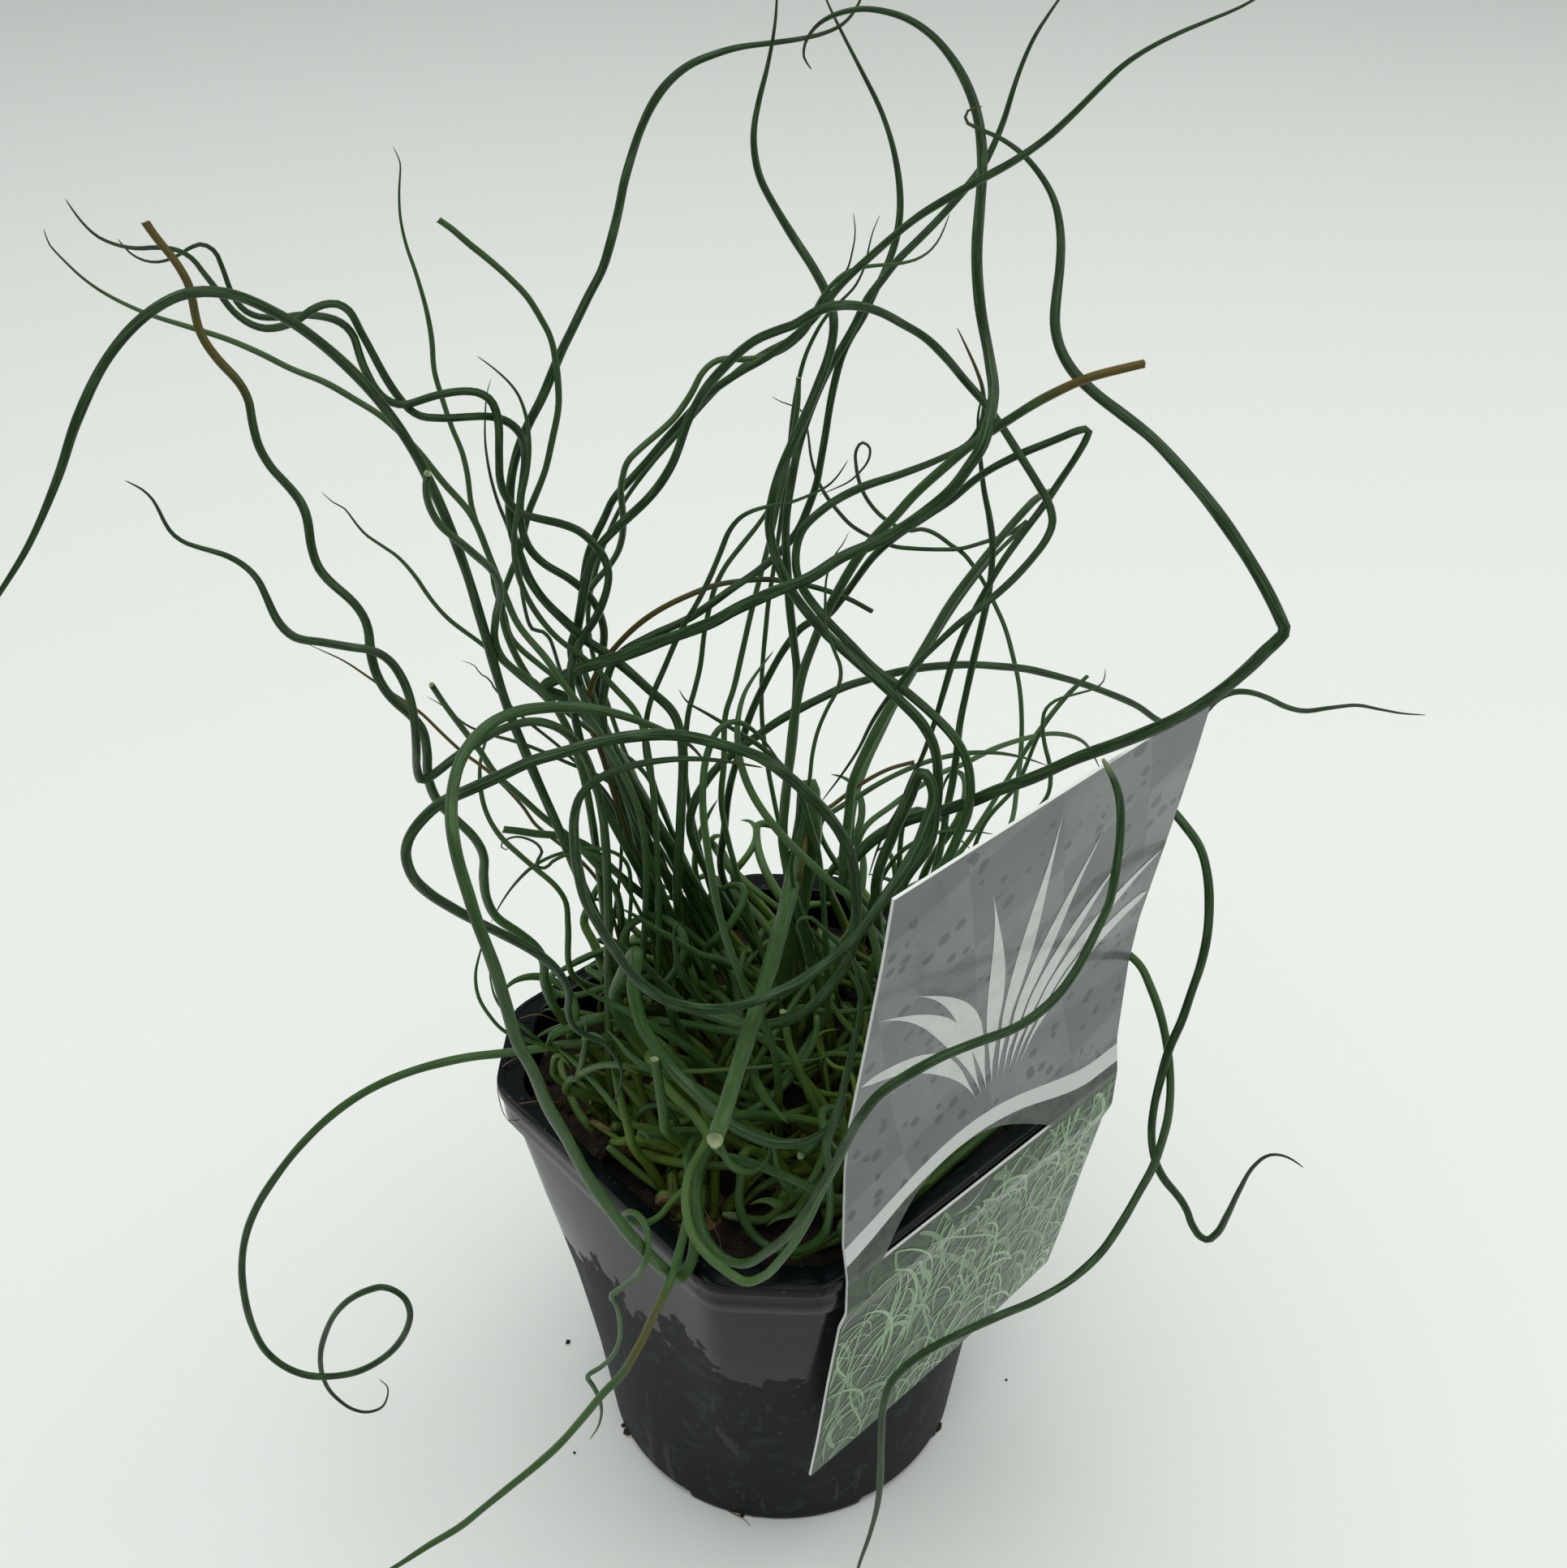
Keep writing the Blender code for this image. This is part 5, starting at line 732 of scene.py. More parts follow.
        [1070,1135, 1052,1108, 1030,1092, 998,1063, 972,1038, 947,1009, 928,980, 915,949, 909,917, 910,882,
         918,853, 934,827, 951,805]),
    "pale_left": (2, 1.5, "fine", (-5, -15, -30),
        [705,1200, 700,1142, 697,1111, 684,1091, 662,1072, 640,1053, 617,1031, 601,1005, 593,977, 592,938,
         601,908, 612,890]),
    "thread_left": (2, 1.1, "fine", (0, 0),
        [770,1060, 735,1045, 697,1050, 678,1056, 655,1069, 633,1091, 617,1114, 606,1135]),
    "ring_left": (2, 1.1, "fine", (5, 5),
        [745,1060, 710,1050, 680,1062, 668,1072, 660,1064, 668,1052, 662,1040, 640,1031, 625,1034,
         617,1041, 619,1048, 627,1046, 628,1038]),
    "tube_left": (4, 1.9, "cut", (-5, 0), [760,1075, 720,1040, 690,1030, 658,1027, 640,1024, 621,1022]),
    "hang_left": (1, 1.1, "fine", (15, 25, 20),
        [700,1300, 660,1285, 624,1272, 603,1251, 590,1229, 586,1201, 592,1172, 598,1150]),
    "cut_thin": (2, 1.5, "cut", (-5, 0, 0),
        [760,1100, 730,1060, 700,1030, 671,1008, 640,980, 611,954, 592,926, 572,900, 550,871, 532,844]),
    "tip_c": (4, 1.1, "fine", (-10, -10),
        [790,1000, 745,960, 700,940, 659,922, 633,913, 607,906, 576,894, 548,871, 529,860]),
    "brown_thread": (2, 1.0, "fine", (-10, -15, -20),
        [745,1100, 715,1060, 690,1040, 659,1015, 646,996, 617,964, 595,945, 569,926, 544,903, 518,878,
         480,852, 455,835, 425,815, 400,803, 380,794]),
    "low_rise": (7, 2.4, "cut", (26, 30, 24),
        [1025,1424, 1015,1389, 998,1351, 982,1312, 972,1285, 965,1247]),
    "low_level": (5, 1.5, "fine", (14, 24, 26, 22),
        [767,1312, 802,1318, 848,1320, 894,1318, 940,1315, 978,1310, 1009,1304, 1027,1298]),
    "curl_right": (7, 1.5, "fine", (25, 20, 18),
        [1048,1322, 1028,1314, 1013,1299, 1007,1282, 1011,1272, 1021,1269, 1032,1268]),
    "near_hook": (7, 1.3, "fine", (25, 28, 30),
        [1050,1180, 1035,1165, 1021,1151, 1009,1139, 996,1130, 986,1132, 982,1143, 988,1162, 994,1189]),
    "creeper_end": (10, 2.9, "blunt", (44, 43), [944,1503, 917,1501, 893,1496]),
    "creeper": (9, 2.9, "cut", (40, 36, 31, 27),
        [867,1488, 828,1472, 805,1460, 782,1442, 759,1422, 750,1413]),
    "creeper_left": (1, 2.6, "blunt", (20, 19, 12, 2, -4),
        [752,1404, 736,1398, 722,1383, 711,1366, 698,1335, 692,1308, 709,1305, 728,1297]),
    "branch_a": (1, 2.0, "cut", (5, 10, 15), [773,1335, 755,1340, 732,1354, 727,1357]),
    "branch_b": (1, 1.8, "fine", (10, 16), [755,1353, 735,1367, 715,1375]),
    "sheathed": (1, 2.4, "cut", (22, 16, 6), [852,1378, 836,1366, 813,1355, 794,1347, 771,1335]),
    "big_diagonal": (10, 2.4, "fine", (26, 24, 22, 24, 26),
        [1019,1427, 1005,1401, 986,1385, 955,1366, 925,1351, 909,1345, 871,1308, 821,1274, 767,1243,
         725,1222, 713,1212]),
    "high_diagonal": (11, 2.3, "fine", (-8, 5, 15),
        [932,1205, 909,1193, 886,1183, 859,1174, 832,1158, 805,1143, 782,1128, 767,1120]),
    "dark_diagonal": (5, 2.4, "fine", (14, 12, 16),
        [886,1289, 875,1274, 855,1251, 825,1220, 794,1189, 767,1166, 740,1148]),
    "pale_hook": (2, 2.2, "blunt", (-4, -4, -6),
        [790,1205, 775,1210, 740,1218, 713,1226, 694,1226, 682,1222, 675,1212, 677,1203, 682,1197]),
    "low_spiral": (1, 1.8, "fine", (24, 30, 32, 34),
        [780,1412, 782,1389, 790,1370, 809,1362, 828,1374, 838,1393, 842,1416, 832,1435, 817,1451,
         805,1457]),
    "low_spiral_b": (1, 1.5, "fine", (26, 30, 32), [778,1412, 794,1410, 809,1416, 825,1428, 832,1439]),
    "right_level": (11, 2.0, "cut", (3, 3, 0), [986,1241, 1009,1245, 1044,1247, 1073,1242]),
    "right_diagonal": (7, 1.8, "fine", (24, 20, 16), [1048,1351, 1025,1349, 1002,1343, 978,1333, 967,1328]),
    "thin_upright": (10, 1.2, "fine", (18, 20, 22), [1017,1370, 1015,1335, 1013,1312, 1019,1297]),
    "bright_arc": (5, 2.4, "fine", (14, 22, 28), [882,1374, 880,1351, 886,1320, 898,1289, 909,1266]),
    "dark_curve": (5, 2.2, "fine", (8, 18, 24, 26),
        [917,1262, 902,1258, 882,1247, 863,1232, 848,1212, 836,1189, 832,1166, 832,1143, 840,1137]),
    "label_wave": (8, 1.3, "fine", (0, -4, -8),
        [1240,1060, 1278,997, 1285,990, 1293,974, 1294,945, 1288,920, 1285,898, 1288,875, 1301,863,
         1326,855, 1352,847, 1361,837, 1362,826]),
    "label_straight": (8, 1.3, "cut", (-6, -12, -20), [1210,1020, 1253,967, 1283,900, 1313,860, 1340,833]),
    "wisp_left": (2, 1.0, "fine", (-5, -10, -14),
        [760,1000, 700,930, 640,880, 607,845, 600,833, 588,828, 583,818, 572,815]),
    "hang_left_b": (1, 1.1, "fine", (14, 22, 20), [690,1300, 650,1270, 614,1236, 605,1211, 603,1194]),
    "small_arc_a": (6, 1.4, "fine", (0, -4, -4), [1110,1050, 1151,1027, 1173,1024, 1199,1024, 1224,1028]),
    "small_arc_b": (6, 1.5, "fine", (-2, -8, -8), [1120,1000, 1151,1003, 1173,1025, 1196,1046]),
}

# The label's distance from the pot's axis at a few heights: close to the wall, clear of the lip,
# and leaning over it above
LABEL_HEIGHTS = [0.050, 0.067, 0.090, 0.113, 0.1190, 0.1315, 0.142, 0.167, 0.182, 0.206, 0.231, 0.249]
LABEL_REACH = [0.0540, 0.0556, 0.0572, 0.0592, 0.0608, 0.0608, 0.0592, 0.0590, 0.0600, 0.0635, 0.0670, 0.0690]
FILLERS_PER_TUFT = 1
FILLER_THICK = 0.0024
FILLER_HEIGHT = (0.016, 0.058)
FILLER_LEAN = (0.008, 0.024)
FILLER_CURL = (0.003, 0.009)
CROWN_SPREAD = 0.0064       # how far from a rhizome's middle its outermost stems leave it
STEP = 0.0025               # between the points of a route

# How the stems are parted
CLEARANCE = 0.0020          # between stems of different tufts, on top of their radii
TOUCH = 0.0002              # the same within a tuft, whose stems may touch
ROOTED = 0.009              # length at the root that never moves aside
RELEASE = 0.015             # length over which a stem then becomes free to move
SIDE_RUN = 16               # points of a stem that keep to one side of a stem of their own tuft
BEND_LENGTH = 0.010         # a push is shared along the stem over about this length
GAIN = 2.2                  # how much of a shared push is taken in each round
SMOOTHING = 0.04            # how much a stem's moves are evened out in each round
ROUNDS = 120
ROOM = 0.0012               # between a stem and the pot or the label
SOIL_ROOM = 0.0007
LONGEST_PUSH = 0.004
NEAR = 0.009                # points nearer than this may push each other


def to_row(points):
    """Turn points from the sight frame into the pot's frame."""
    c, s = math.cos(VIEW_TURN), math.sin(VIEW_TURN)
    return points @ np.array([[c, s, 0], [-s, c, 0], [0, 0, 1]])


def sight_rays(line):
    """The viewer's rays through a line of the drawing, in the sight frame."""
    line = np.array(line, float).reshape(-1, 2)
    ahead = np.array([0, math.cos(SIGHT_PITCH), -math.sin(SIGHT_PITCH)])
    upward = np.array([0, math.sin(SIGHT_PITCH), math.cos(SIGHT_PITCH)])
    rays = ahead * FOCUS + np.outer(line[:, 0] - SIGHT_CENTRE[0], [1.0, 0, 0])
    return rays - np.outer(line[:, 1] - SIGHT_CENTRE[1], upward)


def sight_points(line, toward):
    """Lift a line of the drawing into space, at its distances towards the viewer."""
    rays = sight_rays(line)
    steps = np.linalg.norm(np.diff(np.array(line, float).reshape(-1, 2), axis=0), axis=1)
    along = np.concatenate([[0], np.cumsum(steps)]) / steps.sum()
    depth = np.interp(along, np.linspace(0, 1, len(toward)), np.array(toward) / 1000)
    reach = (-depth - EYE[1]) / rays[:, 1]
    return EYE + rays * reach[:, None]


def smooth_route(points, step=STEP):
    """Even points along a centripetal Catmull-Rom curve through the given ones."""
    ends = [2 * points[0] - points[1]], [2 * points[-1] - points[-2]]
    p = np.concatenate([ends[0], points, ends[1]])
    knots = np.sqrt(np.maximum(np.linalg.norm(np.diff(p, axis=0), axis=1), 1e-6))
    a, b, c = knots[:-2, None, None], knots[1:-1, None, None], knots[2:, None, None]
    p0, p1, p2, p3 = (p[k:len(p) - 3 + k, None, :] for k in range(4))
    slope1 = ((p1 - p0) / a - (p2 - p0) / (a + b) + (p2 - p1) / b) * b
    slope2 = ((p2 - p1) / b - (p3 - p1) / (b + c) + (p3 - p2) / c) * b
    u = np.linspace(0, 1, 12, endpoint=False)[None, :, None]
    curve = ((2 * p1 - 2 * p2 + slope1 + slope2) * u ** 3
             + (3 * p2 - 3 * p1 - 2 * slope1 - slope2) * u ** 2 + slope1 * u + p1)
    curve = np.concatenate([curve.reshape(-1, 3), points[-1:]])
    along = np.concatenate([[0], np.cumsum(np.linalg.norm(np.diff(curve, axis=0), axis=1))])
    stops = np.linspace(0, along[-1], max(4, round(along[-1] / step) + 1))
    return np.stack([np.interp(stops, along, curve[:, k]) for k in range(3)], axis=1)


def root_points(tuft, place, count):
    """Where stem number `place` of a tuft leaves the rhizome, and the point it first rises to."""
    right, toward = TUFTS[tuft]
    turn = place * 2.39996 + tuft
    spread = CROWN_SPREAD * math.sqrt((place + 0.5) / count)
    side = np.array([math.cos(turn), math.sin(turn), 0])
    root = np.array([right, -toward, SOIL_TOP + 0.0005]) + spread * side
    return root, root + 0.8 * spread * side + [0, 0, 0.009]


def filler_route(tuft, number, root, rise):
    """A short curled stem of the crown: a leaning arch with a screw on it, from a seed."""
    draw = np.random.default_rng(1000 * tuft + number)
    right, toward = TUFTS[tuft]
    outward = math.atan2(-toward, right) + draw.uniform(-1.3, 1.3)
    height = draw.uniform(*FILLER_HEIGHT)
    lean = draw.uniform(*FILLER_LEAN)
    curl = draw.uniform(*FILLER_CURL)
    turns = draw.uniform(0.7, 2.0)
    start = draw.uniform(0, 2 * math.pi)
    s = np.linspace(0.12, 1, 16)
    angle = start + turns * 2 * math.pi * s
    swing = curl * np.minimum(1, s * 2)
    path = np.stack([lean * s ** 1.4 * math.cos(outward) + swing * (np.cos(angle) - math.cos(start)),
                     lean * s ** 1.4 * math.sin(outward) + swing * (np.sin(angle) - math.sin(start)),
                     height * np.sin(s * draw.uniform(1.3, 2.4))], axis=1)
    return np.concatenate([[root, rise], rise + path])


def all_routes():
    """Every stem in the pot's frame, as (name, tuft, thickness, tip, points)."""
    routes = []
    for tuft in TUFTS:
        drawn = [(name, stem) for name, stem in STEMS.items() if stem[0] == tuft]
        count = len(drawn) + FILLERS_PER_TUFT
        for place, (name, (_, thick, tip, toward, line)) in enumerate(drawn):
            root, rise = root_points(tuft, place, count)
            points = np.concatenate([[root, rise], sight_points(line, toward)])
            routes.append((name, tuft, thick / 1000, tip, to_row(smooth_route(points))))
        for number in range(FILLERS_PER_TUFT):
            root, rise = root_points(tuft, len(drawn) + number, count)
            points = filler_route(tuft, number, root, rise)
            name = f"curl_{tuft}_{number}"
            routes.append((name, tuft, FILLER_THICK, "fine", to_row(smooth_route(points))))
    return routes


def stem_radii(points, thick, tip):
    """A stem thins slowly from root to tip; a fine tip runs out to a point."""
    s = np.linspace(0, 1, len(points))
    radii = 0.5 * thick * (1.08 - 0.38 * s)
    if tip == "fine":
        radii *= 0.16 + 0.84 * np.clip((1 - s) / 0.16, 0, 1) ** 0.7
    if tip == "blunt":
        radii *= 0.55 + 0.45 * np.clip((1 - s) / 0.03, 0, 1) ** 0.5
    return radii


def square_distance(points, cut):
    """Distance from the pot's axis, measured square to the nearest side or corner flat."""
    x, y = np.abs(points[:, 0]), np.abs(points[:, 1])
    corner = (x + y + cut) / 2
    return np.maximum(np.maximum(x, y), corner)


def label_face(height):
    """The label's distance from the pot's axis at a height: behind the lip above, outside it below."""
    return np.interp(height, LABEL_HEIGHTS, LABEL_REACH)


def beside_label(points, radii):
    """Which points are before or behind the label's sheet, with a small margin round it."""
    margin = radii + 0.0015
    across = (points[:, 0] > LABEL_LEFT - margin) & (points[:, 0] < LABEL_RIGHT + margin)
    return across & (points[:, 2] > LABEL_HEIGHTS[0] - margin) & (points[:, 2] < LABEL_HEIGHTS[-1] + margin)


def obstacle_push(points, radii, rooted, label_side):
    """The way out of the soil, the floor, the pot's wall and the label, for each point."""
    push = np.zeros_like(points)
    reach = square_distance(points, CORNER_CUT)
    height = points[:, 2]
    over_soil = (reach < RIM_HALF - 0.004) & ~rooted
    push[:, 2] += np.where(over_soil, np.maximum(SOIL_TOP + radii + SOIL_ROOM - height, 0), 0)
    push[:, 2] += np.maximum(radii + 0.001 - height, 0)
    sideways = points[:, :2] / np.maximum(np.hypot(points[:, 0], points[:, 1]), 1e-6)[:, None]
    wall = np.interp(height, [0, POT_HEIGHT - 0.012, POT_HEIGHT], [FOOT_RADIUS, RIM_HALF - 0.001, RIM_HALF])
    outward = wall + radii + ROOM - reach
    inward = reach - (wall - LIP_WIDTH - radii - ROOM)
    upward = POT_HEIGHT + radii + ROOM - height
    inside = (outward > 0) & (inward > 0) & (upward > 0) & ~rooted
    least = np.minimum(np.minimum(outward, inward), upward)
    push[:, 2] += np.where(inside & (least == upward), upward, 0)
    shove = np.where(inside & (least == outward), outward, 0)
    shove -= np.where(inside & (least == inward), inward, 0)
    push[:, :2] += sideways * shove[:, None]
    beside = beside_label(points, radii)
    ahead = -points[:, 1] - label_face(height)
    need = radii + LABEL_THICK / 2 + ROOM
    short = np.where(beside & (label_side != 0), need - ahead * label_side, 0)
    push[:, 1] -= np.clip(short, 0, LONGEST_PUSH) * label_side
    return push


def part_stems(routes):
    """Move the routes aside, along the line of sight, until stems have room between them."""
    points = np.concatenate([route[4] for route in routes])
    radii = np.concatenate([stem_radii(route[4], route[2], route[3]) for route in routes])
    stem = np.concatenate([np.full(len(route[4]), k) for k, route in enumerate(routes)])
    order = np.concatenate([np.arange(len(route[4])) for route in routes])
    tuft = np.array([route[1] for route in routes])[stem]
    eye = to_row(EYE[None])[0]
    sight = points - eye
    sight /= np.linalg.norm(sight, axis=1)[:, None]
    along = order * STEP
    free = np.clip((along - ROOTED) / RELEASE, 0, 1)
    rooted = along < ROOTED
    beside = beside_label(points, radii)
    lead = np.where(beside, -points[:, 1] - label_face(points[:, 2]), 0)
    stretch = np.cumsum(np.diff(stem * 2 + beside, prepend=0) != 0)
    label_side = np.sign(np.bincount(stretch, lead))[stretch]
    spread = []
    for k in range(len(routes)):
        gap = np.subtract.outer(order[stem == k], order[stem == k]) * STEP
        kernel = np.exp(-(gap / BEND_LENGTH) ** 2)
        spread.append(kernel / kernel.sum(axis=1, keepdims=True))
    starts = np.searchsorted(stem, np.arange(len(routes) + 1))
    moved = np.zeros_like(points)
    for turn in range(ROUNDS):
        here = points + moved
        if turn % 10 == 0:
            near = close_pairs(here, stem, tuft, along)
        push, hits = pair_push(here, radii, stem, tuft, order, sight, free, near)
        push /= np.maximum(hits, 1)[:, None]
        push += obstacle_push(here, radii, rooted, label_side)
        for k in range(len(routes)):
            rows = slice(starts[k], starts[k + 1])
            moved[rows] += GAIN * (spread[k] @ push[rows]) * free[rows, None]
            moved[rows] += SMOOTHING * (spread[k] @ moved[rows] - moved[rows]) * free[rows, None]
    return [(*route[:4], (points + moved)[starts[k]:starts[k + 1]]) for k, route in enumerate(routes)]


def close_pairs(points, stem, tuft, along):
    """Index pairs of points of different stems that are near each other."""
    firsts, seconds = [], []
    square = (points ** 2).sum(axis=1)
    for start in range(0, len(points), 1000):
        rows = slice(start, start + 1000)
        distance = square[rows, None] + square[None, :] - 2 * points[rows] @ points.T
        i, j = np.nonzero(distance < NEAR ** 2)
        i += start
        same_crown = (tuft[i] == tuft[j]) & ((along[i] < 0.03) | (along[j] < 0.03))
        keep = (i < j) & (stem[i] != stem[j]) & ~same_crown
        firsts.append(i[keep])
        seconds.append(j[keep])
    return np.concatenate(firsts), np.concatenate(seconds)


def pair_push(points, radii, stem, tuft, order, sight, free, near):
    """Half the missing room of each close pair, along the sight line, for both of its points."""
    i, j = near
    line = sight[i] + sight[j]
    line /= np.linalg.norm(line, axis=1)[:, None]
    apart = points[j] - points[i]
    behind = (apart * line).sum(axis=1)
    across = (apart ** 2).sum(axis=1) - behind ** 2
    gap = np.where(tuft[i] == tuft[j], TOUCH, CLEARANCE)
    room = (radii[i] + radii[j] + gap) ** 2 - across
    stretch = np.where(tuft[i] == tuft[j], order[i] // SIDE_RUN, 0)
    _, group = np.unique(stem[i] * 1000000 + stem[j] * 100 + stretch, return_inverse=True)
    sums = np.bincount(group, behind * (room > 0))
    way = np.where(sums >= 0, 1.0, -1.0)[group]
    short = np.where(room > 0, np.sqrt(np.maximum(room, 0)) - behind * way, 0)
    short = np.clip(short, 0, 0.003)
    share = free[i] / np.maximum(free[i] + free[j], 1e-6)
    push = np.zeros_like(points)
    hits = np.zeros(len(points))
    np.add.at(push, i, -line * (way * short * share)[:, None])
    np.add.at(push, j, line * (way * short * (1 - share))[:, None])
    np.add.at(hits, i, short > 0)
    np.add.at(hits, j, short > 0)
    return push, hits


# Dried stretches: stem, middle and half length as shares of the stem, and strength
DRIED = [("cut_left", 0.97, 0.10, 0.75), ("brown_end", 0.98, 0.065, 1.0), ("brown_bow", 0.62, 0.22, 0.8),
         ("front_hanger", 0.41, 0.06, 0.8), ("brown_tip", 1.0, 0.05, 1.0), ("low_brown", 0.75, 0.40, 0.9),
         ("brown_thread", 0.60, 0.60, 0.9)]
# Stems of the brightest green, whose pale tint is partly painted highlight, of the darkest green, and
# young ones that are still yellow
BRIGHT = ("front_hanger corkscrew front_kink bright_arc low_rise front_cut tip_b creeper creeper_end "
          "sheathed creeper_left left_thin needle_left fine_left low_level mid_cut braid_tip low_arch_b "
          "label_wave").split()
DARK = ("left_arch tall_arch off_top slim_up kinked twist_a twist_b big_kink dark_diagonal dark_curve "
        "wavy_left inner_loop right_upright bent_top far_arch big_loop").split()
YOUNG = ("creeper creeper_end creeper_left sheathed front_kink low_rise bright_arc curl_right "
         "low_level").split()
YOUNG_GROWTH = 0.35         # how far a young stem has turned from yellow to blue-green
GROWN_LENGTH = 0.16         # from the root to where a stem has its full colour
# Stems that are fuller than the rest, and by how much
FULLER = {"front_cut": 1.40, "front_swag": 1.25, "front_hanger": 1.30, "cut_thin": 1.30, "tube_left": 1.25,
          "far_arch": 1.12, "pale_left": 1.12, "low_brown": 1.15}
# Stems that lie along the lip behind the label's slot: thickness and way in mm
SLOT_TUFT = 7
BEHIND_SLOT = [(2.6, [(-34, -40, 118), (-12, -50, 124), (12, -51.5, 128.5), (34, -50, 127), (46, -44, 121)]),
               (3.0, [(-20, -36, 118), (4, -47, 121), (26, -49, 125), (44, -46, 132), (52, -42, 142)]),
               (2.2, [(30, -30, 118), (22, -45, 123), (4, -50.5, 127), (-16, -47, 126), (-30, -44, 121)])]
SHOOTS = 9                  # short young stems added to each crown
SHOOT_LENGTH = (0.028, 0.085)
SHOOT_THICK = (0.0018, 0.0030)
SHOOT_LIMIT = 0.0515        # how far from the pot's axis the young stems may reach
TIPS = {"fine": 0.89, "cut": 0.05, "blunt": 0.06}       # how common each tip is among them
SIDES = 10                  # corners round a stem
FINE_STEP = 0.0013          # between its rings
RIBS = 13                   # fine ribs round a stem
BLUNT_PALE = 0.004          # length of the pale end of a blunt stem
RAGGED = 0.30               # how uneven a cut end is, as a share of its radius
YOUNG_GREEN = (0.145, 0.215, 0.020)
# The stem green is lifted to offset shade in the crown, and the upper green is painted shade of the backlit
# upper stems
STEM_GREEN = (0.036, 0.098, 0.019)
PAINTED_SHADE_UPPER_GREEN = (0.013, 0.038, 0.010)
# The bright stems' pale tint is partly their own tone and partly painted highlight
BRIGHT_GREEN_AND_PAINTED_HIGHLIGHT = (0.060, 0.128, 0.036)
DARK_GREEN = (0.010, 0.030, 0.008)
# Pale lengthwise streaks: partly the stem's own streaking, partly painted highlight lines along the ribs
PALE_STREAKS_AND_PAINTED_HIGHLIGHT = (0.066, 0.132, 0.048)
MOTTLE_GREEN = (0.014, 0.036, 0.007)
RUST_BROWN = (0.110, 0.068, 0.010)
PITH_GREEN = (0.270, 0.320, 0.170)


def shoot(root, draw):
    """A young stem: its heading turns over steadily from upright, while the turn's own plane swings round."""
    share = np.linspace(0, 1, 14)
    length = draw.uniform(*SHOOT_LENGTH)
    tilt = draw.uniform(0.2, 0.9) + draw.uniform(0.5, 2.2) * share ** 1.4
    way = draw.uniform(-math.pi, math.pi) + draw.uniform(-3.0, 3.0) * share
    heading = round_points(np.sin(tilt), way, np.cos(tilt))
    path = root + np.cumsum(heading, axis=0) * length / len(share)
    path[:, 2] = np.maximum(path[:, 2], SOIL_TOP + 0.0015)
    out = square_distance(to_row(path), CORNER_CUT)
    path[:, :2] *= (np.minimum(out, SHOOT_LIMIT) / out)[:, None]
    return np.concatenate([[root], path])


def path_frame(points):
    """A path's directions, and two more square to them and to each other, at each of its points.

    The first of the two is carried from point to point, so that what is built round the path never
    twists.
    """
    tangents = np.gradient(points, axis=0)
    tangents /= np.linalg.norm(tangents, axis=1)[:, None]
    sides = np.empty_like(tangents)
    carried = np.cross(tangents[0], [0.31, 0.17, 0.93])
    for k, tangent in enumerate(tangents):
        carried = carried - (carried @ tangent) * tangent
        sides[k] = carried = carried / math.sqrt(carried @ carried)
    return tangents, sides, np.cross(tangents, sides)


def end_rings(tip, radius):
    """Rings beyond the last point: how far on, and the share of the radius, for each kind of tip."""
    if tip == "cut":
        return [(0.0, 1.0), (0.00010, 0.98), (0.00012, 0.88), (-0.00010, 0.60), (-0.00050, 0.25)]
    if tip == "blunt":
        return [(0.35 * radius, 0.93), (0.70 * radius, 0.72), (0.92 * radius, 0.42), (radius, 0.10)]
    return [(0.0004, 0.55), (0.0007, 0.10)]


def circles(points, radii, frame, count):
    """Rings of points: at each stop of a path, the side direction turned about it by even angles."""
    turn = angles(count)[None, :, None]
    ring = np.cos(turn) * frame[1][:, None] + np.sin(turn) * frame[2][:, None]
    return points[:, None] + radii[:, None, None] * ring


def stem_rings(points, thick, tip, wave):
    """A round stem: circles square to the path, whose radius thins to the tip and swells a little by a wave.

    A cut end is ragged: its five rings are moved along by a sum of two sines of the angle. Also given
    are the length at each ring, and a mask of the end's rings.
    """
    points = smooth_route(points, FINE_STEP)
    radii = stem_radii(points, thick, tip)
    length = FINE_STEP * np.arange(len(points))
    radii *= 1 + 0.03 * np.sin(length * 190 + wave) + 0.02 * np.sin(length * 430 + 2 * wave)
    beyond = np.array(end_rings(tip, radii[-1]))
    rows = np.concatenate([np.arange(len(points)), np.full(len(beyond), len(points) - 1)])
    frame = [vectors[rows] for vectors in path_frame(points)]
    further = np.concatenate([np.zeros(len(points)), beyond[:, 0]])
    shares = np.concatenate([np.ones(len(points)), beyond[:, 1]])
    grid = circles(points[rows] + further[:, None] * frame[0], radii[rows] * shares, frame, SIDES)
    if tip == "cut":
        turn = angles(SIDES)
        uneven = RAGGED * radii[-1] * (np.sin(turn + 1.0) + 0.5 * np.sin(3 * turn))
        slide = np.array([0.6, 1.0, 1.0, 0.7, 0.3])[:, None, None] * uneven[None, :, None]
        grid[-5:] += slide * frame[0][-5:, None]
    return grid, length[rows], (shares < 0.99).astype(float)


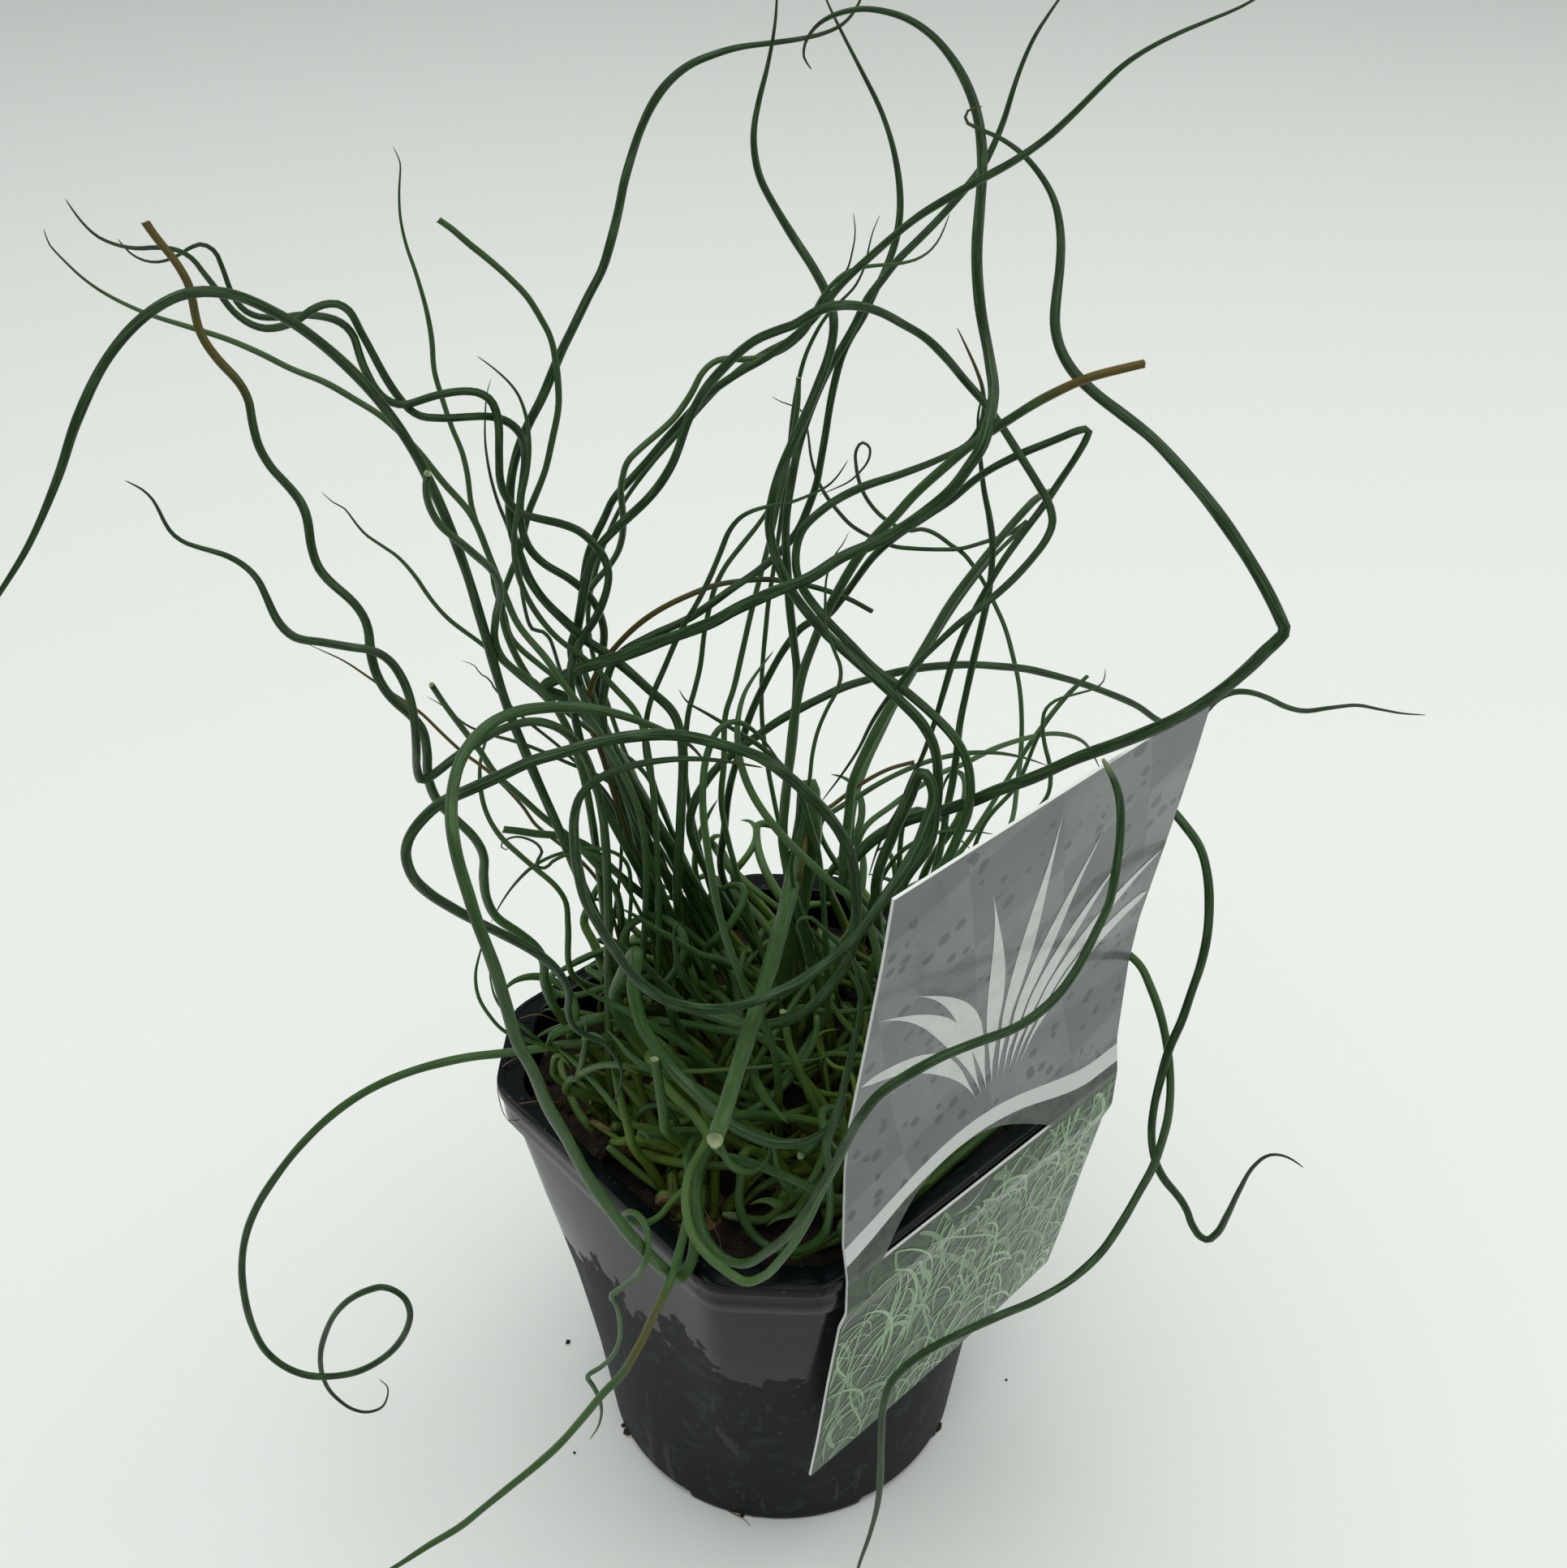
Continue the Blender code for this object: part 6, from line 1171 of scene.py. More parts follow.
def tubes_mesh(name, tubes):
    """One closed mesh from many tubes: each is its grid of rings, the length at each ring, and marks.

    U runs once round each tube, and V is the length along it in centimetres. The marks are values of
    each ring, and become attributes of its points. A pole closes both ends of each tube.
    """
    points, quads, fans, quad_uv, fan_uv = [], [], [], [], []
    marks = {label: [] for label in tubes[0][2]}
    start = 0
    for grid, length, own_marks in tubes:
        rows, columns = grid.shape[:2]
        index = start + np.arange(rows * columns).reshape(rows, columns)
        points.append(with_poles(grid))
        quads.append(grid_quads(index))
        fans += end_fans(index)
        start += rows * columns + 2
        u, v = np.meshgrid(np.arange(columns) / columns, length * 100)
        here, after, below, above = u[1:], u[1:] + 1 / columns, v[:-1], v[1:]
        corners = [(here, below), (after, below), (after, above), (here, above)]
        quad_uv.append(np.stack([np.stack(pair, axis=-1) for pair in corners], axis=2).reshape(-1, 2))
        for v_end in (v[0, 0], v[-1, 0]):
            around_end = np.repeat(u[0], 3) + np.tile([0, 1 / columns, 0.5 / columns], columns)
            fan_uv.append(np.stack([around_end, np.full(3 * columns, v_end)], axis=-1))
        for label, values in own_marks.items():
            marks[label] += [np.repeat(values, columns), values[:1], values[-1:]]
    faces = np.concatenate(quads).tolist() + np.concatenate(fans).tolist()
    mesh = new_mesh(name, np.concatenate(points), faces)
    mesh.uv_layers.new(name="UVMap").uv.foreach_set("vector", np.concatenate(quad_uv + fan_uv).ravel())
    for label, values in marks.items():
        mark(mesh, label, np.concatenate(values))
    return mesh


def mark(mesh, label, values):
    """Give the points of a mesh a number each, under a name that a material can read."""
    mesh.attributes.new(label, "FLOAT", "POINT").data.foreach_set("value", values.astype(np.float32))
    mesh.update()


def marked(tree, label):
    """The socket that gives a mesh's own numbers."""
    return add_node(tree, "ShaderNodeAttribute", attribute_name=label).outputs["Fac"]


def surface_place(tree):
    """The socket that gives the place on the piece's own UV map."""
    return add_node(tree, "ShaderNodeUVMap", uv_map="UVMap").outputs["UV"]


# Rush green: yellow-green at the crown and lifted there against its shade, bluish green above and
# darker higher up as painted shade, with pale streaks that are partly painted highlight, ribbed along the
# stem
rush, tree, spot = new_material("rush_stem_green", STEM_GREEN, 0.32, Specular_IOR_Level=0.19,
                                Coat_Weight=0.04, Coat_Roughness=0.38)
growth_and_shade, tone, brown, pith = (marked(tree, label) for label in ("growth_and_shade", "tone", "brown", "pith"))
unrolled = surface_place(tree)
streaks = noise(tree, stretched(tree, unrolled, (4.5, 0.5, 1.0)), 2.2, 4)
mottle = use_group(tree, blotches, spot, Scale=90, Detail=4, Level=0.52, Softness=0.14)
rust = math_node(tree, "MULTIPLY", brown, math_node(tree, "MULTIPLY_ADD", mottle, 0.35, 0.65))
color = mix_color(tree, ramp(tree, growth_and_shade, 0.03, 0.36), YOUNG_GREEN, STEM_GREEN)
# The darkening towards the upper stems is painted shade
for mask, tint in ((ramp(tree, growth_and_shade, 0.42, 1.0), PAINTED_SHADE_UPPER_GREEN),
                   # The bright tone's paler green is partly painted highlight
                   (ramp(tree, tone, 0.45, 1.0, 0.0, 0.6), BRIGHT_GREEN_AND_PAINTED_HIGHLIGHT),
                   (ramp(tree, tone, 0.0, 0.5, 0.55, 0.0), DARK_GREEN),
                   # Pale streaks along the stem, partly painted highlight lines
                   (ramp(tree, streaks, 0.46, 0.62, 0.0, 0.50), PALE_STREAKS_AND_PAINTED_HIGHLIGHT),
                   (math_node(tree, "MULTIPLY", mottle, 0.25), MOTTLE_GREEN),
                   (rust, RUST_BROWN), (pith, PITH_GREEN)):
    color = mix_color(tree, mask, color, tint)
ribs = math_node(tree, "SINE", math_node(tree, "MULTIPLY", axes(tree, unrolled)["X"], 2 * math.pi * RIBS))
relief = math_node(tree, "ADD", math_node(tree, "MULTIPLY", ribs, 0.32), streaks)
finish(tree, color, ramp(tree, streaks, 0.3, 0.7, 0.24, 0.38), relief, 0.6, 0.0002)

routes = part_stems(all_routes())
for tuft in TUFTS:
    own = [route for route in routes if route[1] == tuft]
    draw = np.random.default_rng(300 + tuft)
    for number in range(SHOOTS):
        root = root_points(tuft, len(own) + number, len(own) + SHOOTS - number)[0]
        tip = list(TIPS)[draw.choice(3, p=list(TIPS.values()))]
        thick = draw.uniform(*SHOOT_THICK)
        own.append(("shoot", tuft, thick, tip, to_row(shoot(root, draw))))
    if tuft == SLOT_TUFT:
        own += [("slot_stem", tuft, thick / 1000, "fine", np.array(way) / 1000) for thick, way in BEHIND_SLOT]
    tubes = []
    for name, _, thick, tip, points in own:
        wave, own_tone = draw.uniform(0, 6), draw.uniform(0.15, 0.85)
        own_tone = 1.0 if name in BRIGHT else 0.0 if name in DARK else own_tone
        grid, length, pale = stem_rings(points, thick * FULLER.get(name, 1.0), tip, wave)
        share = length / length[-1]
        dried = np.zeros(len(share))
        if tip == "fine":
            dried = 0.5 * np.clip((share - 0.97) / 0.03, 0, 1)
            pale = np.zeros(len(share))
        if tip == "blunt":
            pale = np.maximum(pale, 0.7 * np.clip((length - length[-1]) / BLUNT_PALE + 1, 0, 1))
        for stem, middle, half, strength in DRIED:
            if stem == name:
                dried = np.maximum(dried, strength * np.exp(-((share - middle) / half) ** 4))
        # Length from the root drives both the young yellow and the painted shade higher up
        grown_and_shaded = np.clip(length / GROWN_LENGTH, 0, 1) * (YOUNG_GROWTH if name in YOUNG else 1.0)
        tubes.append((grid, length, {"growth_and_shade": grown_and_shaded, "tone": np.full(len(share), own_tone),
                                     "brown": dried, "pith": pale}))
    stems = place(f"rush_tuft_{tuft:02d}", tubes_mesh(f"tuft_{tuft:02d}", tubes), rush, "rush_green")
    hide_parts(f"tuft_{tuft:02d}")


# ---- Crowns, sheaths and root fibres ----
# Each tuft grows from a short rhizome that just breaks the soil, scaly and brown. Papery tan scale
# leaves sheathe the feet of many stems, and a few dead, wiry root fibres lie over soil and lip.

RHIZOME_RISE = 0.0022
RHIZOME_DEPTH = 0.009
KNOB_RADIUS = 0.007254
SHEATH_SHARE = 0.45         # how many stems keep their sheath
SHEATH_THICK = 0.00012
SHEATH_FOOT = 0.001         # how far up its stem a sheath begins
SHEATH_LENGTH = (0.008, 0.020)
SHEATH_SIDES = 14
SHEATH_RINGS = 10
SHEATH_ROOM = 0.00016       # between a stem and its sheath's outside, at the foot
SHEATH_FLARE = 0.00035      # and how much further out its mouth stands
FIBRE_STEP = 0.0008
FIBRE_SIDES = 6
SCALE_BROWN = (0.160, 0.085, 0.035)
FRESH_SCALE = (0.120, 0.130, 0.040)
DRY_SCALE = (0.230, 0.130, 0.058)
SCALE_VEINS = (0.330, 0.230, 0.120)
SCALE_STAINS = (0.070, 0.032, 0.014)

# Fibres: radius in mm, heights above the floor at even stops in mm, and the line in the drawing
FIBRES = [
    (0.22, (124, 126, 125, 122), [842,1426, 832,1440, 828,1458, 829,1480, 840,1497]),
    (0.20, (123, 125, 122), [857,1466, 868,1490, 880,1512, 887,1528, 888,1541]),
    (0.16, (131.5, 132.5, 124, 121), [640,1255, 662,1250, 686,1258, 710,1270, 728,1290]),
    (0.16, (131.6, 131.8, 123, 121), [640,1360, 662,1357, 684,1358, 702,1363, 722,1378]),
    (0.15, (131.5, 131.8, 120, 112, 122, 131.6),
     [645,1300, 622,1312, 613,1336, 617,1362, 630,1384, 650,1392]),
    (0.18, (122, 124, 123), [700,1300, 722,1322, 735,1352, 728,1385]),
    (0.18, (122, 125, 122), [748,1290, 738,1318, 752,1345, 774,1360]),
    (0.16, (122, 126, 122), [905,1398, 930,1420, 962,1428, 985,1412]),
    (0.16, (0.3, 0.9, 0.4, 0.3), [898,1862, 908,1867, 917,1872, 924,1880]),
    (0.13, (0.4, 0.6, 0.3), [908,1867, 920,1866, 931,1870]),
    (0.12, (0.4, 0.8, 0.3), [772,1756, 778,1764, 786,1772]),
]
# Larger bits of bark and a clod of old root, by where they lie in the drawing: across, down, height
# above the floor and half sizes in mm, and turn
BITS = [("root_clod", 737, 1412, 125, (5.6, 3.4, 3.0), 0.6),
        ("bark_piece_a", 905, 1196, 126, (5.0, 3.0, 4.2), 0.3),
        ("bark_piece_b", 1076, 1137, 121, (4.0, 2.6, 2.4), 1.1)]
BIT_LIMIT = 0.0495          # how far from the pot's axis their middles may lie
BIT_TILT = 0.4
BIT_ROUNDNESS = 0.4         # how far a bit is evened out towards a plain ball


def on_levels(line, heights):
    """Where sight lines through a drawn line meet level planes, whose heights go evenly along it."""
    rays = sight_rays(line)
    level = np.interp(np.linspace(0, 1, len(rays)), np.linspace(0, 1, len(heights)), np.array(heights) / 1000)
    return to_row(EYE + rays * ((level - EYE[2]) / rays[:, 2])[:, None])


def rhizome(tuft):
    """A low scaly knob: rings that rise, round over and close, each scale row a little proud of the next."""
    right, toward = TUFTS[tuft]
    turn = angles(28)
    share = np.linspace(0, 1, 22)[:, None]
    dome = np.clip((share - 0.55) / 0.45, 0, 1)
    scales = 1 + 0.05 * np.abs(np.sin(share * 14 + 2.5 * np.sin(3 * turn + tuft)))
    reach = KNOB_RADIUS * np.sqrt(np.maximum(1 - dome ** 2.2, 0.0004)) * scales
    height = (RHIZOME_DEPTH + RHIZOME_RISE) * share - RHIZOME_DEPTH
    return to_row(np.array([right, -toward, SOIL_TOP])) + round_points(reach, turn, height)


def sheath(points, radii, reach, start):
    """A loose sleeve round a stem's foot, whose mouth is cut aslant: its outer rows, then its inner ones."""
    length = FINE_STEP * np.arange(len(points))
    turn = angles(SHEATH_SIDES)
    mouth = reach * (0.72 + 0.28 * np.cos(turn - start))
    share = np.linspace(0, 1, SHEATH_RINGS)
    share = np.concatenate([share, share[::-1]])[:, None]
    inner = np.repeat([0, 1], SHEATH_RINGS)[:, None]
    stop = SHEATH_FOOT + (mouth - SHEATH_FOOT) * share
    middle, side, up = (np.stack([np.interp(stop, length, values[:, k]) for k in range(3)], axis=-1)
                        for values in (points, *path_frame(points)[1:]))
    width = np.interp(stop, length, radii) + SHEATH_ROOM + SHEATH_FLARE * share ** 2 - SHEATH_THICK * inner
    width += 0.00006 * np.sin(3 * turn + start) * share
    return middle + width[..., None] * (np.cos(turn)[:, None] * side + np.sin(turn)[:, None] * up)


dry_scale, tree, spot = new_material("dry_scale_leaf", SCALE_BROWN, 0.7, Specular_IOR_Level=0.35)
veins = noise(tree, stretched(tree, surface_place(tree), (26.0, 1.2, 1.0)), 1.6, 5)
stains = use_group(tree, blotches, spot, Scale=300, Detail=4, Level=0.5, Softness=0.15)
color = mix_color(tree, marked(tree, "age"), FRESH_SCALE, DRY_SCALE)
color = mix_color(tree, ramp(tree, veins, 0.45, 0.65, 0.0, 0.7), color, SCALE_VEINS)
color = mix_color(tree, math_node(tree, "MULTIPLY", stains, 0.6), color, SCALE_STAINS)
finish(tree, color, math_node(tree, "MULTIPLY_ADD", stains, 0.2, 0.6), veins, 0.7, 0.0003)


def aged_tube(grid, length, age):
    """A tube for a mesh of dry scale leaf: its grid, the length at each ring, and its age as a mark."""
    return grid, np.linspace(0, length, len(grid)), {"age": np.full(len(grid), age)}


knobs = [aged_tube(rhizome(tuft), 0.012, 0.8) for tuft in TUFTS]
place("rhizomes", tubes_mesh("rhizomes", knobs), dry_scale, "peat")

sleeves = []
draw = np.random.default_rng(41)
for name, tuft, thick, tip, points in routes:
    kept, reach, start, age = (draw.uniform(*ends) for ends in ((0, 1), SHEATH_LENGTH, (0, 6), (0, 1)))
    if kept < SHEATH_SHARE:
        fine = smooth_route(points, FINE_STEP)
        sleeves.append(aged_tube(sheath(fine, stem_radii(fine, thick, tip), reach, start), reach, age))
place("leaf_sheaths", tubes_mesh("sheaths", sleeves), dry_scale, "rush_green")

for name, across, down, height, half_sizes, spin in BITS:
    lump = lumpy_ball(len(name), rows=16, columns=22)
    lump += BIT_ROUNDNESS * (lump / np.linalg.norm(lump, axis=-1, keepdims=True) - lump)
    middle = on_levels([across, down], (height,))
    middle[:, :2] *= min(1.0, BIT_LIMIT / square_distance(middle, CORNER_CUT)[0])
    mesh = scatter(name, [lump], middle, [np.array(half_sizes) / 1000], [(spin, BIT_TILT)])
    place(name, mesh, peat if name == "root_clod" else bark_wood, "peat")

wires = []
for radius, heights, line in FIBRES:
    path = smooth_route(on_levels(line, heights), FIBRE_STEP)
    thin = radius / 1000 * (1 - 0.6 * np.linspace(0, 1, len(path)) ** 2)
    grid = circles(path, thin, path_frame(path), FIBRE_SIDES)
    wires.append(aged_tube(grid, FIBRE_STEP * (len(path) - 1), 0.9))
place("root_fibres", tubes_mesh("fibres", wires), dry_scale, "peat")


# ---- The label ----
# A picture label of thin white plastic sheet, printed on its face and die-cut: a curved slot lets the
# pot's lip through, and a crescent slit frees a small tab. It hangs on the lip and leans out above it.
# The print is a plain grasses design: pale blades on slate above, curled strands on green below.

LABEL_FOOT = LABEL_HEIGHTS[0]
LABEL_TOP = LABEL_HEIGHTS[-1]
LABEL_BEND = 0.120          # below this height the label hangs askew
LABEL_SKEW = 0.004
LABEL_CURL = 0.003
LABEL_COLUMNS = 64
LABEL_ROWS = 150
SLOT_START = (-0.025, 0.1295)
SLOT_END = (0.0335, 0.1300)
SLOT_RISE = 0.0164
SLOT_SKEW = 0.85
TAB_START = (-0.001, 0.1249)
TAB_END = (0.011, 0.1288)
TAB_SAG = 0.0030
TAB_SLIT = 0.0008
TAB_MIDDLE = (0.005, 0.1255)
TAB_KEEP = (0.0072, 0.0036)     # half the size of the patch round the tab that stays free of strands
BAND_FOOT = 0.1348          # lower edge of the white band at the label's two edges
BAND_RISE = 0.0114          # how far it rises over the slot
BAND_WIDTH = 0.0054
BAND_MIDDLE = 0.0035
BAND_REACH = 0.046          # half the length of the band's arch
FIELD_TOP = 0.1292          # top of the green field
PRINT_RISE = 0.00003        # how far the lowest printed stroke stands off the sheet
LAYER_RISE = 0.00006        # and how much further the topmost one does
STROKE_STEPS = 40
STRANDS = 300
STRAND_EDGE = 0.0004        # bare margin round the green field
BLADES = 9
BLADES_FOOT = (0.0120, 0.1570)
BLADE_LENGTH = 0.084
BLADE_WIDTH = 0.0026
SLATE_GREY = (0.200, 0.215, 0.215)
SLATE_TILES = ((0.130, 0.141, 0.142), (0.190, 0.203, 0.203))
SLATE_CLOUD = (0.082, 0.092, 0.094)
SLATE_DROPS = (0.030, 0.036, 0.040)
FIELD_GREENS = ((0.003, 0.014, 0.003), (0.018, 0.064, 0.014))
STRIP_GREENS = ((0.022, 0.034, 0.026), (0.060, 0.082, 0.062))
BAND_WHITE = (0.640, 0.660, 0.650)
SHEET_WHITE = (0.70, 0.72, 0.70)
SCUFFED_WHITE = (0.58, 0.59, 0.56)
STRAND_GREENS = ((0.010, 0.056, 0.008), (0.300, 0.470, 0.260))
BLADE_WHITE = (0.660, 0.680, 0.670)
STROKE_WASH = (0.180, 0.240, 0.170)
STROKE_INK = (0.5, 0.55, 0.48)
PRINT_GLOSS = {"Specular_IOR_Level": 0.15, "Coat_Weight": 0.34, "Coat_Roughness": 0.07}


def below_bend(height):
    """How far down its skewed lower part the label is at a height, from 0 to 1."""
    return np.clip((LABEL_BEND - height) / (LABEL_BEND - LABEL_FOOT), 0, 1)


def label_surface(x, height):
    """Depth of the label's middle surface: the side view, plus the lower right corner's bend back."""
    low = below_bend(height)
    share = np.clip((x - LABEL_LEFT + LABEL_SKEW * low) / (LABEL_RIGHT - LABEL_LEFT), 0, 1)
    return LABEL_CURL * low * share ** 2 - label_face(height)


def lens_cutter(start, end, low_rise, high_rise, skew=1.0, steps=40):
    """A prism along Y between two sine arcs that share their ends, to cut the sheet with."""
    share = np.linspace(0, 1, steps, endpoint=False)
    share = np.concatenate([share, 1 - share])
    rise = np.repeat([low_rise, high_rise], steps)
    x = start[0] + (end[0] - start[0]) * share
    z = start[1] + (end[1] - start[1]) * share + rise * np.sin(math.pi * share ** skew)
    near = np.stack([x, np.full(len(x), -RIM_HALF - 0.02), z], axis=1)
    return closed_mesh("lens", np.stack([near, near + [0, 0.04, 0]]), flip=True)


share, low = np.meshgrid(np.linspace(0, 1, LABEL_COLUMNS), np.linspace(LABEL_FOOT, LABEL_TOP, LABEL_ROWS))
across = LABEL_LEFT + (LABEL_RIGHT - LABEL_LEFT) * share - LABEL_SKEW * below_bend(low)
sheet_index = np.arange(share.size).reshape(share.shape)
sheet_mesh = new_mesh("label_sheet", np.stack([across, label_surface(across, low), low], axis=-1),
                      grid_quads(sheet_index, close_around=False).tolist())
label_mesh = carve(sheet_mesh, [lens_cutter(SLOT_START, SLOT_END, 0, SLOT_RISE, SLOT_SKEW),
                                lens_cutter(TAB_START, TAB_END, -TAB_SAG, TAB_SLIT - TAB_SAG)], LABEL_THICK)

# The printed face: slate with large tonal squares and dark drops above, a white band, a dark green
# strip and a mottled green field below
face_print, tree, spot = new_material("printed_label_face", SLATE_GREY, 0.22, **PRINT_GLOSS)
x, _, z = axes(tree, spot)
offset = math_node(tree, "DIVIDE", math_node(tree, "SUBTRACT", x, BAND_MIDDLE), BAND_REACH)
arch = math_node(tree, "SUBTRACT", 1.0, math_node(tree, "MULTIPLY", offset, offset), clamp=True)
arch = math_node(tree, "MULTIPLY", arch, arch)
over_foot = math_node(tree, "SUBTRACT", z, math_node(tree, "MULTIPLY_ADD", arch, BAND_RISE, BAND_FOOT))
tiles = stretched(tree, spot, (38, 0.001, 38), Rotation=(0, math.radians(16), 0))
is_tile = add_node(tree, "ShaderNodeTexChecker", {"Vector": tiles, "Scale": 1.0}).outputs["Fac"]
slate = mix_color(tree, is_tile, *SLATE_TILES[::-1])
cloud = use_group(tree, blotches, spot, Scale=70, Detail=6, Level=0.5, Softness=0.22)
drops = use_group(tree, specks, spot, Scale=260, Size=0.62, Share=0.42)
slate = mix_color(tree, math_node(tree, "MULTIPLY", cloud, 0.55), slate, SLATE_CLOUD)
slate = mix_color(tree, math_node(tree, "MULTIPLY", drops, 0.7), slate, SLATE_DROPS)
leafy = use_group(tree, blotches, spot, Scale=240, Detail=6, Level=0.5, Softness=0.12)
color = mix_color(tree, leafy, *FIELD_GREENS)
strip = mix_color(tree, leafy, *STRIP_GREENS)
for value, edge, above in ((z, FIELD_TOP, strip), (over_foot, 0.0, BAND_WHITE),
                           (over_foot, BAND_WIDTH, slate)):
    color = mix_color(tree, math_node(tree, "GREATER_THAN", value, edge), color, above)
ink = noise(tree, spot, 1600, 2)
finish(tree, color, ramp(tree, ink, 0.3, 0.7, 0.20, 0.28), ink, 0.08, 0.0001)

white_sheet, tree, spot = new_material("white_label_sheet", SHEET_WHITE, 0.4)
scuffs = use_group(tree, blotches, spot, Scale=160, Detail=5, Level=0.56, Softness=0.12)
color = mix_color(tree, math_node(tree, "MULTIPLY", scuffs, 0.4), SHEET_WHITE, SCUFFED_WHITE)
finish(tree, color, math_node(tree, "MULTIPLY_ADD", scuffs, 0.15, 0.36))

label = place("plant_label", label_mesh, face_print, "printed_plastic")
label_mesh.materials.append(white_sheet)
normals = np.empty(len(label_mesh.polygons) * 3)
label_mesh.polygons.foreach_get("normal", normals)
label_mesh.polygons.foreach_set("material_index", (normals[1::3] > -0.5).astype(np.int32))
label_mesh.polygons.foreach_set("use_smooth", np.zeros(len(label_mesh.polygons), bool))
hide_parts("label")


def ink_strokes(name, x, z, half_width, shade):
    """Flat printed strokes on the label's face: each centreline is widened to both sides in the sheet.

    The arrays hold one stroke a row. The side direction is the stroke's tangent turned by a quarter.
    """
    dx, dz = np.gradient(x, axis=1), np.gradient(z, axis=1)
    half_width = half_width / np.maximum(np.hypot(dx, dz), 1e-9)
    edge_x, edge_z = (np.stack([middle - side, middle + side], axis=-1)
                      for middle, side in ((x, -dz * half_width), (z, dx * half_width)))
    layer = np.linspace(0, LAYER_RISE, len(x))[:, None, None]
    depth = label_surface(edge_x, edge_z) - LABEL_THICK / 2 - PRINT_RISE * 1.3 - layer
    index = np.arange(edge_x.size).reshape(edge_x.shape)
    faces = np.stack([index[:, :-1, 0], index[:, 1:, 0], index[:, 1:, 1], index[:, :-1, 1]], axis=-1)
    points = np.stack([edge_x, depth, edge_z], axis=-1)
    mesh = new_mesh(name, points, faces.reshape(-1, 4).tolist(), smooth=False)
    mark(mesh, "shade", np.repeat(shade, x.shape[1] * 2))
    return mesh


def run_of(start, steps):
    """Positions along strokes from where they start, given their steps."""
    return start + np.cumsum(steps, axis=1)


ink_film, tree, spot = new_material("printed_strokes", STROKE_INK, 0.24, **PRINT_GLOSS)
shade = marked(tree, "shade")
wash = use_group(tree, blotches, spot, Scale=260, Detail=4, Level=0.5, Softness=0.2)
color = mix_color(tree, ramp(tree, shade, 0.0, 0.9), *STRAND_GREENS)
color = mix_color(tree, math_node(tree, "GREATER_THAN", shade, 0.95), color, BLADE_WHITE)
color = mix_color(tree, math_node(tree, "MULTIPLY", wash, 0.18), color, STROKE_WASH)
finish(tree, color, math_node(tree, "MULTIPLY_ADD", wash, 0.06, 0.20))

# The curled strands: each turns by a steady bend plus a slow swing, and narrows to nothing at the
# edges of the green field. Wide dark ones lie lowest, and fine pale ones on top.
draw = np.random.default_rng(8)
each = (STRANDS, 1)
rank = np.linspace(0, 1, STRANDS)[:, None]
step = np.linspace(0, 1, STROKE_STEPS)[None, :]
reach = draw.uniform(0.022, 0.060, each) * (1.15 - 0.3 * rank) / STROKE_STEPS
heading = draw.uniform(0.4, 2.0, each)
heading = heading + draw.choice([-1, 1], each) * draw.uniform(0.2, 4.5, each) * step ** 1.6
heading = heading + draw.uniform(0.1, 0.4, each) * np.sin(draw.uniform(3, 7, each) * step)
x = run_of(draw.uniform(LABEL_LEFT - 0.016, LABEL_RIGHT, each), np.cos(heading) * reach)
z = run_of(draw.uniform(LABEL_FOOT - 0.020, FIELD_TOP - 0.010, each), np.sin(heading) * reach)
skew = LABEL_SKEW * below_bend(z)
margin = np.minimum(np.minimum(x + skew - LABEL_LEFT, LABEL_RIGHT - x - skew),
                    np.minimum(z - LABEL_FOOT, FIELD_TOP - z))
tab = np.maximum(np.abs(x - TAB_MIDDLE[0]) - TAB_KEEP[0], np.abs(z - TAB_MIDDLE[1]) - TAB_KEEP[1])
width = draw.uniform(0.6, 1.3, each) * (0.00095 - 0.00062 * rank)
width = width * np.sin(math.pi * np.clip(step * 0.96 + 0.02, 0, 1)) ** 0.5
width = width * np.clip((margin - STRAND_EDGE) / 0.0006, 0, 1) * np.clip(tab / 0.0006, 0, 1)
shades = np.clip(0.70 * rank[:, 0] + draw.uniform(-0.25, 0.25, STRANDS), 0, 0.9)
place("printed_strands", ink_strokes("strands", x, z, width, shades), ink_film, "printed_plastic")

# The pale blades: a fan from one foot, each bending over to its own side
fan = np.linspace(-1, 1, BLADES)[:, None]
bow = draw.uniform(0.7, 1.2, (BLADES, 1))
reach = (BLADE_LENGTH - 0.014 * np.abs(fan) + 0.007 * np.cos(7 * fan)) / STROKE_STEPS
heading = math.pi / 2 - fan * (0.45 + 1.35 * bow * step ** 1.5)
x = run_of(BLADES_FOOT[0] + 0.0060 * fan, np.cos(heading) * reach)
z = run_of(BLADES_FOOT[1], np.sin(heading) * reach)
width = BLADE_WIDTH * np.sin(math.pi * np.clip(0.02 + 0.98 * step ** 0.9, 0, 1)) ** 2.2
width = width * np.clip((np.minimum(x - LABEL_LEFT, LABEL_RIGHT - x) - 0.001) / 0.002, 0, 1)
place("printed_blades", ink_strokes("blades", x, z, width, np.ones(BLADES)), ink_film, "printed_plastic")


# ---- Crumbs at the foot ----
# A few crumbs of wet compost that fell out of the drain holes when the pot was set down. They lie
# loose round its foot.

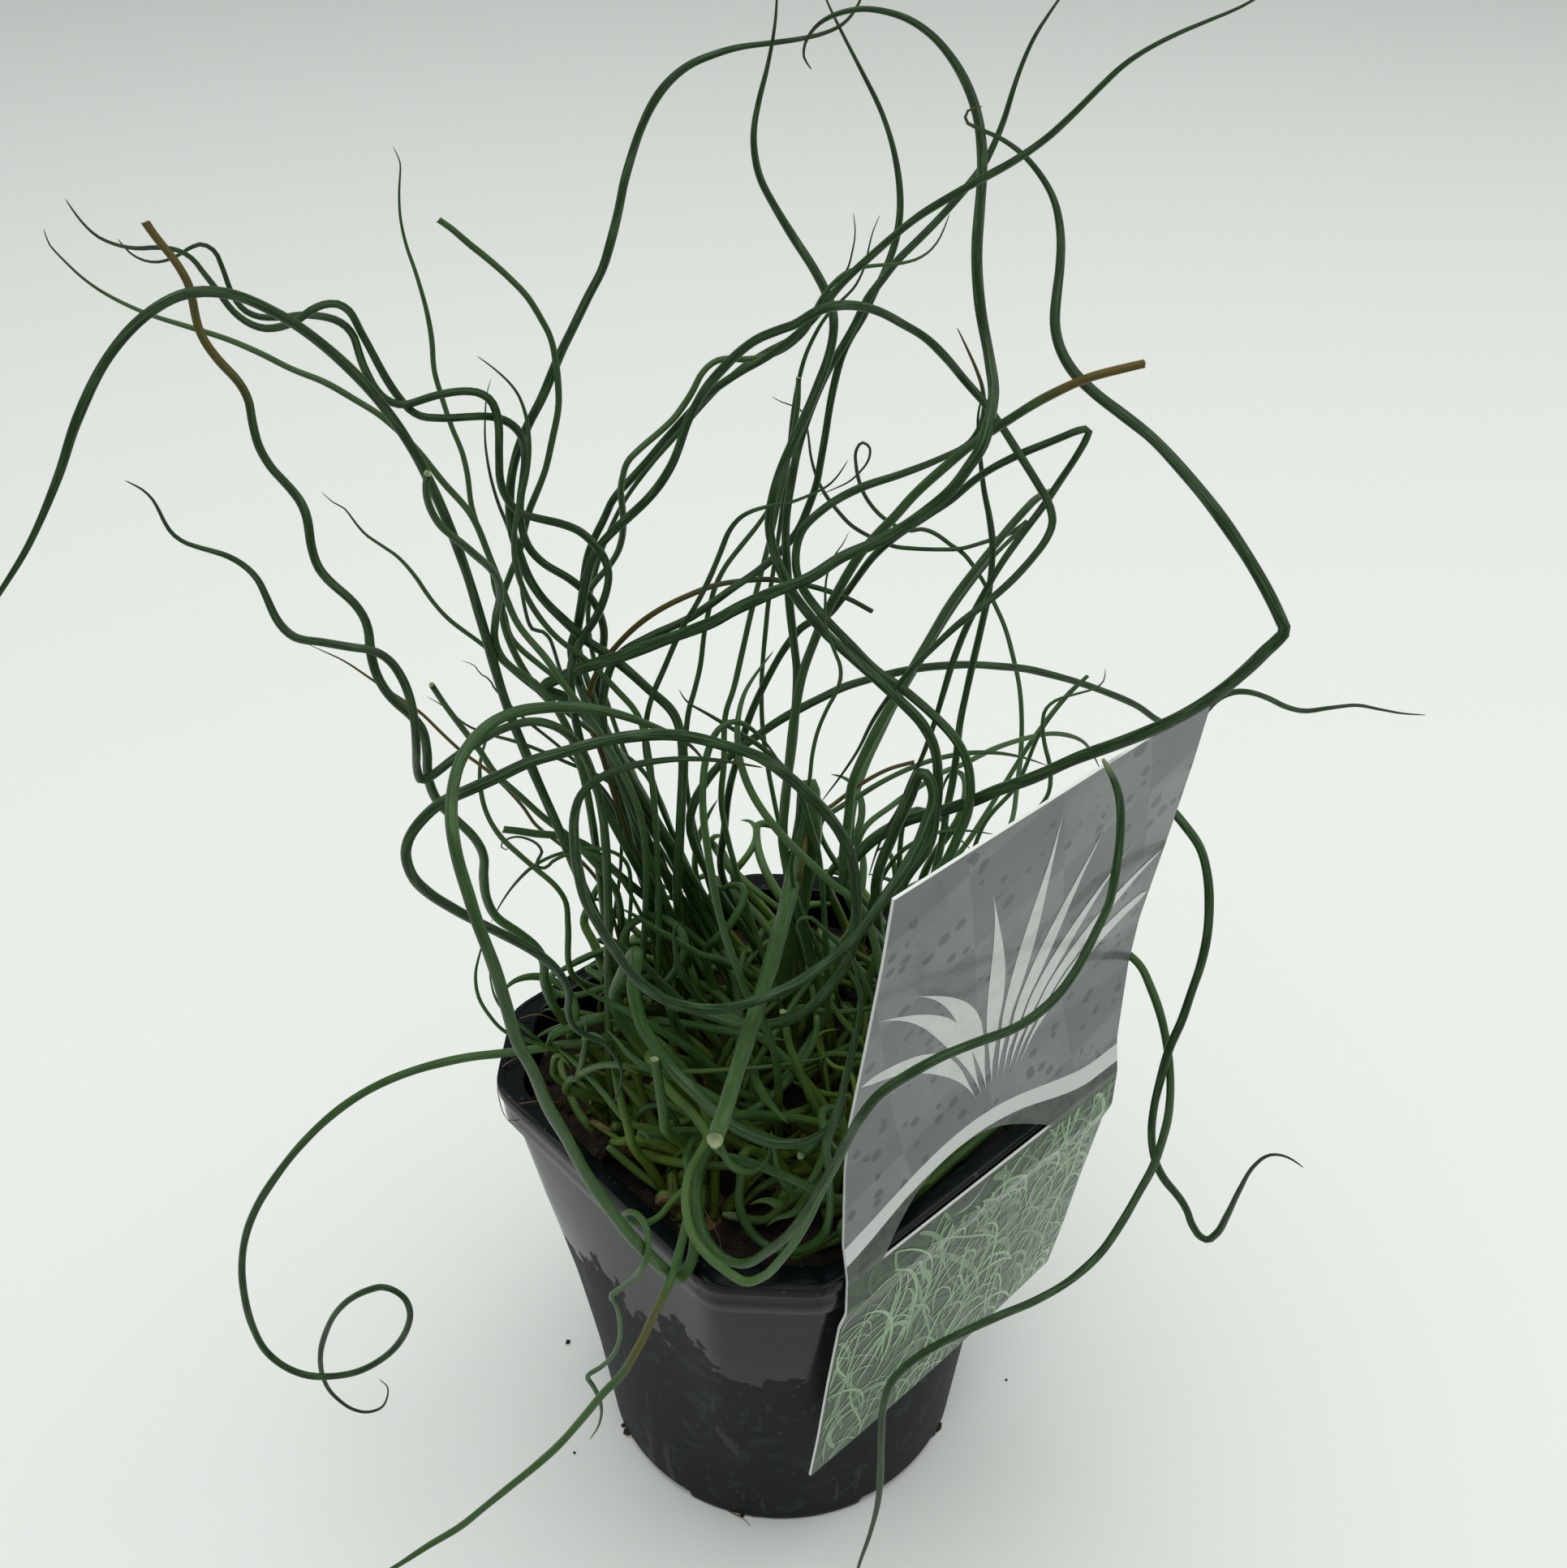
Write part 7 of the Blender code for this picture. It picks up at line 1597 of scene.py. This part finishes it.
# Where they lie, in the drawing, and their sizes in mm
FOOT_CRUMBS = [(775, 1762, 1.6), (782, 1768, 0.9), (768, 1756, 0.7), (1155, 1758, 1.5), (1150, 1766, 0.8),
               (915, 1867, 0.6), (906, 1862, 0.5), (700, 1653, 0.8), (708, 1790, 0.4), (1240, 1700, 0.4)]
CRUMB_SHAPE = (1.2, 1.0, 0.7)
sizes = np.outer([size for *_, size in FOOT_CRUMBS], CRUMB_SHAPE) / 1000
places = np.concatenate([on_levels([across, down], (size * 0.6,)) for across, down, size in FOOT_CRUMBS])
turns = np.random.default_rng(17).uniform(-0.6, 0.6, (len(FOOT_CRUMBS), 2))
place("foot_crumbs", scatter("foot_crumbs", balls, places, sizes, turns), peat, "peat")


# ---- The studio ----
# A pale table top under broad, soft light from above and a weaker light from the right. The camera
# stands a little higher than the plant.

FLOOR_HALF = 12.0
SENSOR_WIDTH = 36.0         # mm, and the lens too
LENS = 40.878
SKY_COLOR = (0.96, 0.98, 0.95)
SKY_STRENGTH = 0.38
TABLE_WHITE = (0.80, 0.82, 0.80)

corners = np.array([(-1, -1, 0), (1, -1, 0), (1, 1, 0), (-1, 1, 0)]) * FLOOR_HALF
floor = link(bpy.data.objects.new("floor", new_mesh("floor", corners, [(0, 1, 2, 3)], smooth=False)))
floor.data.materials.append(new_material("pale_table", TABLE_WHITE, 0.55)[0])


def area_light(name, position, target, size, power, color):
    """A square soft light that faces a target."""
    light = bpy.data.lights.new(name, "AREA")
    light.size = size
    light.energy = power
    light.color = color
    lamp = link(bpy.data.objects.new(name, light))
    lamp.location = position
    way = np.array(target) - np.array(position)
    across = math.atan2(way[1], way[0]) - math.pi / 2
    lamp.rotation_euler = (math.pi / 2 + math.atan2(way[2], math.hypot(way[0], way[1])), 0, across)


area_light("sky_panel", (-0.10, 0.10, 1.70), (0, 0, 0.10), 2.2, 28, (0.97, 1.0, 0.98))
area_light("side_panel", (1.4, -0.8, 1.0), (0, 0, 0.15), 1.4, 7.0, (1.0, 1.0, 0.97))
sky = bpy.data.worlds.new("soft_sky")
sky.use_nodes = True
sky.node_tree.nodes["Background"].inputs["Color"].default_value = (*SKY_COLOR, 1)
sky.node_tree.nodes["Background"].inputs["Strength"].default_value = SKY_STRENGTH
bpy.context.scene.world = sky
bpy.context.scene.view_settings.view_transform = "Standard"

camera = link(bpy.data.objects.new("camera", bpy.data.cameras.new("camera")))
camera.data.sensor_width = SENSOR_WIDTH
camera.data.lens = LENS
camera.location = to_row(EYE)
camera.rotation_euler = (math.pi / 2 - SIGHT_PITCH, 0, VIEW_TURN)
bpy.context.scene.camera = camera
